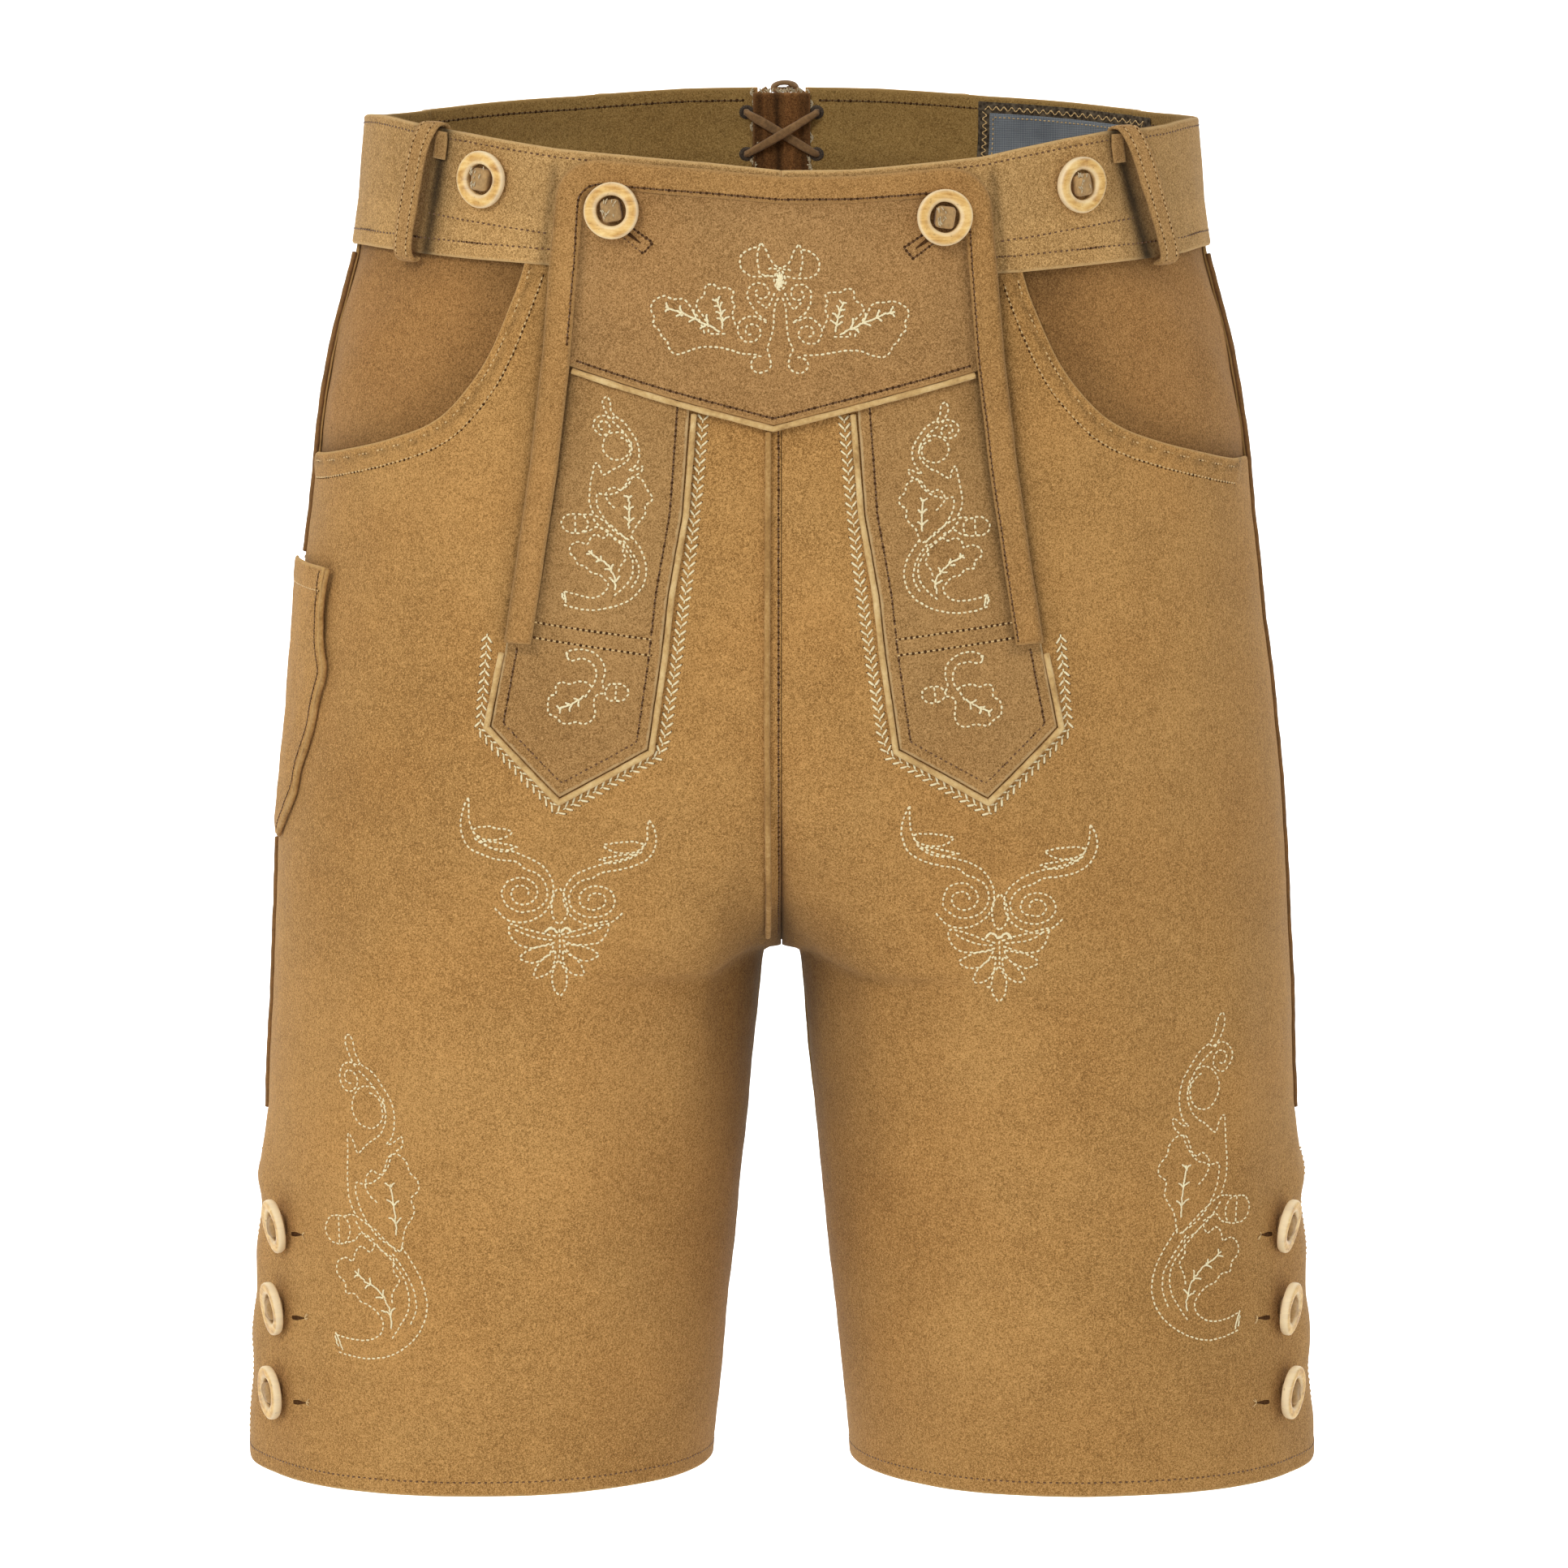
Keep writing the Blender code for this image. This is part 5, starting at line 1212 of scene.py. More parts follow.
def shade_panel(co):
    x, z = np.abs(co[:, 0]), co[:, 2]
    front = co[:, 1] < 4.0
    t = np.ones(len(co))
    # painted shade: darker near the middle line below the fork and on the inner thighs just below it
    t -= np.where(front, 0.16, 0.22) * hump((x - 4.0) / 30.0) * ease((-225.0 - z) / 70.0)
    t -= 0.09 * hump((x - 22.0) / 16.0) * hump((z + 335.0) / 50.0) * front
    # lighter on the middle of each thigh, a little darker towards the side seams
    t += 0.05 * hump((x - 95.0) / 50.0) * hump((z + 370.0) / 110.0)
    t -= 0.02 * ease((x - 145.0) / 50.0)
    # painted shade: the leg on the +x side is a little darker below the hips, and the fronts darken towards the hem
    t -= 0.075 * ease((co[:, 0] - 10.0) / 70.0) * ease((-150.0 - z) / 110.0) * front
    t -= 0.03 * ease((-440.0 - z) / 60.0) * front
    # darker along the hem's edge
    t -= 0.06 * hump((z + 520.0) / 4.0)
    # painted shadow in the fork, deeper on the -x side of the piping
    t -= np.where(co[:, 0] < 5.0, 0.34, 0.20) * hump((co[:, 0] + 2.0) / 17.0) * ease((-272.0 - z) / 34.0) * front
    # painted shadow beside the straps of the flap
    line = np.interp(-z, [19.5, 56.7, 100.4, 146.0, 172.7], [79.2, 82.2, 87.4, 94.1, 98.4])
    dx = np.abs(co[:, 0] + 3.0) - line
    along = front * ease((-z - 22.0) / 12.0) * ease((z + 178.0) / 10.0)
    t -= (0.16 * hump((dx - 6.5) / 6.0) + 0.32 * hump((dx - 5.8) / 1.5)) * along
    # painted shadow under the band's lower edge
    low = -21.5 - 8.0 * ease((x / 190.0 - 0.3) / 0.7)
    t -= 0.30 * hump((z - low + 1.0) / 2.4) * front + 0.12 * hump((z - low + 4.0) / 9.0) * front
    # painted highlight on the turned edge of the hip pocket's mouth, painted shadow in the groove behind it
    near = front & (z < -15.0) & (z > -125.0) & (x > 85.0)
    if near.any():
        d = np.full(len(co), 99.0)
        for side in (1, -1):
            m = near & (co[:, 0] * side > 0)
            line = MOUTHS[side]
            if m.any():
                d[m] = np.sqrt(((co[m][:, None, (0, 2)] - line[None]) ** 2).sum(2)).min(1)
        t += 0.06 * hump((d - 1.2) / 1.0) - 0.34 * hump((d - 3.2) / 0.9)
    return t


MOUTHS = {}
for side in (1, -1):
    line = run(fx(smooth(list(POCKET_LINE), 3.0), FLAP_SHIFT * side), 0.004)
    line = np.array(line)
    P, N = place(line[:, 0], line[:, 1], 0.5, side)
    out, rise = waist_shift(P[:, 0], P[:, 1], line[:, 1])
    MOUTHS[side] = np.stack([P[:, 0] - out, P[:, 2] - rise], axis=1)


# the two fronts
for name, side in names("front"):
    sh = FLAP_SHIFT * side
    slit = run(list(SLIT_LINE), 6.0)
    edge = fx(run([(0.15 - sh, yoke_low(0.0) + 9.0), (SLIT_LINE[0][0] - 1.5, yoke_low(79.0) + 9.0)], 8.0), sh)
    edge[0] = (0.0, edge[0][1])
    low_side = [p for p in slit if p[1] < yoke_low(79.0) + 8.5]
    edge += fx([(x - SLIT, lv) for x, lv in low_side], sh)
    edge += fx([(x + SLIT, lv) for x, lv in reversed(slit)], sh)
    mouth = fx(smooth(list(POCKET_LINE), 3.0), sh)
    mouth[0] = (mouth[0][0], TUCK)
    mouth = [mouth[0]] + [p for p in mouth[1:] if p[1] < TUCK - 0.5]
    edge += mouth
    edge += seam_line(SEAM_AT + SEAM_GAP / 2, POCKET_LINE[-1][1] - 2.5, VENT_TOP)
    edge += seam_line(LAP_AT, VENT_TOP - 6.0, HEM)
    edge += level_line(edge[-1][0], INSEAM_TRIM, HEM)[1:]
    edge += [(INSEAM_TRIM, HEM + (CROTCH - 0.3 - HEM) * k / 60.0) for k in range(1, 61)]
    edge += [(0.0, CROTCH + 0.3)]
    mline = np.array([(a * V_UNIT, b) for a, b in mouth])
    vent = np.array([(a * V_UNIT, b) for a, b in seam_line(LAP_AT, VENT_TOP - 2.0, HEM)])

    def extra(v, lv, d, s, mline=mline, vent=vent):
        P = np.stack([v * V_UNIT, lv], 1)
        m = seg_distance(P, mline)
        # the pocket mouth is turned under and stands a little proud, lower between its two rows
        up = 0.95 * (1.0 - ease((m - 9.0) / 3.4)) + 0.45 * hump((m - 1.4) / 1.3) - 0.45 * hump((m - 3.4) / 1.0) \
            - 0.40 * hump((m - 10.0) / 1.1)
        w = seg_distance(P, vent)
        up = up + 0.25 * (1.0 - ease((w - 2.0) / 6.0))
        # the hem is turned under to its row of stitches
        h = lv - HEM
        up = up + 0.30 * (1.0 - ease((h - 5.2) / 2.0)) - 0.25 * hump((h - 6.1) / 1.0)
        return up
    fork = [(a / V_UNIT, l) for l in (-304.0, -306.0, -307.6, -308.6, -309.2, -309.7, -310.2, -311.0, -312.4, -314.5)
            for a in np.arange(1.2, 34.0, 2.0)]
    centre = [(0.0, -60.0), (0.0, CROTCH), (INSEAM_TRIM, CROTCH - 1.0), (INSEAM_TRIM, HEM)]
    ob = leather_piece(name + "_leather", name, edge, [M_SUEDE, M_FLESH], "suede", side=side, lift=lap_lift,
                       thick=1.6, extra=extra, soft=0.55, soft_w=1.4, grid=3.0, fine=[fork], seams=[centre])
    shade_of(ob, shade_panel)

# the two backs
for name, side in names("back"):
    edge = level_line(one(v_at_arc(SEAM_AT - SEAM_GAP / 2, TUCK)), one(v_at_x(GAP_HALF + 0.5, TUCK, True)), TUCK)
    edge += [(one(v_at_x(GAP_HALF, -32.0, True)), -32.0)]
    edge += [(one(v_at_x(GAP_HALF * (SLOT_END - lv) / (SLOT_END + 32.0), lv, True)), lv) for lv in (-52.0, -72.0)]
    edge += [(2.0, SLOT_END)] + [(2.0, SLOT_END + (CROTCH + 0.3 - SLOT_END) * k / 50.0) for k in range(1, 51)]
    edge += [(2.0 - INSEAM_TRIM, CROTCH - 0.3 + (HEM - CROTCH + 0.3) * k / 50.0) for k in range(0, 51)]
    edge += level_line(2.0 - INSEAM_TRIM, one(v_at_arc(SEAM_AT - SEAM_GAP / 2, HEM)), HEM)[1:]
    edge += list(reversed(seam_line(SEAM_AT - SEAM_GAP / 2, TUCK, HEM)))[1:-1]
    eyes = [disc(15.5, -44.0, EYELET, True), disc(12.5, -62.0, EYELET, True)]

    def extra(v, lv, d, s):
        h = lv - HEM
        return np.where(v > 1.0, 0.30 * (1.0 - ease((h - 5.2) / 2.0)) - 0.25 * hump((h - 6.1) / 1.0), 0.0)
    fork = [(2.0 - a / V_UNIT, l) for l in (-304.0, -306.0, -307.6, -308.6, -309.2, -309.7, -310.2, -311.0, -312.4, -314.5)
            for a in np.arange(1.2, 34.0, 2.0)]
    centre = [(2.0 - INSEAM_TRIM, CROTCH - 1.0), (2.0 - INSEAM_TRIM, HEM)]
    ob = leather_piece(name + "_leather", name, edge, [M_SUEDE, M_FLESH], "suede", side=side, lift=0.0,
                       thick=1.6, holes=eyes, extra=extra, soft=0.5, soft_w=1.3, grid=3.4, fine=[fork], seams=[centre])
    shade_of(ob, shade_panel)

# waistband, facing
for name, side in names("waistband"):
    end = one(v_at_x(GAP_HALF, 0.0, True))
    edge = level_line(0.0, end, BAND_TOP) + list(reversed(level_line(0.0, end, band_low)))
    eyes = [disc(14.4, 12.0, EYELET, True), disc(14.4, -6.0, EYELET, True)]

    def extra(v, lv, d, s):
        # the band is quilted softly between its rows of stitches
        top = BAND_TOP - lv
        low = lv - band_low(v)
        q = 0.30 * hump((lv - 5.0) / 12.0) * (0.7 + 0.3 * np.sin(v * 37.0 + s))
        return q - 0.22 * hump((top - 3.0) / 1.0) - 0.22 * hump((low - 5.9) / 1.0) - 0.18 * hump((lv + 10.0) / 1.0) \
            + 0.12 * np.sin(v * 61.0 + lv * 0.14) * np.sin(v * 23.0 - lv * 0.09)
    ob = leather_piece(name + "_leather", name, edge, [M_BAND, M_FLESH], "suede", side=side, lift=BAND_LIFT,
                       thick=BAND_WALL, holes=eyes, extra=extra, soft=0.5, soft_w=1.3, grid=2.6)

    def band_shade(co):
        x, z = np.abs(co[:, 0]), co[:, 2]
        front = co[:, 1] < 8.0
        top = np.where(co[:, 0] > 0, 132.5, 134.5)
        mid = top + (np.where(co[:, 0] > 0, 147.0, 143.0) - top) * (22.0 - z) / 50.5
        # painted shadow of each front belt loop on the band, mostly on its side towards the middle
        t = 1.0 - (0.72 * hump((x - mid + 5.2) / 3.0) + 0.24 * hump((x - mid + 8.0) / 6.0) + 0.22 * hump((x - mid - 7.0) / 1.5)) * front
        # painted shade: the band darkens towards its +x end
        t -= 0.13 * ease((co[:, 0] - 130.0) / 20.0) * front
        # lighter below the lower row of stitches
        t += 0.07 * ease((-z - 11.0) / 3.0) * front
        # painted shadow beside the flap's straps, over the band
        line = 76.0 + 6.2 * np.clip((19.5 - z) / 45.0, 0, 1)
        dx = np.abs(co[:, 0] - FLAP_SHIFT) - line
        t -= (0.40 * hump((dx - 6.2) / 1.6) + 0.08 * hump((dx - 6.4) / 5.0)) * front * ease((12.0 - z) / 8.0)
        return t
    shade_of(ob, band_shade)
for name, side in names("waistband_facing"):
    end = one(v_at_x(GAP_HALF + 2.0, 0.0, True))
    edge = level_line(0.0, end, BAND_TOP) + list(reversed(level_line(0.0, end, lambda v: band_low(v) + 8.0)))
    eyes = [disc(14.4, 12.0, EYELET, True), disc(14.4, -6.0, EYELET, True)]
    ob = leather_piece(name + "_leather", name, edge, [M_FACING], "lining_leather", side=side, lift=facing_lift,
                       thick=FACING_WALL, holes=eyes, soft=0.3, grid=3.6)

gusset = [(-(GAP_HALF + 1.6), 20.0), (-(GAP_HALF + 1.6), -30.0), (-(GAP_HALF + 3.0), -36.0), (-4.0, -96.0),
          (4.0, -96.0), (GAP_HALF + 3.0, -36.0), (GAP_HALF + 1.6, -30.0), (GAP_HALF + 1.6, 20.0)]
edge = []
for x, lv in run(gusset + [gusset[0]], 3.0)[:-1]:
    v = one(v_at_x(abs(x), lv, True))
    edge.append((v if x < 0 else 4.0 - v, lv))


def gusset_pleats(v, lv, d, s):
    """Gathered by the lace: uneven pleats that run out downwards."""
    x = (v - 2.0) * V_UNIT
    k = ease((lv + 95.0) / 80.0)
    return k * (0.55 * np.sin(x * 1.15 + 0.7 + lv * 0.03) + 0.35 * np.sin(x * 2.3 + lv * 0.05 + 2.0)
                + 0.2 * np.sin(x * 0.6 - lv * 0.06)) * np.clip(d / 3.0, 0, 1)


GUSSET_OB = leather_piece("back_gusset_leather", "back_gusset", edge, [M_GUSSET], "gusset_leather", side=1, lift=-1.9,
                          thick=1.2, extra=gusset_pleats, grid=1.4)
# painted shade on the gusset in the slit: dark along its middle fold and under the band's ends, lighter beside the
# fold, with some uneven tone
shade_of(GUSSET_OB, lambda co: 1.0 - 0.62 * hump((co[:, 0] + 1.2 + 0.03 * co[:, 2]) / 2.0) + 0.22 * hump((co[:, 0] - 2.6) / 2.2)
         - 0.45 * hump((np.abs(co[:, 0]) - 9.6) / 2.4) + 0.10 * np.sin(co[:, 0] * 1.9 + co[:, 2] * 0.11))

# hip pockets' backing
for name, side in names("pocket_backing"):
    sh = FLAP_SHIFT * side
    v0, v1 = one(v_at_x(84.0 + sh, -18.0)), one(v_at_arc(3.0, -20.0))
    edge = level_line(v0, v1, lambda v: band_low(v) + 7.4)
    edge += seam_line(3.0, -38.0, -124.0)
    edge += list(reversed(fx(smooth(list(POCKET_BACKING), 4.0), sh)))
    mline = np.array([(a * V_UNIT, b) for a, b in fx(smooth(list(POCKET_LINE), 3.0), sh)])

    def extra(v, lv, d, s, mline=mline):
        P = np.stack([v * V_UNIT, lv], 1)
        m = seg_distance(P, mline)
        above = np.clip(1.0 - hump(m / 20.0), 0, 1)
        return 0.9 * above * ease(d / 12.0) * (0.55 + 0.45 * np.sin(lv * 0.16 + v * 31.0))
    ob = leather_piece(name + "_leather", name, edge, [M_BACKING_SHADED, M_FLESH], "suede", side=side, lift=-1.9, thick=1.6,
                       extra=extra, soft=0.3, grid=2.8)

    def shade(co, side=side):
        # painted shade: darkest along the mouth's line and just under the band
        x, z = np.abs(co[:, 0]), co[:, 2]
        sx = co[:, 0] * side - FLAP_SHIFT * side
        line_x = np.interp(-z, [8.0, 21.6, 38.9, 60.6, 77.4, 86.7, 94.6, 101.7, 107.0],
                           [93.5, 95.4, 101.1, 110.5, 122.7, 133.5, 149.9, 167.8, 180.5])
        m = (sx - line_x)
        return 1.0 - 0.28 * hump(m / 16.0) - 0.15 * hump((z + 34.0) / 9.0)
    shade_of(ob, shade)

# the flap: yoke, binding strap, strips
arc_pts = lambda r: [(FLAP_HALF - FLAP_ROUND + r * math.sin(math.radians(a)),
                      FLAP_TOP - FLAP_ROUND + r * math.cos(math.radians(a))) for a in range(0, 91, 6)]
yoke = [(0.0, FLAP_TOP - 0.8)] + arc_pts(FLAP_ROUND - 0.8) + [(83.0, -19.5), (84.0, YOKE_V[1][1])]
yoke = run(yoke, 4.0)
low = run([(84.0, YOKE_V[1][1]), (0.0, YOKE_V[0][1]), (-84.0, YOKE_V[1][1])], 4.0)


def yoke_form(v, lv, d, s):
    """The bib is softly creased near its buttons and swells between its borders."""
    x = v * V_UNIT
    up = 0.45 * hump((lv + 22.0) / 28.0) * hump(x / 150.0)
    for c, l, a, w in ((-52.0, 6.0, 0.7, 16.0), (54.0, 4.0, 0.6, 15.0), (20.0, -2.0, 0.3, 12.0), (-14.0, 3.0, 0.28, 10.0)):
        up = up - a * hump((x - c * 1.06) / w) * hump((lv - l) / 4.2)
    return up + 0.12 * np.sin(x * 0.21 + lv * 0.13) * np.sin(lv * 0.24 - x * 0.05)


YOKE_OB = leather_piece("flap_yoke_leather", "flap_yoke", fx(yoke + low[1:] + mir(reversed(yoke))[1:-1], FLAP_SHIFT),
                        [M_YOKE, M_FLESH], "suede_dark", side=1, lift=YOKE_LIFT, thick=1.4, extra=yoke_form, soft=0.45,
                        grid=2.6)
# painted shade on the bib: darker towards its top, a little lighter in its middle, painted shadow beside the straps'
# inner edges and under the binding's lower edge
shade_of(YOKE_OB, lambda co: 1.0 - 0.10 * ease((co[:, 2] + 14.0) / 16.0) + 0.05 * hump((co[:, 2] + 45.0) / 20.0)
         - (0.10 * hump((np.abs(co[:, 0] + 3.0) - 72.0) / 8.0)
            + 0.34 * hump((np.abs(co[:, 0] + 3.0) - np.interp(-co[:, 2], [19.5, 56.7, 80.0], [73.6, 76.6, 79.6])) / 2.0))
         * ease((-co[:, 2] - 2.0) / 6.0) - 0.30 * hump((co[:, 2] - 8.4) / 1.4) * (np.abs(co[:, 0] + 3.0) < 66.0))

outer = run([(0.0, FLAP_TOP)] + arc_pts(FLAP_ROUND) + list(FLAP_OUTER), 4.0)
inner = run([(0.0, FLAP_TOP - BINDING)] + arc_pts(FLAP_ROUND - BINDING) + list(FLAP_INNER), 4.0)
loop = mir(reversed(outer)) + outer[1:] + list(reversed(inner)) + mir(inner)[1:]


def strap_form(v, lv, d, s):
    """Folded strap: thick rounded sides, a faint hollow between its two rows of stitches."""
    x = v * V_UNIT
    return (-1.05 * (1.0 - np.sqrt(np.clip(1.0 - (1.0 - np.clip(d / 3.0, 0, 1)) ** 2, 0, 1))) + 0.30 * hump((d - 2.6) / 1.3) - 0.22 * hump((d - 5.2) / 1.8)
            + 0.16 * np.sin(lv * 0.21 + x * 0.13) * np.sin(lv * 0.083 - x * 0.051 + 1.0))


STRAP_OB = leather_piece("flap_binding_leather", "flap_binding", fx(loop, FLAP_SHIFT), [M_STRAP, M_FLESH], "suede",
                         side=1, lift=strap_lift, thick=1.4, extra=strap_form, soft=0.35, soft_w=1.0, grid=1.6, step=1.8,
                         flat="strap", held=0.0104)


def strap_shade(co):
    """Painted shade where it turns under at both edges, painted highlight along its crown."""
    x, z = np.abs(co[:, 0] - FLAP_SHIFT), co[:, 2]
    line = np.interp(-z, [0.0, 19.5, 56.7, 100.4, 146.0, 172.7], [77.2, 79.2, 82.2, 87.4, 94.1, 98.4])
    side_d = np.abs(x - line)
    down = ease((-z + 2.0) / 8.0)
    return 1.0 + 0.07 * hump(side_d / 2.4) * down - 0.16 * ease((side_d - 3.8) / 1.2) * down


shade_of(STRAP_OB, strap_shade)

for name, side in names("flap_strip"):
    sh = FLAP_SHIFT * side
    edge = [(32.2, yoke_low(32.2) + 8.0)] + list(STRIP_EDGE) + list(STRIP_UNDER_STRAP)
    edge[-1] = (edge[-1][0], yoke_low(84.0) + 8.0)
    ob = leather_piece(name + "_leather", name, fx(run(edge + [edge[0]], 4.0)[:-1], sh), [M_STRIP, M_FLESH], "suede_dark",
                       side=side, lift=STRIP_LIFT, thick=1.3, soft=0.4, grid=2.4, edge_fade=3.4,
                       extra=lambda v, lv, d, s: 0.10 * np.sin(v * 80.0 + lv * 0.11) * np.sin(lv * 0.19 - v * 30.0)
                       - 0.35 * hump((d - 4.4) / 1.0))

    def strip_shade(co):
        x, z = np.abs(co[:, 0] - FLAP_SHIFT), co[:, 2]
        line = np.interp(-z, [56.7, 100.4, 146.0, 172.7], [76.8, 82.2, 88.9, 93.2])
        # painted shadow beside the strap's inner edge
        t = 1.0 - (0.36 * hump((x - line + 0.6) / 1.9) + 0.10 * hump((x - line + 2.0) / 8.0)) * ease((z + 175.0) / 5.0)
        # painted shadow under the yoke's edge and under the strap's lower end
        low = YOKE_V[0][1] + (YOKE_V[1][1] - YOKE_V[0][1]) * x / YOKE_V[1][0]
        return t - 0.30 * hump((z - low + 3.6) / 2.0) - 0.38 * hump((z + 175.0) / 1.7) * ease((x - 89.0) / 3.0)
    shade_of(ob, strip_shade)

# vents, knife pocket
for name, side in names("vent_underlap"):
    edge = seam_line(58.0, VENT_TOP + 6.0, HEM + 1.5) + list(reversed(seam_line(-4.0, VENT_TOP + 6.0, HEM + 1.5)))
    leather_piece(name + "_leather", name, edge, [M_BACKING_SHADED, M_FLESH], "suede", side=side, lift=-1.9, thick=1.6,
                  soft=0.4, grid=3.4)
knife = smooth(list(KNIFE_EDGE), 2.5)
edge = ax(knife) + [(one(v_at_arc(18.0, -261.5)), -261.5)] + list(reversed(seam_line(KNIFE_BACK, -150.0, -256.0)))


def knife_form(v, lv, d, s):
    """The mouth is turned over to its row of stitches; the pocket is empty and soft."""
    t = -150.0 - lv
    up = 0.55 * (1.0 - ease((t - 8.5) / 2.5)) - 0.30 * hump((t - 9.6) / 1.1)
    return up + 0.30 * np.sin(lv * 0.10 + 0.4) * ease(d / 10.0) + 0.15 * np.sin(v * 90.0) * np.sin(lv * 0.2)


KNIFE_OB = leather_piece("knife_pocket_leather", "knife_pocket", edge, [M_SUEDE, M_FLESH], "suede", side=-1,
                         lift=knife_lift, thick=1.5, extra=knife_form, soft=0.5, grid=2.4)

# belt loops: folded straps over the band
LOOPS = (
    ("belt_loop_front_left", 1, False, 132.5, 147.0, 10.5, 4.6),
    ("belt_loop_front_right", -1, False, 134.5, 143.0, 10.5, 4.6),
    ("belt_loop_back_left", 1, True, 71.0, 71.0, 11.0, 7.5),
    ("belt_loop_back_right", -1, True, 71.0, 71.0, 11.0, 7.5),
)
STRAPS = []


def sweep_strap(name, node, route, back, side, width, thick, mat, lean=0.0):
    """A folded strap with round edges along (x, level, height of its middle) on the worn surface."""
    R = np.array(smooth([tuple(r) for r in route], 1.3, 2))
    v = v_at_x(R[:, 0], R[:, 1], back)
    P, N = place(v, R[:, 1], R[:, 2], side)
    T = np.gradient(P, axis=0)
    T /= np.maximum(np.linalg.norm(T, axis=1, keepdims=True), 1e-9)
    # across the strap: level along the band, turned with it at the folds
    across = np.cross(np.array([0.0, 0.0, 1.0]), N)
    across /= np.linalg.norm(across, axis=1, keepdims=True)
    M = np.cross(across, T)
    M /= np.maximum(np.linalg.norm(M, axis=1, keepdims=True), 1e-9)
    s = np.concatenate([[0.0], np.cumsum(np.linalg.norm(np.diff(P, axis=0), axis=1))])
    w = width * (1.0 + 0.03 * np.sin(s * 0.19 + side) + 0.02 * np.sin(s * 0.53))
    V, F = tube(name, P, M, w, thick * (1.0 + 0.05 * np.sin(s * 0.4)), None, sides=20, flat=0.62)
    sides = 20
    ang = 2 * math.pi * (np.arange(sides) + 0.5) / sides
    crown = np.abs(np.cos(ang))
    # painted shade: the loop darker on its turned sides and at its two ends, a touch lighter across its face
    tint_and_shade = np.tile(1.03 - 0.16 * np.clip((crown - 0.75) / 0.25, 0, 1), len(P))
    tint_and_shade = np.concatenate([tint_and_shade, [0.9, 0.9]])
    edge = np.tile(np.clip((1.0 - crown) * 1.6 + 0.12, 0, 1), len(P))
    edge = np.concatenate([edge, [0.5, 0.5]])
    ob = mesh_object(name, V, F, [mat], None, {"edge": edge, "tint_and_shade": tint_and_shade})
    if node:
        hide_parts(node)
    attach(ob, "root")
    STRAPS.append((ob, node, width + thick * 0.75, float(s[-1])))
    return ob, R, P, M


LOOP_ROWS = []
for name, side, back, x_top, x_low, width, stand in LOOPS:
    low_l = -27.6 if not back else -31.5
    hi = BAND_LIFT + 1.7 + stand

    def at(t, x_top=x_top, x_low=x_low, low_l=low_l):
        return x_top + (x_low - x_top) * t, BAND_TOP + (low_l - BAND_TOP) * t
    x0 = x_top - 1.2
    route = [(x0, 13.0, -2.6), (x0, 18.0, -2.8), (x0 + 0.2, 22.0, -1.6), (x0 + 0.5, 23.2, 1.0), (x0 + 0.8, 22.9, 3.6),
             (*at(0.03), BAND_LIFT + 0.6 + stand * 0.65), (*at(0.16), hi - 0.4), (*at(0.35), hi), (*at(0.60), hi - 0.3),
             (*at(0.82), hi - 1.0), (*at(0.95), hi - 2.0), (*at(1.02), BAND_LIFT + 2.2), (*at(1.03), BAND_LIFT - 0.4),
             (*at(1.0), BAND_LIFT - 1.6)] if not back else \
            [(x_top, BAND_TOP - 1.0, BAND_LIFT + 1.5), (*at(0.06), BAND_LIFT + 1.8 + stand * 0.45), (*at(0.2), hi - 0.3),
             (*at(0.5), hi), (*at(0.8), hi - 0.5), (*at(0.95), BAND_LIFT + 1.8 + stand * 0.4), (*at(1.0), BAND_LIFT + 1.5)]
    ob, R, P, M = sweep_strap(name + "_leather", name, route, back, side, width, 2.1, M_LOOP)
    LOOP_ROWS.append((name, P, M, width))


# label inside the back of the band
def under_facing(drop):
    return lambda v, lv: facing_lift(v, lv) - FACING_WALL - drop


def back_panel(x0, x1, top, low_l):
    return bx(run([(x0, top), (x1, top), (x1, low_l), (x0, low_l), (x0, top)], 3.0)[:-1])


leather_piece("label_backing_cloth", "label_backing", back_panel(81.4, 152.0, 20.0, -21.0), [M_MESH], "label_mesh",
              side=1, lift=under_facing(0.35), thick=0.6, grid=2.6, soft=0.1)
leather_piece("label_cloth", "label", back_panel(86.4, 144.0, 15.5, -18.0), [M_LABEL], "label_cloth",
              side=1, lift=under_facing(1.3), thick=0.6, grid=2.6, soft=0.1)

# ------------------------------------------------------------------ stitches: joined meshes along lines on the leather
RNG = np.random.default_rng(41)
STATIONS = np.array([0.0, 0.20, 0.80, 1.0])
RADII = np.array([0.42, 1.0, 1.0, 0.42])
RISE = np.array([-0.45, 0.24, 0.24, -0.45])


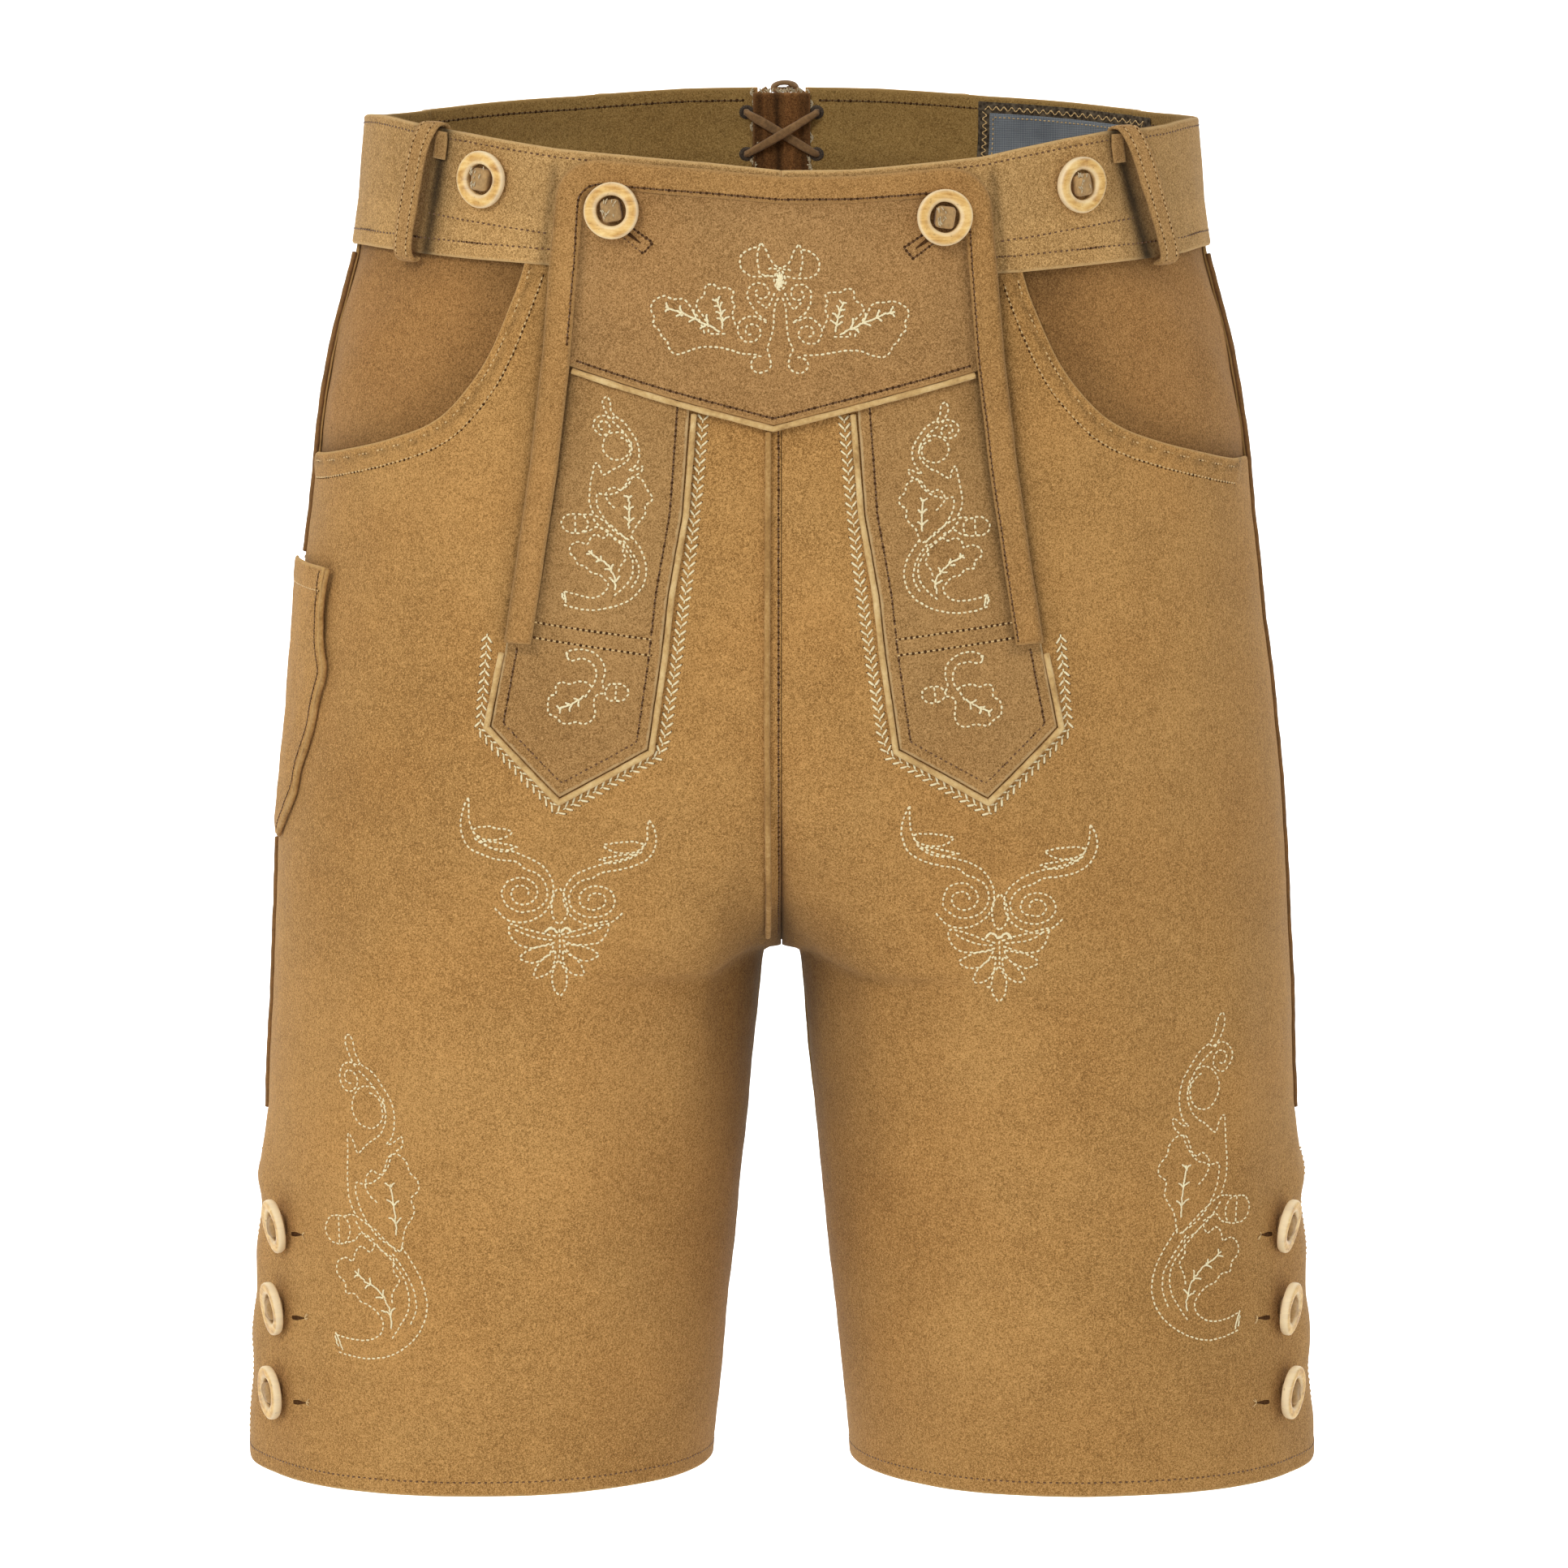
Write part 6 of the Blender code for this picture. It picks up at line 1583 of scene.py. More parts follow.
class Thread:
    """Gathers stitches (start, end, normal, width, height) and makes one mesh of them."""

    def __init__(self, name, mat, slot_name):
        self.name, self.mat, self.slot_name = name, mat, slot_name
        self.A, self.B, self.N, self.W, self.H = [], [], [], [], []
        self.dots, self.dot_n, self.dot_r = [], [], []

    def add(self, A, B, N, w, h):
        self.A.append(A)
        self.B.append(B)
        self.N.append(N)
        self.W.append(np.full(len(A), w) * RNG.uniform(0.88, 1.12, len(A)))
        self.H.append(np.full(len(A), h) * RNG.uniform(0.85, 1.15, len(A)))

    def hole(self, P, N, r):
        self.dots.append(P)
        self.dot_n.append(N)
        self.dot_r.append(np.full(len(P), r) * RNG.uniform(0.8, 1.2, len(P)))

    def build(self):
        if self.A:
            A, B, N = np.vstack(self.A), np.vstack(self.B), np.vstack(self.N)
            W, H = np.concatenate(self.W), np.concatenate(self.H)
            T = B - A
            L = np.linalg.norm(T, axis=1, keepdims=True)
            ok = L[:, 0] > 0.15
            A, B, N, W, H, T, L = A[ok], B[ok], N[ok], W[ok], H[ok], T[ok], L[ok]
            T = T / L
            S = np.cross(T, N)
            S /= np.maximum(np.linalg.norm(S, axis=1, keepdims=True), 1e-9)
            U = np.cross(S, T)
            n, m, k = len(A), len(STATIONS), 5
            c = A[:, None] + (B - A)[:, None] * STATIONS[None, :, None] + U[:, None] * (RISE[None, :] * H[:, None])[:, :, None]
            ang = 2 * math.pi * np.arange(k) / k + 0.3
            V = (c[:, :, None] + S[:, None, None] * (np.cos(ang)[None, None] * RADII[None, :, None] * W[:, None, None] / 2)[..., None]
                 + U[:, None, None] * (np.sin(ang)[None, None] * RADII[None, :, None] * H[:, None, None] / 2)[..., None])
            V = V.reshape(-1, 3)
            tri = []
            for i in range(m - 1):
                for j in range(k):
                    a, b = i * k + j, i * k + (j + 1) % k
                    c2, d = (i + 1) * k + (j + 1) % k, (i + 1) * k + j
                    tri += [(a, b, c2), (a, c2, d)]
            for j in range(1, k - 1):
                tri += [(0, j + 1, j), ((m - 1) * k, (m - 1) * k + j, (m - 1) * k + j + 1)]
            tri = np.array(tri)
            Tn = (tri[None] + (np.arange(n) * m * k)[:, None, None]).reshape(-1, 3)
            q = V[Tn[:len(tri)]]
            cen = q.mean(1) - V[:m * k].mean(0)
            if (np.cross(q[:, 1] - q[:, 0], q[:, 2] - q[:, 0]) * cen).sum() < 0:
                Tn = Tn[:, ::-1]
            ob = mesh_object(self.name, V * MM, Tn, [self.mat])
            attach(ob, "root")
        if self.dots:
            P, N, R = np.vstack(self.dots), np.vstack(self.dot_n), np.concatenate(self.dot_r)
            S = np.cross(N, np.array([0.13, 0.31, 0.94]))
            S /= np.maximum(np.linalg.norm(S, axis=1, keepdims=True), 1e-9)
            U = np.cross(N, S)
            k = 6
            ang = 2 * math.pi * np.arange(k) / k
            ring = P[:, None] + (S[:, None] * np.cos(ang)[None, :, None] + U[:, None] * np.sin(ang)[None, :, None]) * R[:, None, None]
            V = np.concatenate([ring, (P + N * 0.07)[:, None], (P - N * 0.25)[:, None]], 1).reshape(-1, 3)
            tri = []
            for j in range(k):
                tri += [(k, j, (j + 1) % k), (k + 1, (j + 1) % k, j)]
            tri = np.array(tri)
            Tn = (tri[None] + (np.arange(len(P)) * (k + 2))[:, None, None]).reshape(-1, 3)
            ob = mesh_object(self.name + "_holes", V * MM, Tn, [M_HOLE_SHADE])
            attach(ob, "root")


def path3(flat, node, side, up=0.0, step=0.8):
    """A flat line of (v, level) as points and normals on a finished piece."""
    F = np.array([(a * V_UNIT, b) for a, b in flat])
    F = np.array(run([tuple(p) for p in F], step))
    v, lv = F[:, 0] / V_UNIT, F[:, 1]
    h = height(node, v, lv) if isinstance(node, str) else node(v, lv)
    return place(v, lv, h + up, side)


def at_lengths(P, N, s):
    cum = np.concatenate([[0.0], np.cumsum(np.linalg.norm(np.diff(P, axis=0), axis=1))])
    Q = np.stack([np.interp(s, cum, P[:, i]) for i in range(3)], 1)
    M = np.stack([np.interp(s, cum, N[:, i]) for i in range(3)], 1)
    return Q, M / np.maximum(np.linalg.norm(M, axis=1, keepdims=True), 1e-9)


def total(P):
    return float(np.linalg.norm(np.diff(P, axis=0), axis=1).sum())


def sew(th, P, N, pitch=2.4, share=0.60, wide=0.66, high=0.42, hole=0.60, jitter=0.06, ends=True):
    """A running stitch along points in space, a whole number of stitches, with a needle hole between each."""
    L = total(P)
    n = max(1, int(round(L / pitch)))
    p = L / n
    i = np.arange(n)
    g = p * (1 - share) / 2
    s0 = i * p + g + RNG.normal(0, jitter * 0.6, n)
    s1 = (i + 1) * p - g + RNG.normal(0, jitter * 0.6, n)
    A, NA = at_lengths(P, N, np.clip(s0, 0, L))
    B, NB = at_lengths(P, N, np.clip(s1, 0, L))
    M = NA + NB
    M /= np.linalg.norm(M, axis=1, keepdims=True)
    T = B - A
    S = np.cross(T / np.maximum(np.linalg.norm(T, axis=1, keepdims=True), 1e-9), M)
    A = A + S * RNG.normal(0, jitter, n)[:, None]
    B = B + S * RNG.normal(0, jitter, n)[:, None]
    th.add(A + M * 0.05, B + M * 0.05, M, wide, high)
    if hole:
        H, NH = at_lengths(P, N, np.arange(n + 1) * p)
        th.hole(H + NH * 0.03, NH, hole)


def off_line(flat, away):
    """A flat line of (v, level) moved sideways by real millimetres, near enough."""
    P = [(a * V_UNIT * 0.9, b) for a, b in flat]
    return [(a / V_UNIT / 0.9, b) for a, b in beside(P, away)]


SEAMS_TAN = Thread("seam_stitches_tan", M_TAN, "piping")
SEAMS_BROWN = Thread("seam_stitches_brown", M_BROWN, "thong")
SEAMS_INSIDE = Thread("seams_inside", M_INSIDE, "thong")


def row(th, flat, node, side, **kw):
    P, N = path3(flat, node, side)
    sew(th, P, N, **kw)


for (name, side), (back, _) in zip(names("front"), names("back")):
    sh = FLAP_SHIFT * side
    tail = name[5:]
    # hems
    row(SEAMS_BROWN, level_line(0.006, one(v_at_arc(LAP_AT + 1.5, HEM + 6)), HEM + 5.9), name, side, pitch=2.5, hole=0.7)
    row(SEAMS_BROWN, level_line(one(v_at_arc(-11.0, HEM + 6)), 1.994, HEM + 5.9), back, side, pitch=2.5, hole=0.7)
    # pocket mouth, two rows
    mouth = fx(smooth(list(POCKET_LINE), 2.5), sh)
    mouth = [p for p in mouth if p[1] < float(band_low(p[0])) - 0.2]
    for away, th in ((3.3, SEAMS_TAN), (9.9, SEAMS_TAN)):
        line = off_line(mouth, -away)
        line = [p for p in line if p[0] < one(v_at_arc(SEAM_AT + 1.0, p[1])) and p[1] < float(band_low(p[0])) - 0.5]
        row(th, line, name, side, pitch=2.3, hole=0.72)
    # leg vent: free edge of the front leg, and a short turn at its top
    line = seam_line(LAP_AT + 5.2, HEM + 6.5, VENT_TOP - 3.0)
    line += [(one(v_at_arc(SEAM_AT + 1.6, VENT_TOP - 1.0)), VENT_TOP - 1.0)]
    row(SEAMS_TAN, line, name, side, pitch=2.4)
    # waistband rows, all round
    end = one(v_at_x(GAP_HALF + 4.0, 0.0, True))
    row(SEAMS_BROWN, level_line(0.0, end, BAND_TOP - 3.0), "waistband" + tail, side, pitch=2.5)
    row(SEAMS_BROWN, level_line(0.0, end, lambda v: band_low(v) + 5.9), "waistband" + tail, side, pitch=2.5)
    row(SEAMS_BROWN, level_line(one(v_at_x(86.0 + sh, -10)), one(v_at_x(136.0, -10)), -10.0), "waistband" + tail, side,
        pitch=2.5)
    # facing rows and tacks
    end = one(v_at_x(GAP_HALF + 6.0, 0.0, True))

    def inner(v, lv):
        return facing_lift(v, lv) - FACING_WALL
    for lvl in (lambda v: np.full(np.shape(v), 17.0), lambda v: band_low(v) + 12.5):
        flat = level_line(0.0, end, lvl)
        P, N = path3(flat, inner, side)
        sew(SEAMS_INSIDE, P, -N, pitch=2.5)
    # centre back: slit and seam
    slit = [(one(v_at_x(GAP_HALF + 3.4, 20.0, True)), 20.0), (one(v_at_x(GAP_HALF + 3.4, -32.0, True)), -31.0)]
    row(SEAMS_TAN, run(slit, 0.05), "waistband" + tail, side, pitch=2.5)
    slit = [(one(v_at_x(GAP_HALF * max(0.0, (SLOT_END - lv) / (SLOT_END + 32.0)) + 3.2, lv, True)), lv)
            for lv in np.linspace(-34.0, -96.0, 24)]
    slit += [(one(v_at_x(3.2, lv, True)), lv) for lv in np.linspace(-100.0, -296.0, 60)]
    row(SEAMS_TAN, slit, back, side, pitch=2.5)
    # a row behind the side seam, on the back
    low_end = VENT_TOP if side > 0 else -150.0
    row(SEAMS_BROWN, seam_line(3.2, -36.0, -372.0), back, side, pitch=2.6)
    # yoke: two close rows on the binding's lower turn are one for each half
    strip = "flap_strip" + tail
    inside = beside(list(STRIP_EDGE), 4.4)
    inside[0] = (inside[0][0], yoke_low(inside[0][0]) - 0.6)
    inside[-1] = (inside[-1][0], -175.2)
    row(SEAMS_BROWN, fx(run(inside, 2.0), sh), strip, side, pitch=2.25, hole=0.55)
    for drop in (0.0, 6.2):
        line = [(92.4 - 0.10 * drop, -164.3 - drop), (46.4 + 0.1 * drop, -170.6 - drop)]
        row(SEAMS_TAN, fx(run(line, 2.0), sh), strip, side, pitch=2.3)

# centre front seam, beside the piping
P, N = path3([(one(v_at_x(1.1, lv)), lv) for lv in np.linspace(-84.0, -303.0, 80)], "front_right", -1)
sew(SEAMS_BROWN, P, N, pitch=2.3, hole=0.55)
# yoke's lower edge and the binding's inner edge
line = beside(run([(-75.0, yoke_low(75.0)), (0.0, YOKE_V[0][1]), (75.0, yoke_low(75.0))], 2.0), 2.7)
row(SEAMS_BROWN, fx(line, FLAP_SHIFT), "flap_yoke", 1, pitch=2.4, hole=0.58)
ins = [(0.0, FLAP_TOP - BINDING + 1.5)] + [(FLAP_HALF - FLAP_ROUND + (FLAP_ROUND - BINDING + 1.5) * math.sin(math.radians(a)),
                                            FLAP_TOP - FLAP_ROUND + (FLAP_ROUND - BINDING + 1.5) * math.cos(math.radians(a)))
                                           for a in range(0, 91, 6)]
short = ins + [(74.9, -19.5), (77.7, -52.0)]
ins += [(74.8, -19.5), (77.6, -56.7), (82.9, -100.4), (89.6, -146.0), (93.6, -171.5)]
line = mir(reversed(short)) + ins[1:]
row(SEAMS_BROWN, fx(run(line, 2.0), FLAP_SHIFT), "flap_binding", 1, pitch=2.4, hole=0.55)
# knife pocket: the turned mouth and the piped edge
line = [(s, -159.6) for s in np.linspace(51.0, KNIFE_BACK + 1.0, 24)]
row(SEAMS_TAN, ax(line), "knife_pocket", -1, pitch=2.3)
line = beside(smooth(list(KNIFE_EDGE), 2.5), -2.6)
row(SEAMS_BROWN, ax([p for p in line if p[1] < -152.0]), "knife_pocket", -1, pitch=2.3)

# buttonholes of the flap: a slit and its stitched box
for name, side in names("flap_button"):
    x0, l0, x1, l1 = 56.3 - 1.2 * side, -7.2, 49.4 - 1.2 * side, -11.8
    dx, dl = x1 - x0, l1 - l0
    n = math.hypot(dx, dl)
    t, q = (dx / n, dl / n), (-dl / n, dx / n)

    def at(a, b, x0=x0, l0=l0, t=t, q=q):
        return (x0 + t[0] * a + q[0] * b, l0 + t[1] * a + q[1] * b)
    box = [at(-1.0, 2.6), at(8.4, 2.9), at(8.8, -2.8), at(-1.0, -2.6)]
    flat = fx(run(box, 1.0))
    P, N = path3(flat, "flap_yoke", side)
    sew(SEAMS_BROWN, P, N, pitch=1.9, hole=0.62, wide=0.5)
    slit = fx(run([at(-2.0, 0.0), at(5.4, 0.2)], 1.0))
    P, N = path3(slit, "flap_yoke", side, 0.1)
    V, T = tube("flap_slit", P, N, np.interp(np.linspace(0, 1, len(P)), [0, 0.3, 1], [0.9, 1.5, 0.4]), 0.5, None)
    ob = mesh_object("flap_buttonhole_" + name[-5:].strip("_"), V, T, [M_HOLE_SHADE])
    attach(ob, "root")

# the wheat-ear border round each strip
WHEAT = Thread("wheat_border", M_THREAD, "piping")
WHEAT_LINE = ((26.9, -76.8), (29.1, -107.2), (33.1, -146.1), (37.7, -180.3), (42.2, -209.8), (44.4, -216.1),
              (82.9, -238.6), (114.0, -207.3), (111.1, -170.5))
for name, side in names("front"):
    sh = FLAP_SHIFT * side
    base = list(WHEAT_LINE)
    P, N = path3(fx(run(base, 1.5), sh), name, side)
    L = total(P)
    n = int(round(L / 3.35))
    s = (np.arange(n) + 0.5) * L / n
    C, M = at_lengths(P, N, s)
    D, _ = at_lengths(P, N, np.clip(s + 0.4, 0, L))
    E, _ = at_lengths(P, N, np.clip(s - 0.4, 0, L))
    T = D - E
    T /= np.maximum(np.linalg.norm(T, axis=1, keepdims=True), 1e-9)
    S = np.cross(T, M)
    for sg in (1.0, -1.0):
        # an arm that leaves the middle line and sweeps up and out, a little bowed
        a = C + S * sg * 0.20 + T * 1.15
        e = C + S * sg * (2.25 + RNG.normal(0, 0.10, n)[:, None]) - T * (1.05 + RNG.normal(0, 0.12, n)[:, None])
        up = M * 0.12
        WHEAT.add(a + up, e + up, M, 0.80, 0.55)
        WHEAT.hole(e + M * 0.03, M, 0.30)
    WHEAT.add(C + M * 0.10 + T * 0.9, C + M * 0.10 + T * 2.3, M, 0.62, 0.45)
    WHEAT.hole(C + T * 2.0 + M * 0.03, M, 0.38)
SEAMS_TAN.build()
SEAMS_BROWN.build()
SEAMS_INSIDE.build()
WHEAT.build()
# ------------------------------------------------------------------ embroidery: oak leaves, acorns, scrolls
# Each motif is drawn from round sizes with a few kinds of stroke, in millimetres, x to the garment's outside, y up.
def spiral(cx, cy, r0, r1, a0, turns, step=5):
    n = max(8, int(abs(turns) * 360 / (step * 4)))
    out = []
    for i in range(n + 1):
        t = i / n
        r = r0 + (r1 - r0) * t ** 0.85
        a = math.radians(a0 + turns * 360 * t)
        out.append((cx + r * math.cos(a), cy + r * math.sin(a)))
    return out


def bow(p, q, bend, n=12):
    """Curve from p to q, bowed to the left by bend (share of its length)."""
    mx, my = (p[0] + q[0]) / 2, (p[1] + q[1]) / 2
    dx, dy = q[0] - p[0], q[1] - p[1]
    c = (mx - dy * bend * 2, my + dx * bend * 2)
    return [((1 - t) ** 2 * p[0] + 2 * t * (1 - t) * c[0] + t * t * q[0],
             (1 - t) ** 2 * p[1] + 2 * t * (1 - t) * c[1] + t * t * q[1]) for t in (i / n for i in range(n + 1))]


def along_mid(mid, t):
    k = t * (len(mid) - 1)
    i = min(len(mid) - 2, int(k))
    f = k - i
    p = (mid[i][0] + (mid[i + 1][0] - mid[i][0]) * f, mid[i][1] + (mid[i + 1][1] - mid[i][1]) * f)
    dx, dy = mid[i + 1][0] - mid[i][0], mid[i + 1][1] - mid[i][1]
    n = math.hypot(dx, dy) or 1.0
    return p, (-dy / n, dx / n), (dx / n, dy / n)


def half_leaf(mid, wide, lobes, sign, deep=0.30, fat=0.85, t0=0.0, t1=1.0):
    """One edge of a leaf: rounded lobes that meet in notches, narrowing to the tip."""
    out = []
    n = 9 * max(1, lobes) + 6
    for i in range(n + 1):
        t = t0 + (t1 - t0) * i / n
        env = math.sin(math.pi * min(0.999, t) ** fat) ** 0.62
        k = (1 - deep) + deep * abs(math.sin(math.pi * lobes * t)) ** 0.7 if lobes else 1.0
        p, q, _ = along_mid(mid, t)
        out.append((p[0] + q[0] * sign * wide * env * k, p[1] + q[1] * sign * wide * env * k))
    return out


def leaf(mid, wide, lobes, deep=0.30, fat=0.85):
    return [("run", half_leaf(mid, wide, lobes, 1, deep, fat)), ("run", half_leaf(mid, wide, lobes, -1, deep, fat))]


def veins(mid, pairs, size, t0=0.12, t1=0.82):
    out = [("satin", [along_mid(mid, t0 + (t1 - t0) * i / 8)[0] for i in range(9)])]
    for k in range(pairs):
        t = t0 + (t1 - t0) * (0.22 + 0.7 * k / max(1, pairs - 1)) if pairs > 1 else 0.5
        p, q, d = along_mid(mid, t)
        for sg in (1, -1):
            s = size * (1.0 - 0.12 * k) * (1.0 if sg > 0 else 0.82)
            e = (p[0] + (q[0] * sg * 0.82 + d[0] * 0.62) * s, p[1] + (q[1] * sg * 0.82 + d[1] * 0.62) * s)
            out.append(("satin", [p, ((p[0] + e[0]) / 2 + d[0] * 0.15 * s, (p[1] + e[1]) / 2 + d[1] * 0.15 * s), e]))
    return out


def acorn(cx, cy, r, ang):
    """A round nut, its cup behind a straight bar."""
    a = math.radians(ang)
    u, w = (math.cos(a), math.sin(a)), (-math.sin(a), math.cos(a))

    def at(x, y):
        return (cx + u[0] * x + w[0] * y, cy + u[1] * x + w[1] * y)
    nut = [at(-0.25 * r, 1.0 * r)] + [at(r * 1.25 * math.cos(math.radians(b)), r * 1.02 * math.sin(math.radians(b)))
                                      for b in range(70, -71, -14)] + [at(-0.25 * r, -1.0 * r)]
    cup = [at(-0.25 * r, 1.0 * r), at(-1.0 * r, 0.9 * r), at(-1.45 * r, 0.0), at(-1.0 * r, -0.9 * r), at(-0.25 * r, -1.0 * r)]
    return [("run", nut), ("run", cup), ("run", [at(-0.25 * r, 1.0 * r), at(-0.25 * r, -1.0 * r)])]


def bib_half():
    s = []
    # bud above the knot, with the line inside it
    s += [("run", [(0.8, 5.4), (3.6, 8.0), (5.0, 12.2), (7.2, 15.4)]),
          ("run", [(7.2, 15.4), (8.4, 13.2)] + [(9.6 + 5.6 * math.sin(math.radians(a)), 7.2 + 5.8 * math.cos(math.radians(a)))
                                               for a in range(14, 190, 16)] + [(5.4, 1.6), (2.2, 2.3)]),
          ("run", bow((7.9, 13.6), (7.4, 2.2), 0.09))]
    # curl beside the knot and the pointed leaf inside it
    s += [("run", [(5.0, -16.6), (8.6, -13.4), (11.6, -9.2)] + spiral(7.4, -4.8, 5.1, 1.5, -10, 1.2) )]
    s += [("run", [(1.6, -4.6), (3.2, -8.2), (5.3, -11.4), (6.8, -9.8), (8.6, -8.0)])]
    # long stems that end in a round curl
    s += [("run", [(0.4, -6.2), (1.9, -9.4), (2.4, -14.0), (2.6, -19.0), (3.6, -24.2), (5.2, -27.6), (3.8, -30.4),
                   (3.4, -33.6)] + spiral(7.4, -33.8, 3.9, 3.3, 185, 0.78))]
    # the large scroll
    s += [("run", [(4.6, -17.0), (8.2, -15.2)] + spiral(10.9, -20.6, 6.2, 1.3, 88, -1.55))]
    # outer leaf: one edge runs on as the long lower line
    mid = bow((20.0, -22.6), (47.6, -11.0), 0.05)
    s += [("run", [(8.6, -29.9), (14.0, -29.6), (20.0, -28.2), (26.0, -27.2), (31.0, -27.6), (35.4, -29.4), (39.4, -30.2),
                   (42.0, -28.2), (42.6, -25.4)] + [(44.6, -24.0), (45.4, -21.4), (47.8, -19.0), (47.2, -16.4), (48.9, -13.6),
                                                    (48.2, -10.6), (45.6, -8.2), (42.6, -7.4)])]
    s += [("run", [(42.6, -7.4), (39.8, -8.4), (37.0, -7.8), (34.4, -9.6), (33.0, -12.8), (31.0, -15.6), (29.4, -19.0),
                   (28.6, -22.4)])]
    s += veins(mid, 4, 4.4, 0.10, 0.86)
    # inner leaf
    s += [("run", [(16.9, -18.6), (18.2, -14.0), (17.0, -10.4), (18.6, -8.0), (17.6, -4.8), (20.2, -3.4), (23.0, -3.8),
                   (25.4, -1.8), (28.2, -3.2), (28.6, -6.6), (31.2, -8.6), (31.8, -11.2), (30.0, -13.6), (28.2, -16.4),
                   (26.8, -19.6), (26.6, -21.6), (20.4, -21.6)])]
    s += veins(bow((21.4, -20.6), (24.6, -6.8), 0.05), 4, 3.4, 0.05, 0.95)
    return s


def strip_motif():
    """x to the garment's middle, y up, 92 mm tall and 37 wide; the leg has it half as large again."""
    s = []
    # thin loop at the top
    s += [("run", [(2.6, 36.0), (0.6, 40.2), (0.0, 43.6), (1.4, 45.6), (3.0, 43.8), (3.2, 40.2), (4.6, 37.2)])]
    # small curl on the left
    s += [("run", [(4.8, 37.4)] + spiral(-0.2, 33.2, 5.0, 1.3, 40, 1.7))]
    # stem on the right, down to a hook
    s += [("run", [(4.6, 37.2), (8.4, 34.6), (11.0, 30.6), (13.4, 26.2), (13.6, 21.0), (11.8, 16.4), (9.2, 14.6),
                   (12.0, 15.0), (15.2, 16.6), (14.4, 13.8), (12.0, 12.4)]),
          ("run", [(3.2, 35.6), (7.0, 32.0), (9.8, 28.0), (11.0, 23.6)])]
    # larger ring, and its stem that runs left to a horn tip
    s += [("run", spiral(5.2, 24.6, 6.6, 4.6, 60, 1.05)),
          ("run", [(10.6, 27.4), (10.8, 22.4), (7.8, 17.6), (3.2, 15.2), (-1.2, 12.8), (-2.0, 15.8), (-3.8, 18.4),
                   (-4.6, 14.6), (-5.6, 10.4), (-6.6, 5.6), (-6.8, 0.6), (-5.2, -4.2)])]
    # two arcs above the large leaf, and three stems that run down from them
    s += [("run", bow((11.0, 12.2), (-3.4, 4.6), 0.20) + [(-3.8, 0.6), (-2.0, -4.8), (2.0, -10.6), (8.6, -15.4)]),
          ("run", bow((-5.2, -4.2), (7.4, -15.4), 0.05)),
          ("run", [(0.6, 6.0), (0.0, 3.2), (1.6, 0.4), (3.6, -1.6)]),
          ("run", [(0.6, 6.0), (3.2, 7.8), (5.6, 6.2), (7.6, 8.0)])]
    # large oak leaf
    s += [("run", [(7.6, 8.0), (9.6, 11.4), (12.8, 11.8), (15.4, 9.2), (15.8, 6.4), (18.0, 3.8), (17.6, 1.0), (15.0, -0.8),
                   (15.2, -4.2), (13.4, -6.8), (11.2, -9.2), (9.8, -12.6), (9.0, -15.4)])]
    s += veins(bow((8.2, -10.6), (8.6, 4.4), -0.03), 3, 3.0, 0.0, 0.96)
    # the long pair of curves that sweep down to the satin end
    s += [("run", [(9.0, -13.4), (12.2, -18.6), (14.4, -24.4), (14.6, -30.4), (12.4, -36.2), (7.4, -40.8), (0.6, -43.6),
                   (-6.6, -44.6), (-13.2, -43.6), (-19.2, -41.8)]),
          ("run", [(5.8, -15.2), (9.0, -20.4), (11.2, -26.0), (11.0, -31.4), (8.2, -36.0)]),
          ("run", [(-5.6, -5.6), (-3.0, -9.6), (1.8, -13.6), (6.2, -18.6), (9.2, -24.6), (8.6, -30.8), (5.2, -35.4), (1.0, -39.4)]),
          ("run", [(-18.6, -36.8), (-13.0, -38.6), (-7.0, -39.2), (-2.4, -37.6), (-0.6, -34.2), (-2.4, -31.2)]),
          ("satin", [(-18.8, -36.4), (-17.8, -39.2), (-17.4, -41.6)]), ("satin", [(-19.2, -37.4), (-18.4, -40.6)])]
    # acorn at the left on its short stalk
    s += acorn(-13.4, -8.0, 3.9, 176)
    s += [("run", [(-9.8, -4.4), (-7.0, -4.0), (-5.2, -4.4)]), ("run", [(-9.8, -11.8), (-6.6, -11.2), (-4.0, -9.4), (0.6, -11.6)])]
    # lower oak leaf
    s += [("run", [(0.6, -12.2), (-1.8, -14.6), (-4.6, -12.8), (-7.2, -14.4), (-8.2, -17.0), (-11.4, -15.8), (-14.6, -17.0),
                   (-15.4, -20.2), (-12.8, -22.8), (-12.6, -25.6), (-9.4, -26.0), (-7.4, -28.6), (-4.6, -29.4),
                   (-2.4, -31.2)]),
          ("run", [(0.6, -12.2), (3.0, -15.0), (6.2, -16.8), (5.6, -20.6), (6.8, -23.2), (4.4, -26.4), (3.4, -29.6)])]
    s += veins([(1.6, -37.0), (2.4, -33.4), (1.6, -28.6), (-1.4, -24.6), (-5.2, -22.4), (-8.6, -19.4)], 4, 3.2, 0.02, 0.98)
    return s


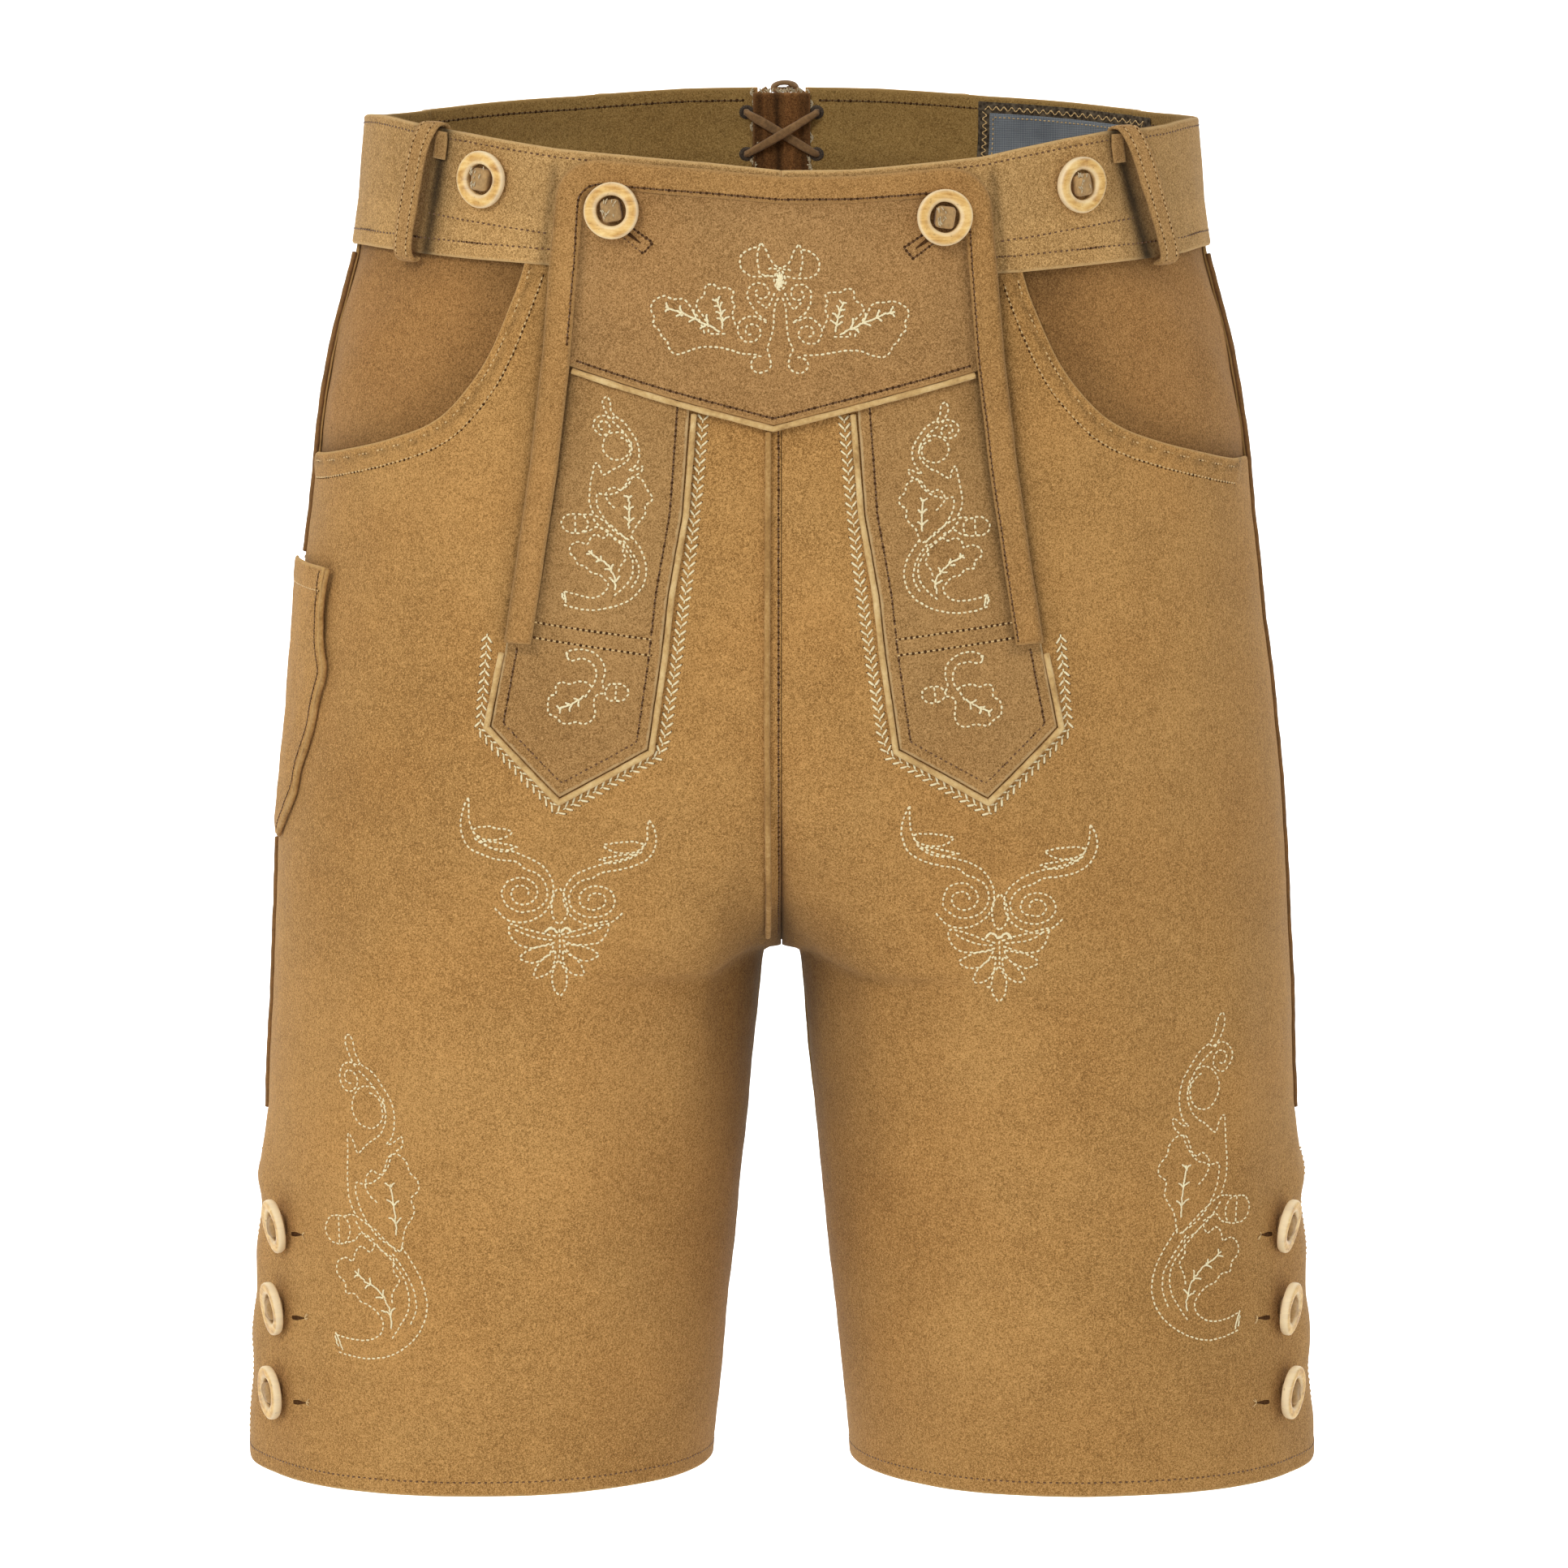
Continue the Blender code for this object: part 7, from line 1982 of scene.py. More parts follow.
def low_motif():
    """Small sprig: a hooked double stem, an oak leaf with its vein, and an acorn. x to the middle."""
    s = [("run", [(-8.4, 12.6), (-8.0, 14.8), (-3.6, 16.4), (1.6, 15.6), (5.6, 12.6), (6.8, 8.6), (6.0, 4.2), (7.2, 1.6)]),
         ("run", [(-8.4, 12.6), (-6.6, 11.4), (-2.6, 12.6), (1.4, 11.6), (3.4, 8.4), (3.6, 4.6), (1.6, 1.0), (-0.2, -2.4)]),
         ("satin", [(-8.4, 14.6), (-8.0, 12.2)])]
    s += [("run", [(2.6, 2.0), (0.4, 3.6), (-3.4, 3.6), (-6.2, 2.2), (-9.4, 2.8), (-11.4, 0.6), (-10.8, -2.2), (-13.4, -3.8),
                   (-13.8, -7.0), (-13.0, -10.2), (-10.0, -11.2), (-8.2, -13.4), (-5.2, -13.0), (-2.6, -12.0), (0.2, -12.8),
                   (3.6, -11.2), (4.4, -8.0), (3.8, -4.0), (4.2, -0.8), (7.4, 0.0)])]
    s += veins(bow((0.0, -1.4), (-9.6, -8.0), 0.05), 3, 3.0, 0.02, 0.98)
    s += acorn(12.2, 1.2, 3.3, 2)
    return s


def squeeze(strokes, kx, y0, ky, y1):
    """Scales a drawing across by kx and up from y0 by ky, y0 landing on y1."""
    return [(kind, [(x * kx, (y - y0) * ky + y1) for x, y in line]) for kind, line in strokes]


def horn(k):
    """One curved horn with its scroll; k is 1 for the higher one."""
    tip = 36.0 + 2 * k
    s = [("run", [(-38.6, tip), (-41.4, 30.0), (-41.8, 22.0), (-38.8, 14.2), (-32.6, 9.6), (-25.0, 7.4), (-18.4, 6.4)]
          + spiral(-15.6, -9.2, 12.4, 2.6, 84, -2.3)),
         ("run", [(-38.6, tip), (-38.4, 30.0), (-37.8, 24.0), (-34.6, 18.0), (-28.6, 14.0), (-21.0, 11.6), (-14.0, 9.4),
                  (-7.2, 5.0), (-2.8, -2.2), (-2.4, -10.8), (-6.0, -18.8), (-13.4, -23.4), (-21.8, -22.4), (-27.6, -16.6)])]
    # two small leaves inside the horn
    m = bow((-37.0, 22.0), (-19.6, 21.6), -0.12)
    s += [("run", half_leaf(m, 3.8, 0, 1)), ("run", half_leaf(m, 2.8, 0, -1))]
    m = bow((-34.6, 15.6), (-16.8, 13.4), -0.15)
    s += [("run", half_leaf(m, 4.0, 0, 1)), ("run", [(-36.2, 18.4), (-30.0, 13.6), (-23.0, 11.6), (-18.6, 13.8)])]
    return s


def thigh_motif():
    """Two horn scrolls over a drop, a small bow, two wide leaves and a fan of petals; x to the outside."""
    s = squeeze(horn(1), 0.92, -6.2, 0.80, -13.2)
    s += squeeze([(kind, [(-x, y) for x, y in line]) for kind, line in horn(0)], 0.92, -6.2, 0.72, -16.4)
    # drop in the middle
    m = bow((0.4, -28.0), (0.2, -13.6), 0.0)
    s += [("run", half_leaf(m, 3.2, 0, 1)), ("run", half_leaf(m, 3.2, 0, -1))]
    # small bow
    for sg in (1, -1):
        s += [("satin", [(-5.4 * sg, -31.8), (-3.8 * sg, -29.8), (-2.0 * sg, -30.0), (-0.4 * sg, -32.0)]),
              ("satin", [(-5.0 * sg, -31.2), (-2.8 * sg, -29.2), (-0.8 * sg, -31.4)])]
    # wide double leaves, then smaller petals, one side then the other
    for sg in (1, -1):
        d = -0.8 if sg < 0 else 0.0
        s += [("run", [(x * sg, y + d) for x, y in
                       [(0.8, -32.8), (6.4, -31.0), (12.0, -29.4), (17.0, -27.6), (19.6, -27.4), (19.4, -31.0), (16.6, -35.4),
                        (11.6, -37.0), (6.2, -36.2), (1.0, -34.6)]]),
              ("run", [(x * sg, y + d) for x, y in [(17.4, -29.2), (13.0, -31.6), (7.6, -33.2), (2.2, -33.6)]])]
        for base, tip, w, b in (((2.0, -36.4), (15.6, -41.0), 2.9, -0.10), ((1.6, -38.8), (10.0, -49.0), 2.7, -0.08)):
            mid = bow((base[0] * sg, base[1]), (tip[0] * sg, tip[1] + d), b * sg)
            s += [("run", half_leaf(mid, w, 0, 1, fat=1.25)), ("run", half_leaf(mid, w, 0, -1, fat=1.25))]
    m = bow((0.0, -43.0), (0.2, -57.6), 0.0)
    s += [("run", half_leaf(m, 3.0, 0, 1, fat=1.1)), ("run", half_leaf(m, 3.0, 0, -1, fat=1.1)),
          ("run", [(0.0, -30.0), (0.2, -36.0), (0.0, -42.6)])]
    return s


EMB = {k: Thread("embroidery_" + k, M_THREAD, "piping") for k in ("yoke", "strips", "thighs", "legs")}
UNEVEN = np.random.default_rng(23)


def embroider(th, strokes, to_flat, node, side, scale=1.0, flip=1.0, turn=0.0, pitch=2.2, thin=1.0):
    ca, sa = math.cos(math.radians(turn)), math.sin(math.radians(turn))
    for kind, line in strokes:
        # a hand-guided machine wanders by a few tenths of a millimetre
        w = UNEVEN.normal(0, 0.16, (len(line), 2))
        pts = [(p[0] * scale * flip + w[i, 0], p[1] * scale + w[i, 1]) for i, p in enumerate(line)]
        pts = [(x * ca - y * sa, x * sa + y * ca) for x, y in pts]
        fine = smooth(pts, 0.9, 2) if len(pts) > 2 else run(pts, 0.8)
        P, N = path3(to_flat(fine), node, side, 0.0, 0.7)
        if kind == "run":
            sew(th, P, N, pitch=pitch, share=0.70, wide=0.78 * thin, high=0.55, hole=0.0, jitter=0.08)
        else:
            L = total(P)
            n = max(1, int(round(L / 1.15)))
            s0 = np.arange(n) * L / n - 0.15
            A, NA = at_lengths(P, N, np.clip(s0, 0, L))
            B, NB = at_lengths(P, N, np.clip(s0 + L / n + 0.45, 0, L))
            S = np.cross(B - A, NA)
            S /= np.maximum(np.linalg.norm(S, axis=1, keepdims=True), 1e-9)
            j = UNEVEN.normal(0, 0.14, n)[:, None]
            th.add(A + S * j + NA * 0.10, B + S * j + NB * 0.10, NA, 0.80 * thin, 0.5)


def at_front(cx, cl, shift=0.0):
    return lambda pts: fx([(cx + x, cl + y) for x, y in pts], shift)


# on the yoke, both halves from the knot
KNOT = (-0.6, -22.4)
for sg in (1.0, -1.0):
    drop = -0.9 if sg > 0 else 0.0
    embroider(EMB["yoke"], [(k, [(x, y + drop * min(1.0, abs(x) / 20.0)) for x, y in l]) for k, l in bib_half()],
              at_front(*KNOT), "flap_yoke", 1, flip=sg)
# the knot: thread wound over itself
for k in range(16):
    a = 2 * math.pi * k / 16 + UNEVEN.normal(0, 0.2)
    r = 2.4 + UNEVEN.normal(0, 0.3)
    line = [(r * math.cos(a) * 0.75, 0.2 + r * math.sin(a) * 1.5), (-r * math.cos(a + 0.5) * 0.5, -r * math.sin(a + 0.5) * 1.2)]
    embroider(EMB["yoke"], [("satin", line)], at_front(*KNOT), "flap_yoke", 1)
embroider(EMB["yoke"], [("run", [(2.2 * math.cos(a), 0.4 + 4.2 * math.sin(a)) for a in np.linspace(0, 2 * math.pi, 18)]),
                        ("run", [(-4.6, 4.4), (-3.0, 5.2), (-1.6, 4.6), (0.0, 5.8), (1.6, 4.6), (3.0, 5.2), (4.6, 4.2)]),
                        ("run", [(-7.4, 2.2), (-1.8, 2.0)])], at_front(*KNOT), "flap_yoke", 1)

for name, side in names("flap_strip"):
    # the right-hand strip's drawing is the left's, turned over
    flip = -1.0 if side > 0 else 1.0
    cx = (62.4 if side > 0 else -66.8)
    up = -116.6 if side > 0 else -115.4

    def flat(pts, cx=cx, up=up, side=side):
        return fx([((cx + x) * side, up + y) for x, y in pts])
    embroider(EMB["strips"], strip_motif(), flat, name, side, scale=0.97, flip=flip, turn=2.0 if side < 0 else -2.0)
    cx, up = (70.4, -192.0) if side > 0 else (-75.4, -191.0)

    def flat(pts, cx=cx, up=up, side=side):
        return fx([((cx + x) * side, up + y) for x, y in pts])
    embroider(EMB["strips"], low_motif(), flat, name, side, scale=1.0, flip=flip, turn=-6.0 if side < 0 else 6.0)

for name, side in names("front"):
    cx, up = (84.6, -258.0) if side > 0 else (-86.6, -255.6)

    def flat(pts, cx=cx, up=up, side=side):
        return fx([((cx + x) * side, up + y) for x, y in pts])
    # the horn on the wearer's right of each motif stands higher
    embroider(EMB["thighs"], thigh_motif(), flat, name, side, scale=0.985, flip=1.0, turn=0.0)
    # on the legs, laid out by arc forward of the side line
    mid_x, up = (168.2, -390.0) if side > 0 else (163.2, -397.2)

    def flat(pts, mid_x=mid_x, up=up, side=side):
        out = []
        v0 = v_at_x(np.full(len(pts), mid_x), np.array([up + y for x, y in pts]))
        base = (1.0 - v0) * arc_len(np.array([up + y for x, y in pts]), False)
        # x of the drawing runs to the garment's middle
        s = base + np.array([x for x, y in pts])
        return ax([(float(a), up + y) for a, (x, y) in zip(s, pts)])
    embroider(EMB["legs"], squeeze(strip_motif(), 0.87, 0.0, 0.975, 0.0), flat, name, side, scale=1.50, flip=1.0,
              turn=8.5 if side < 0 else 7.0, pitch=2.3, thin=0.86)
for th in EMB.values():
    th.build()
# ------------------------------------------------------------------ piping, seam welts
def welt(name, line, side, height_at, radius, mat, shift=0.0, flat_pts=None, wide=1.0, high=1.0, node=None):
    pts = flat_pts if flat_pts is not None else fx(run(line, 1.4), shift)
    F = np.array([(a * V_UNIT, b) for a, b in pts])
    F = np.array(run([tuple(p) for p in F], 1.4))
    v, lv = F[:, 0] / V_UNIT, F[:, 1]
    h = height_at(v, lv) if callable(height_at) else height_at
    P, N = place(v, lv, h, side)
    s = np.concatenate([[0.0], np.cumsum(np.linalg.norm(np.diff(P, axis=0), axis=1))])
    # folded leather round a cord: it swells and thins a little
    k = 1.0 + 0.045 * np.sin(s * 0.31 + radius * 3) + 0.035 * np.sin(s * 0.83 + 1.0)
    V, T = tube(name, P, N, 2 * radius * wide * k, 2 * radius * high * k, None, sides=12)
    ob = mesh_object(name, V, T, [mat], None, {"edge": np.ones(len(V)), "tint_and_shade": np.ones(len(V))})
    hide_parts(node or name.replace("_leather", ""))
    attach(ob, "root")
    return ob


PIPE = 1.2
welt("yoke_welt_leather", beside([(-76.0, yoke_low(76.0)), (0.0, YOKE_V[0][1]), (76.0, yoke_low(76.0))], -1.6),
     1, STRIP_LIFT + 0.4 + PIPE, PIPE, M_PIPING, FLAP_SHIFT)
for name, side in names("strip_welt"):
    line = beside(list(STRIP_EDGE), -1.8)
    line[0] = (line[0][0], yoke_low(line[0][0]) - 4.2)
    line[-1] = (line[-1][0] + 0.2, line[-1][1] - 4.0)
    welt(name + "_leather", line, side, PIPE + 0.5, PIPE, M_PIPING, FLAP_SHIFT * side)
welt("centre_welt_leather", [(5.0, yoke_low(5.0) - 4.4), (5.4, -150.0), (5.6, -230.0), (6.2, -294.0), (6.3, -302.0)], -1,
     PIPE + 0.5, PIPE, M_CENTRE)
for name, side in names("side_welt"):
    parts = [("", -33.0, -374.0)] if side > 0 else [("_upper", -33.0, -148.0), ("_lower", -264.0, -374.0)]
    for tail, top, low_l in parts:
        welt(name + tail + "_leather", None, side, 0.5, 1.0, M_SEAM, flat_pts=seam_line(SEAM_AT, top, low_l, 1.5),
             node=name + tail)
line = beside(smooth(list(KNIFE_EDGE), 2.0), 1.95)[:-1]
welt("knife_pocket_welt_leather", None, -1, lambda v, lv: knife_lift(v, lv) - 0.6, 1.0, M_CENTRE, flat_pts=ax(line),
     node="knife_pocket_welt")

# ------------------------------------------------------------------ ring buttons and their thongs
RING_OUT, RING_IN, RING_WALL = 10.8, 5.9, 3.8


def button_frame(v, lv, up, side):
    p, n = place([v], [lv], up, side, False)
    z = n[0]
    x = np.cross([0.0, 0.0, 1.0], z)
    x /= np.linalg.norm(x)
    y = np.cross(z, x)
    return p[0], x, y, z


def ring(name, v, lv, base, side, tilt=(0.0, 0.0), seed=0, oval=0.0, thong_turn=8.0):
    o, x, y, z = button_frame(v, lv, base + RING_WALL / 2, side)
    tx, ty = math.radians(tilt[0]), math.radians(tilt[1])
    z2 = z + x * math.sin(tx) + y * math.sin(ty)
    z2 /= np.linalg.norm(z2)
    x2 = x - z2 * np.dot(x, z2)
    x2 /= np.linalg.norm(x2)
    y2 = np.cross(z2, x2)
    rng = np.random.default_rng(100 + seed)
    h = RING_WALL / 2
    prof = [(RING_OUT - 1.5, h), (RING_OUT - 0.75, h - 0.10), (RING_OUT - 0.25, h - 0.42), (RING_OUT, h - 1.0),
            (RING_OUT + 0.03, 0.0), (RING_OUT - 0.1, 0.9 - h), (RING_OUT - 0.6, 0.25 - h), (RING_OUT - 1.6, -h),
            (RING_IN + 1.2, -h), (RING_IN + 0.3, 0.35 - h), (RING_IN, 0.9 - h), (RING_IN, h - 1.3),
            (RING_IN + 0.22, h - 0.75), (RING_IN + 0.95, h - 0.28), (RING_IN + 1.7, h - 0.12), (RING_IN + 3.0, h + 0.02)]
    white = np.array([0.0, 0.25, 0.8, 1.0, 1.0, 1.0, 1.0, 0.8, 0.5, 0.5, 0.4, 0.4, 0.75, 0.55, 0.1, 0.0])
    m, k = 64, len(prof)
    V, E = [], []
    ph = rng.uniform(0, 6.28, 4)
    for i in range(m):
        a = 2 * math.pi * i / m
        wob = 1.0 + 0.010 * math.sin(2 * a + ph[0]) + 0.008 * math.sin(3 * a + ph[1]) + oval * abs(math.cos(2 * a + ph[2])) ** 2
        lift = 0.14 * math.sin(a + ph[3]) + 0.08 * math.sin(3 * a + ph[0])
        for j, (r, zz) in enumerate(prof):
            rr = r * (wob if r > 8 else 1.0 + 0.01 * math.sin(4 * a + ph[1]))
            V.append(o + x2 * rr * math.cos(a) + y2 * rr * math.sin(a) + z2 * (zz + (lift if zz > 0 else 0.0)))
            E.append(white[j])
    T = []
    for i in range(m):
        for j in range(k):
            a, b = i * k + j, i * k + (j + 1) % k
            c, d = ((i + 1) % m) * k + (j + 1) % k, ((i + 1) % m) * k + j
            T += [(a, b, c), (a, c, d)]
    V, T = np.array(V), np.array(T)
    q = V[T]
    # the ring's outer wall must face outwards
    i0 = 3 * 2
    fn = np.cross(q[i0, 1] - q[i0, 0], q[i0, 2] - q[i0, 0])
    if np.dot(fn, q[i0].mean(0) - o) < 0:
        T = T[:, ::-1]
    ob = mesh_object(name + "_ring", V * MM, T, [M_WOOD], None, {"edge": E, "tint_and_shade": np.ones(len(V))})
    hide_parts(name)
    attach(ob, "root")
    # the thong: a folded leather tab, square, domed and a little twisted, drawn up through the ring
    n = 15
    g = np.linspace(-1, 1, n)
    gx, gy = np.meshgrid(g, g)
    ang = math.radians(thong_turn + rng.uniform(-5, 5))
    sq = 3.95
    # square outline with round corners
    rr = np.maximum(np.abs(gx), np.abs(gy))
    cor = (np.abs(gx) ** 5 + np.abs(gy) ** 5) ** 0.2
    f = np.where(cor > 0, rr / np.maximum(cor, 1e-9), 1.0)
    px, py = gx * f * sq * 0.96, gy * f * sq * 1.08
    top = h - 0.15 + 0.75 * (1 - np.clip(rr, 0, 1) ** 4) - 0.55 * rr ** 6 + 0.22 * np.sin(gx * 2.3 + ph[0]) * np.sin(gy * 3.1 + ph[1]) \
        - 0.5 * hump((gx + 0.25 * math.sin(ph[2])) / 0.16) * 0.5 + 0.35 * gy * math.sin(ph[3])
    low = np.full(px.shape, -h - base + 0.2 if base < 3 else -h - 1.2)
    c, s = math.cos(ang), math.sin(ang)
    X, Y = px * c - py * s, px * s + py * c
    up = o + X[..., None] * x2 + Y[..., None] * y2 + top[..., None] * z2
    dn = o + X[..., None] * x2 * 0.92 + Y[..., None] * y2 * 0.92 + low[..., None] * z2
    # ring of the rim, half way, bulged
    Vt = [up.reshape(-1, 3), dn.reshape(-1, 3)]
    rim = [(0, j) for j in range(n)] + [(i, n - 1) for i in range(1, n)] + [(n - 1, j) for j in range(n - 2, -1, -1)] \
        + [(i, 0) for i in range(n - 2, 0, -1)]
    T = []
    idx = lambda i, j: i * n + j
    for i in range(n - 1):
        for j in range(n - 1):
            a, b, c2, d = idx(i, j), idx(i, j + 1), idx(i + 1, j + 1), idx(i + 1, j)
            T += [(a, b, c2), (a, c2, d)]
            T += [(a + n * n, c2 + n * n, b + n * n), (a + n * n, d + n * n, c2 + n * n)]
    for (i, j), (i2, j2) in zip(rim, rim[1:] + rim[:1]):
        a, b = idx(i, j), idx(i2, j2)
        T += [(a, a + n * n, b), (b, a + n * n, b + n * n)]
    V, T = np.vstack(Vt), np.array(T)
    q = V[T[0]]
    if np.dot(np.cross(q[1] - q[0], q[2] - q[0]), z2) < 0:
        T = T[:, ::-1]
    edge = np.concatenate([1 - np.clip((rr.ravel() - 0.75) / 0.25, 0, 1), np.zeros(n * n)])
    ob = mesh_object(name + "_thong_leather", V * MM, T, [M_THONG], None, {"edge": edge, "tint_and_shade": np.ones(len(V))})
    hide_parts(name + "_thong")
    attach(ob, "root")


for name, side in names("flap_button"):
    ring(name, one(v_at_x(62.0 - 1.2 * side, 1.0)), 1.0, 6.15, side, tilt=(0.0, 0.0), seed=5 + side, thong_turn=-12.0 * side)
for name, side in names("brace_button"):
    brace_lv = 5.2 if side > 0 else 6.2
    ring(name, one(v_at_x(113.4, brace_lv)), brace_lv, 2.1 + 0.45, side, tilt=(3.0 * side, -2.0), seed=15 + side, oval=0.012,
         thong_turn=9.0 * side)
for k, lv in enumerate(VENT_BUTTONS):
    for name, side in names("leg_button_%d" % (k + 1)):
        ring(name, one(v_at_x(199.2 + 0.035 * (-415.8 - lv), lv)), lv, 2.0, side, tilt=((6.5 + 1.5 * (k == 1)) * side, -12.0 + 3.0 * k),
             seed=25 + 3 * k + side, thong_turn=6.0)

# loose fibres at the buttons' thongs
WISP = Thread("thong_fibres", M_FRAY, "thong")
for (node, x, lv, base) in (("flap", 62.0, 1.0, 6.15), ("brace", 113.4, 10.9, 2.55)):
    for side in (1, -1):
        xx = x - 1.2 * side if node == "flap" else x
        if node == "brace":
            lv = 5.2 if side > 0 else 6.2
        o, bx_, by_, bz_ = button_frame(one(v_at_x(xx, lv)), lv, base + RING_WALL + 0.75, side)
        for k in range(16):
            # more of them at the picture's left edge of each thong
            u = UNEVEN.uniform(-3.4, -1.2) if k < 11 else UNEVEN.uniform(-3.0, 3.0)
            w = UNEVEN.uniform(-3.6, 3.6)
            a = UNEVEN.uniform(0.9, 2.2)
            r = max(abs(u), abs(w)) / 4.0
            p = o + bx_ * u + by_ * w - bz_ * (0.55 * r ** 6)
            d = bx_ * math.cos(a) + by_ * math.sin(a)
            WISP.add(p[None], (p + d * UNEVEN.uniform(1.0, 2.0))[None], bz_[None], 0.42, 0.3)
WISP.build()

# slits beside the leg buttons, painted dark as shade, with frayed fibres
FRAY = Thread("buttonhole_fray", M_TAN, "suede")
for k, lv in enumerate(VENT_BUTTONS):
    for side in (1, -1):
        s0 = (1.0 - one(v_at_x(199.2, lv))) * float(arc_len(lv, False))
        flat = ax([(s0 + d, lv + 0.12 * d - 3.0) for d in np.linspace(8.0, 16.5, 9)])
        P, N = path3(flat, "front_left" if side > 0 else "front_right", side, 0.05)
        V, T = tube("slit", P, N, np.interp(np.linspace(0, 1, len(P)), [0, 0.35, 1], [1.6, 2.0, 0.35]), 0.45, None)
        ob = mesh_object("leg_buttonhole_%d_%s" % (k + 1, "left" if side > 0 else "right"), V, T, [M_HOLE_SHADE])
        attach(ob, "root")
        e, m = P[-1], N[-1]
        t = P[-1] - P[-4]
        t /= np.linalg.norm(t)
        q = np.cross(t, m)
        for j in range(5):
            d = t * UNEVEN.uniform(0.4, 1.0) + q * UNEVEN.uniform(-0.9, 0.9)
            d /= np.linalg.norm(d)
            FRAY.add((e + m * 0.15)[None], (e + d * UNEVEN.uniform(1.4, 3.0) + m * 0.2)[None], m[None], 0.4, 0.3)
FRAY.build()

# ------------------------------------------------------------------ belt loop ends: a short stub folded under each loop's top
for name, side in names("belt_loop_front"):
    x0 = 126.0 if side > 0 else 127.6
    xs = ((x0, 21.0), (x0 - 0.2, 17.0), (x0 + 0.3, 11.0))
    a = fx([(x, lv) for x, lv in xs])
    b = fx([(x + 4.6, lv) for x, lv in xs])
    ob = cut(name + "_stub", a + list(reversed(b)), side=side, lift=lambda v, lv: 4.3 + 0.5 * np.sin(lv * 0.2), thick=1.5,
             mats=[M_LOOP, M_FLESH], grid=1.2, step=1.2, soft=0.4, soft_w=1.0, tint_and_shade=0.8)
    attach(ob, "root")

LOOP_T = Thread("loop_stitches", M_TAN, "suede")
for name, P, M, width in LOOP_ROWS:
    T = np.gradient(P, axis=0)
    T /= np.linalg.norm(T, axis=1, keepdims=True)
    B = np.cross(T, M)
    a = int(len(P) * 0.22)
    b = int(len(P) * 0.90)
    for sg in (1.0, -1.0):
        up = M * (1.02 if (M[len(P) // 2] * (P[len(P) // 2] - P.mean(0) * 0)).sum() > 0 else -1.02)
        Q = P + B * sg * (width / 2 - 2.3) + up
        sew(LOOP_T, Q[a:b], up[a:b] / 1.02, pitch=2.4, wide=0.5, high=0.3, hole=0.40)
LOOP_T.build()

# ------------------------------------------------------------------ lace: a flat thong crossing the slit, its eyelets and knot
OUT_BAND, OUT_SEAT, IN_ALL = BAND_LIFT + 0.4 + 1.2, 0.5 + 1.2, -3.1 - 0.5 - 1.2
EYES = ((14.4, 12.0, OUT_BAND), (14.4, -6.0, OUT_BAND), (15.5, -44.0, OUT_SEAT), (12.5, -62.0, OUT_SEAT))


def toward(a, b, dist):
    d = math.dist(a, b)
    return (a[0] + (b[0] - a[0]) * dist / d, a[1] + (b[1] - a[1]) * dist / d)


def lace_half(first):
    s = first
    route = [(s * 5.6, 20.6, OUT_BAND + 1.2), (s * 9.0, 18.2, OUT_BAND + 0.4)]
    here = (s * 5.6, 20.6)
    outside = True
    for k, (ex, el, eo) in enumerate(EYES):
        eye = (s * ex, el)
        nxt = (-s * EYES[k + 1][0], EYES[k + 1][1]) if k < 3 else (-s * ex, el)
        a, b = toward(eye, here, 3.2), toward(eye, here, 1.0)
        c, d = toward(eye, nxt, 1.0), toward(eye, nxt, 3.2)
        hi, lo = eo, IN_ALL
        seq = [(a, hi), (b, hi - 0.45), (eye, hi - 1.7), (eye, (hi + lo) / 2), (eye, lo + 1.7), (c, lo + 0.45), (d, lo)]
        if not outside:
            seq = [(a, lo), (b, lo + 0.45), (eye, lo + 1.7), (eye, (hi + lo) / 2), (eye, hi - 1.7), (c, hi - 0.45), (d, hi)]
        route += [(p[0], p[1], h) for p, h in seq]
        outside = not outside
        if k < 3:
            t = abs(eye[0]) / (abs(eye[0]) + abs(nxt[0]))
            cx, cl = eye[0] + (nxt[0] - eye[0]) * t, eye[1] + (nxt[1] - eye[1]) * t
            over = 3.0 if first > 0 else 0.0
            level_h = (OUT_BAND if k == 1 else IN_ALL)
            route.append((cx, cl, level_h + over if k == 1 else level_h - over))
        here = eye
        s = -s
    return route


one_r, two_r = lace_half(1.0), lace_half(-1.0)
flat_r = one_r + list(reversed(two_r))
flat_r = [p for i, p in enumerate(flat_r) if i == 0 or math.dist(p, flat_r[i - 1]) > 0.3]
R = np.array(smooth([tuple(p) for p in flat_r], 1.2, 2))
vv = v_at_x(np.abs(R[:, 0]), R[:, 1], True)
P1, N1 = place(vv, R[:, 1], R[:, 2], 1, False)
P1[:, 0] *= np.where(R[:, 0] < 0, -1.0, 1.0)
N1[:, 0] *= np.where(R[:, 0] < 0, -1.0, 1.0)
# the strap narrows as it is pinched through a hole, where it runs along the surface's normal
Tn = np.gradient(P1, axis=0)
Tn /= np.maximum(np.linalg.norm(Tn, axis=1, keepdims=True), 1e-9)
dive = np.abs((Tn * N1).sum(1))
dive = np.convolve(np.pad(dive, 4, 'edge'), np.ones(9) / 9, 'valid')
side_dir = np.tile(np.array([0.0, 0.0, 1.0]), (len(P1), 1))
NN = N1 * (1 - dive)[:, None] + side_dir * dive[:, None] * 0.5
wide = 3.7 - 1.2 * np.clip(dive * 1.5, 0, 1) + 0.15 * np.sin(np.arange(len(P1)) * 0.21)
V, T = tube("lace_strap", P1, NN, wide, 1.25 + 1.5 * np.clip(dive * 1.5, 0, 1), None, sides=12, flat=0.6)
LACE_OB = mesh_object("lace_strap", V, T, [M_LACE], None, {"edge": np.ones(len(V)), "tint_and_shade": np.ones(len(V))})
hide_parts("lace")
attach(LACE_OB, "root")

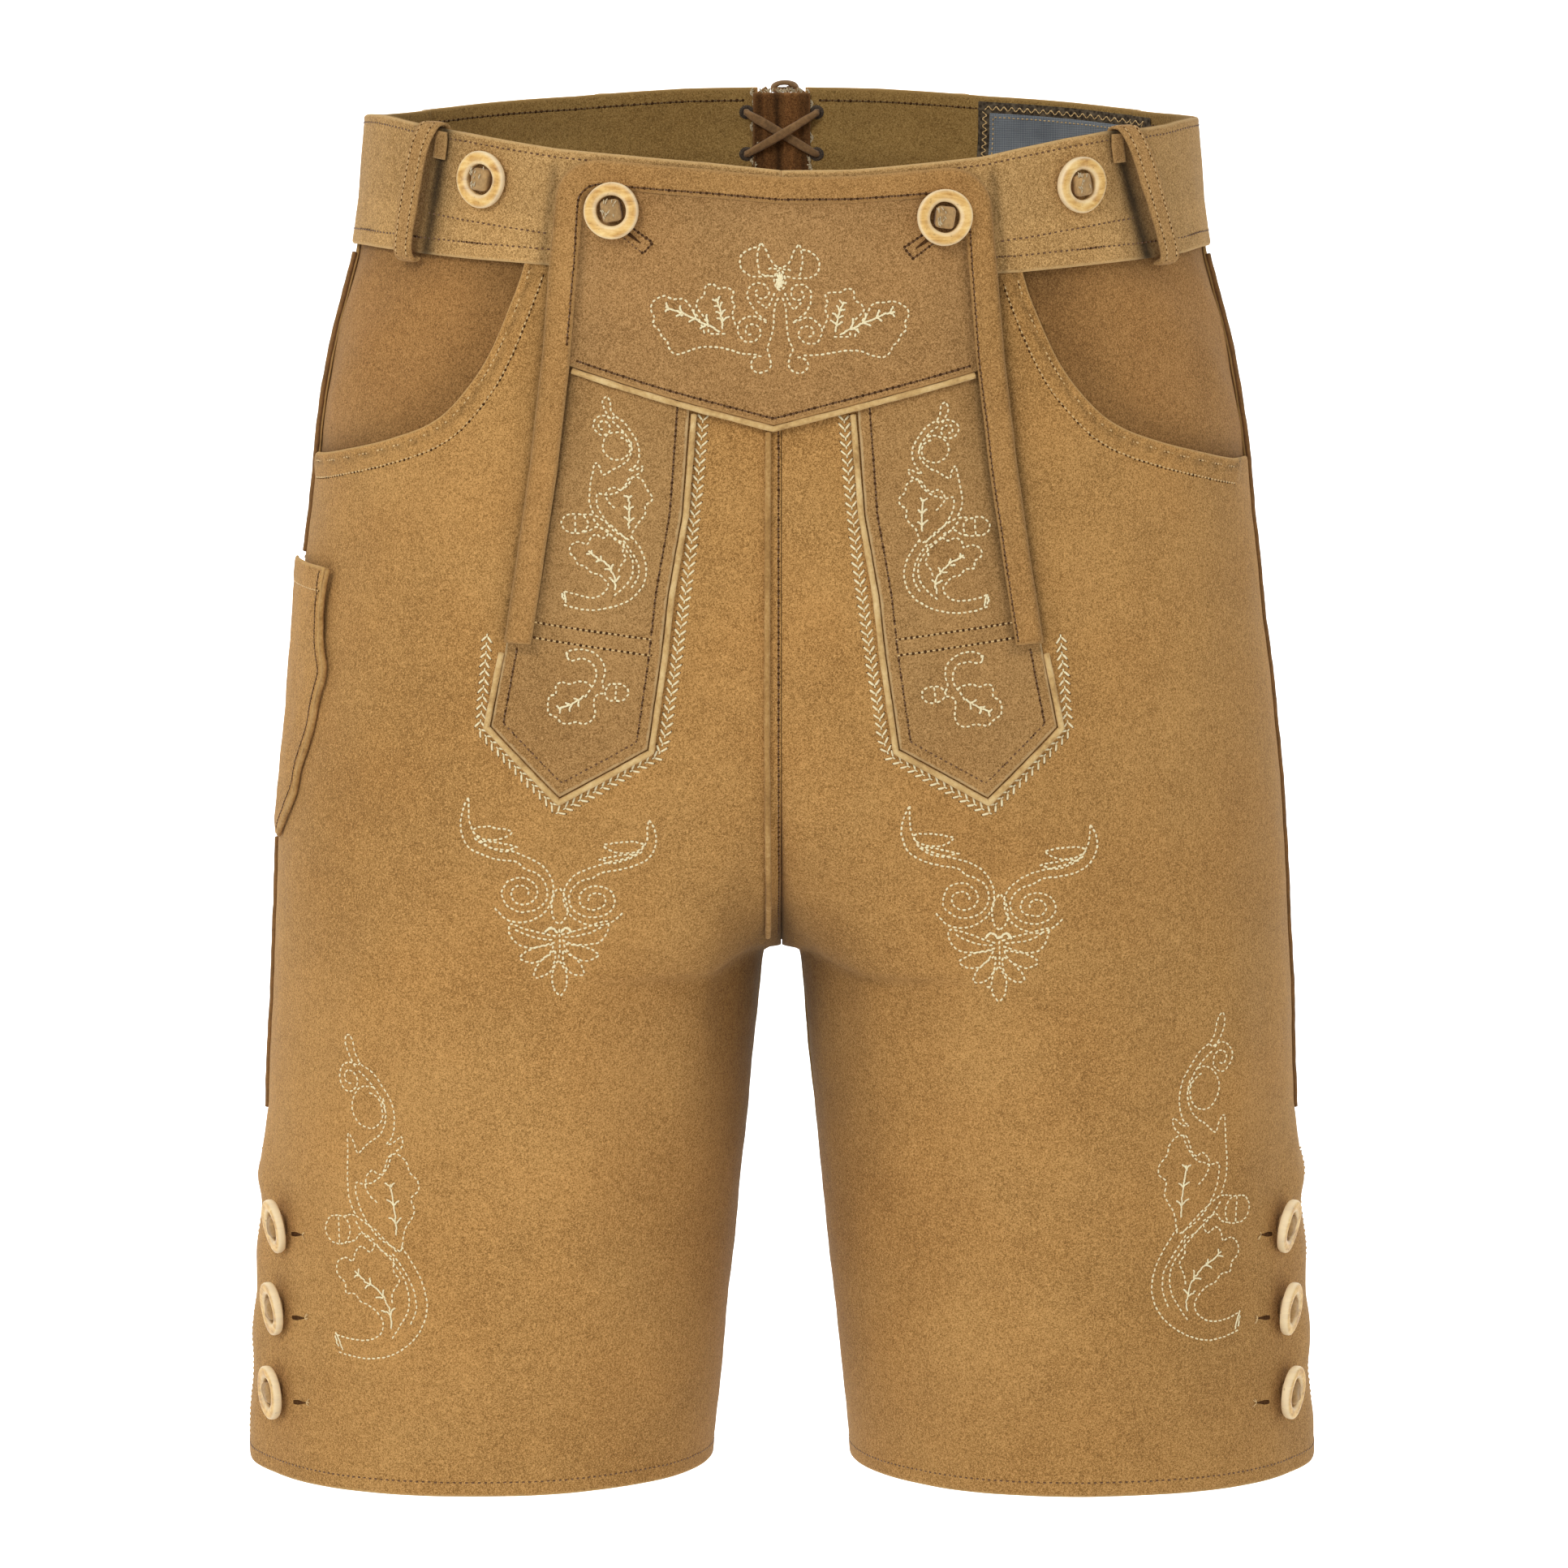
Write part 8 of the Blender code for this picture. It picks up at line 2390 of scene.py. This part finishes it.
# the knot and its small loop over the top edge
o, nrm = place([2.0], [20.8], OUT_BAND + 1.6, 1, False)
o, nrm = o[0] * np.array([0.0, 1.0, 1.0]), nrm[0]
xd = np.array([1.0, 0.0, 0.0])
zd = np.array([0.0, 0.0, 1.0])
yd = np.cross(zd, xd)
kt = np.linspace(0, 2 * math.pi, 90, endpoint=False)
kp = (o - zd * 1.4 + xd * (3.0 * np.sin(kt) + 1.2 * np.sin(2 * kt))[:, None] + zd * (2.0 * np.cos(kt) - 0.9 * np.cos(2 * kt))[:, None]
      + yd * (1.3 * np.sin(3 * kt))[:, None])
kn = np.tile(-yd, (90, 1)) * 0.4 + (kp - o)
V1, T1 = tube("knot", kp, kn, 2.7, 1.9, None, sides=10, closed=True)
la = np.linspace(-0.35, math.pi + 0.35, 40)
lp = o + xd * (1.2 + 4.6 * np.cos(la))[:, None] + zd * (0.2 + 2.5 * np.sin(la))[:, None] + yd * (0.8 - 2.4 * np.sin(la))[:, None]
V2, T2 = tube("loop", lp, np.tile(yd, (40, 1)) + (lp - o) * 0.1, 1.9, 3.6, None, sides=10)
ob = mesh_object("lace_knot_leather", np.vstack([V1, V2]), np.vstack([T1, T2 + len(V1)]), [M_LACE], None,
                 {"edge": np.ones(len(V1) + len(V2)), "tint_and_shade": np.ones(len(V1) + len(V2))})
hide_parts("lace_knot")
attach(ob, "root")

# worked eyelets: dark thread wound over the edge of each hole, inside and out
EYE_T = Thread("eyelet_thread", M_DARK, "thong")
for ex, el, eo in EYES:
    for sg in (1.0, -1.0):
        for up, turn in ((FACING_WALL * -1.0, -1.0), (0.0, 1.0)):
            n = 22
            a = 2 * math.pi * np.arange(n) / n
            r0, r1 = 1.25, 3.1
            for rr0, rr1 in ((r0, r1),):
                def ringpts(r):
                    lv = el + r * np.sin(a)
                    v = v_at_x(ex + r * np.cos(a), lv, True)
                    if turn < 0:
                        hh = (facing_lift(v, lv) if el > -20 else -1.6) + (up if el > -20 else 0.0)
                    else:
                        hh = BAND_LIFT if el > -20 else 0.0
                    p, nn = place(v, lv, hh, 1)
                    p[:, 0] *= sg
                    nn[:, 0] *= sg
                    return p, nn * turn
                A, NA = ringpts(rr0)
                B, NB = ringpts(rr1)
                EYE_T.add(A + NA * 0.1, B + NB * 0.1, NA, 0.95, 0.6)
EYE_T.build()

# torn edges of the band's ends beside the slit, and by the knot
FRAYED = Thread("frayed_band_ends", M_FRAY, "suede")
for sg in (1.0, -1.0):
    for k in range(150):
        lv = 21.2 - 34.0 * k / 150
        x = GAP_HALF + 1.7 + 0.9 * math.sin(lv * 0.45 + sg) + 0.5 * math.sin(lv * 1.3)
        v = v_at_x(x, lv, True)
        p, nn = place(v, [lv], facing_lift(v, lv) - FACING_WALL + 0.1, 1)
        p, nn = p[0], -nn[0]
        p[0] *= sg
        nn[0] *= sg
        d = np.array([-sg * UNEVEN.uniform(0.2, 1.0), 0.0, UNEVEN.uniform(-1.0, 1.0)])
        d -= nn * d.dot(nn)
        d /= np.linalg.norm(d)
        FRAYED.add((p + nn * 0.1)[None], (p + nn * UNEVEN.uniform(0.05, 0.5) + d * UNEVEN.uniform(0.7, 1.9))[None], nn[None], 0.5, 0.35)
for k in range(40):
    x = UNEVEN.uniform(-9.5, 9.5)
    p, nn = place([2.0], [20.4], -2.0, 1)
    p, nn = p[0] * np.array([0.0, 1.0, 1.0]) + np.array([x, 0.0, UNEVEN.uniform(-0.6, 0.5)]), nn[0]
    d = np.array([UNEVEN.uniform(-1, 1), UNEVEN.uniform(-0.4, 0.4), UNEVEN.uniform(0.2, 1.0)])
    d /= np.linalg.norm(d)
    FRAYED.add(p[None], (p + d * UNEVEN.uniform(0.8, 2.2))[None], nn[None], 0.5, 0.35)
FRAYED.build()

# the two halves' seam allowance, which closes the middle seams from inside
for name, v0, lvs in (("centre_front_allowance", 0.0, np.linspace(-80.0, -307.3, 120)),
                      ("centre_back_allowance", 2.0, np.linspace(-94.0, -307.3, 110))):
    P, N = place(np.full(len(lvs), v0), lvs, -1.9, 1)
    P[:, 0] = 0.0
    N[:, 0] = 0.0
    V, T = tube(name, P, N, 5.0, 0.9, None, sides=8, flat=0.6)
    ob = mesh_object(name, V, T, [M_FLESH], None, {"edge": np.ones(len(V)), "tint_and_shade": np.full(len(V), 0.7)})
    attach(ob, "root")

# ------------------------------------------------------------------ label: stitched edge, zigzag round its mesh backing
LABEL_T = Thread("label_stitches", M_TAN, "label_cloth")
FRAME = ((87.8, 14.0), (142.6, 14.0), (142.6, -16.6), (87.8, -16.6), (87.8, 14.0))


def label_face(drop):
    return lambda v, lv: facing_lift(v, lv) - FACING_WALL - drop - 0.6


P, N = path3(bx(run(FRAME, 2.0)), label_face(1.3), 1)
sew(LABEL_T, P, -N, pitch=2.0, share=0.55, wide=0.5, high=0.35, hole=0.0)
EDGE = run([(84.0, 17.6), (149.6, 17.6), (149.6, -19.0)], 1.6)
zz = [(x + (0.9 if i % 2 else -0.9) * (1 if abs(lv - 17.6) > 0.2 else 0), lv + (1.0 if i % 2 else -1.0) * (1 if abs(lv - 17.6) < 0.2 else 0))
      for i, (x, lv) in enumerate(EDGE)]
EDGE2 = run([(84.0, 16.0), (84.0, -19.0)], 1.6)
zz2 = [(x + (1.0 if i % 2 else -1.0), lv) for i, (x, lv) in enumerate(EDGE2)]
for line in (zz, zz2):
    P, N = path3(bx(line), label_face(0.35), 1, 0.0, 3.0)
    LABEL_T.add(P[:-1] - N[:-1] * 0.15, P[1:] - N[1:] * 0.15, -N[:-1], 0.5, 0.35)
LABEL_T.build()

# ------------------------------------------------------------------ cloth facts
LIES = {
    "front": ("hung", "waistband"), "back": ("hung", "waistband"), "waistband_facing": ("laid", "waistband"),
    "waistband": ("stretched", ""), "back_gusset": ("gathered", "back_left"), "pocket_backing": ("hung", "waistband"),
    "flap_yoke": ("laid", "front_left"), "flap_binding": ("folded", "flap_yoke"), "flap_strip": ("laid", "front"),
    "vent_underlap": ("laid", "front"), "knife_pocket": ("laid", "front_right"),     "label_backing": ("laid", "waistband_facing_left"),
    "label": ("laid", "label_backing"),
}
BY_NODE = {node: ob for ob, node, flat, held in SHELLS}
for ob, node, flat, held in SHELLS:
    a = ob["cut_area"]
    base, tail = node, ""
    for t in ("_left", "_right"):
        if node.endswith(t) and node not in LIES:
            base, tail = node[:-len(t)], t
    if flat == "strap":
        wide = held
        w, l = wide, a / wide
        continue
    w, l = ob["cut_wide"], ob["cut_long"]
    k = a / (w * l)
    if k > 1.0:
        l = l * k * 1.0005

for ob, node, w, l in STRAPS:
    BY_NODE["waistband" + node[node.rindex("_"):]].name

# ------------------------------------------------------------------ floor and light
def stage_plane():
    n = 28
    pts, w = [], 6.0
    floor_z, y0, y1, r = -0.95, -4.5, 2.6, 1.2
    prof = [(y0, floor_z), (y1, floor_z)]
    for k in range(1, n + 1):
        a = math.pi / 2 * k / n
        prof.append((y1 + r * math.sin(a), floor_z + r * (1 - math.cos(a))))
    prof.append((y1 + r, floor_z + r + 3.0))
    for y, z in prof:
        pts += [(-w, y, z), (w, y, z)]
    tris = []
    for i in range(len(prof) - 1):
        a = 2 * i
        tris += [(a, a + 1, a + 3), (a, a + 3, a + 2)]
    n = Nodes("paper_sweep")
    f = n.noise(3.0, 2.0, 0.5)
    col = n.ramp(f, ((0.3, (0.93, 0.93, 0.93)), (0.7, (0.955, 0.955, 0.955))))
    m = n.finish(col, 0.95, None, spec=0.0)
    return mesh_object("paper_sweep", np.array(pts), np.array(tris), [m])


STAGE = stage_plane()

world = bpy.data.worlds.new("studio")
bpy.context.scene.world = world
world.use_nodes = True
world.node_tree.nodes["Background"].inputs["Color"].default_value = (1.0, 1.0, 1.0, 1.0)
world.node_tree.nodes["Background"].inputs["Strength"].default_value = 0.73
# plain colour, so that a surface looks as its own colour under white light
bpy.context.scene.view_settings.view_transform = 'Standard'
bpy.context.scene.view_settings.look = 'None'


def softbox(name, at, aim, size, power, size_y=None):
    li = bpy.data.lights.new(name, 'AREA')
    li.shape = 'RECTANGLE'
    li.size = size
    li.size_y = size_y or size
    li.energy = power
    ob = bpy.data.objects.new(name, li)
    bpy.context.scene.collection.objects.link(ob)
    ob.location = at
    ob.rotation_euler = (Vector(aim) - Vector(at)).to_track_quat('-Z', 'Y').to_euler()
    return ob


softbox("key", (-1.3, -2.6, 1.6), (0.0, 0.0, -0.25), 1.0, 36.5)
softbox("fill", (1.6, -2.8, 0.5), (0.0, 0.0, -0.25), 1.8, 3.0)
softbox("back_wash", (0.0, 1.2, 2.2), (0.0, 3.5, 1.0), 3.4, 190.0)
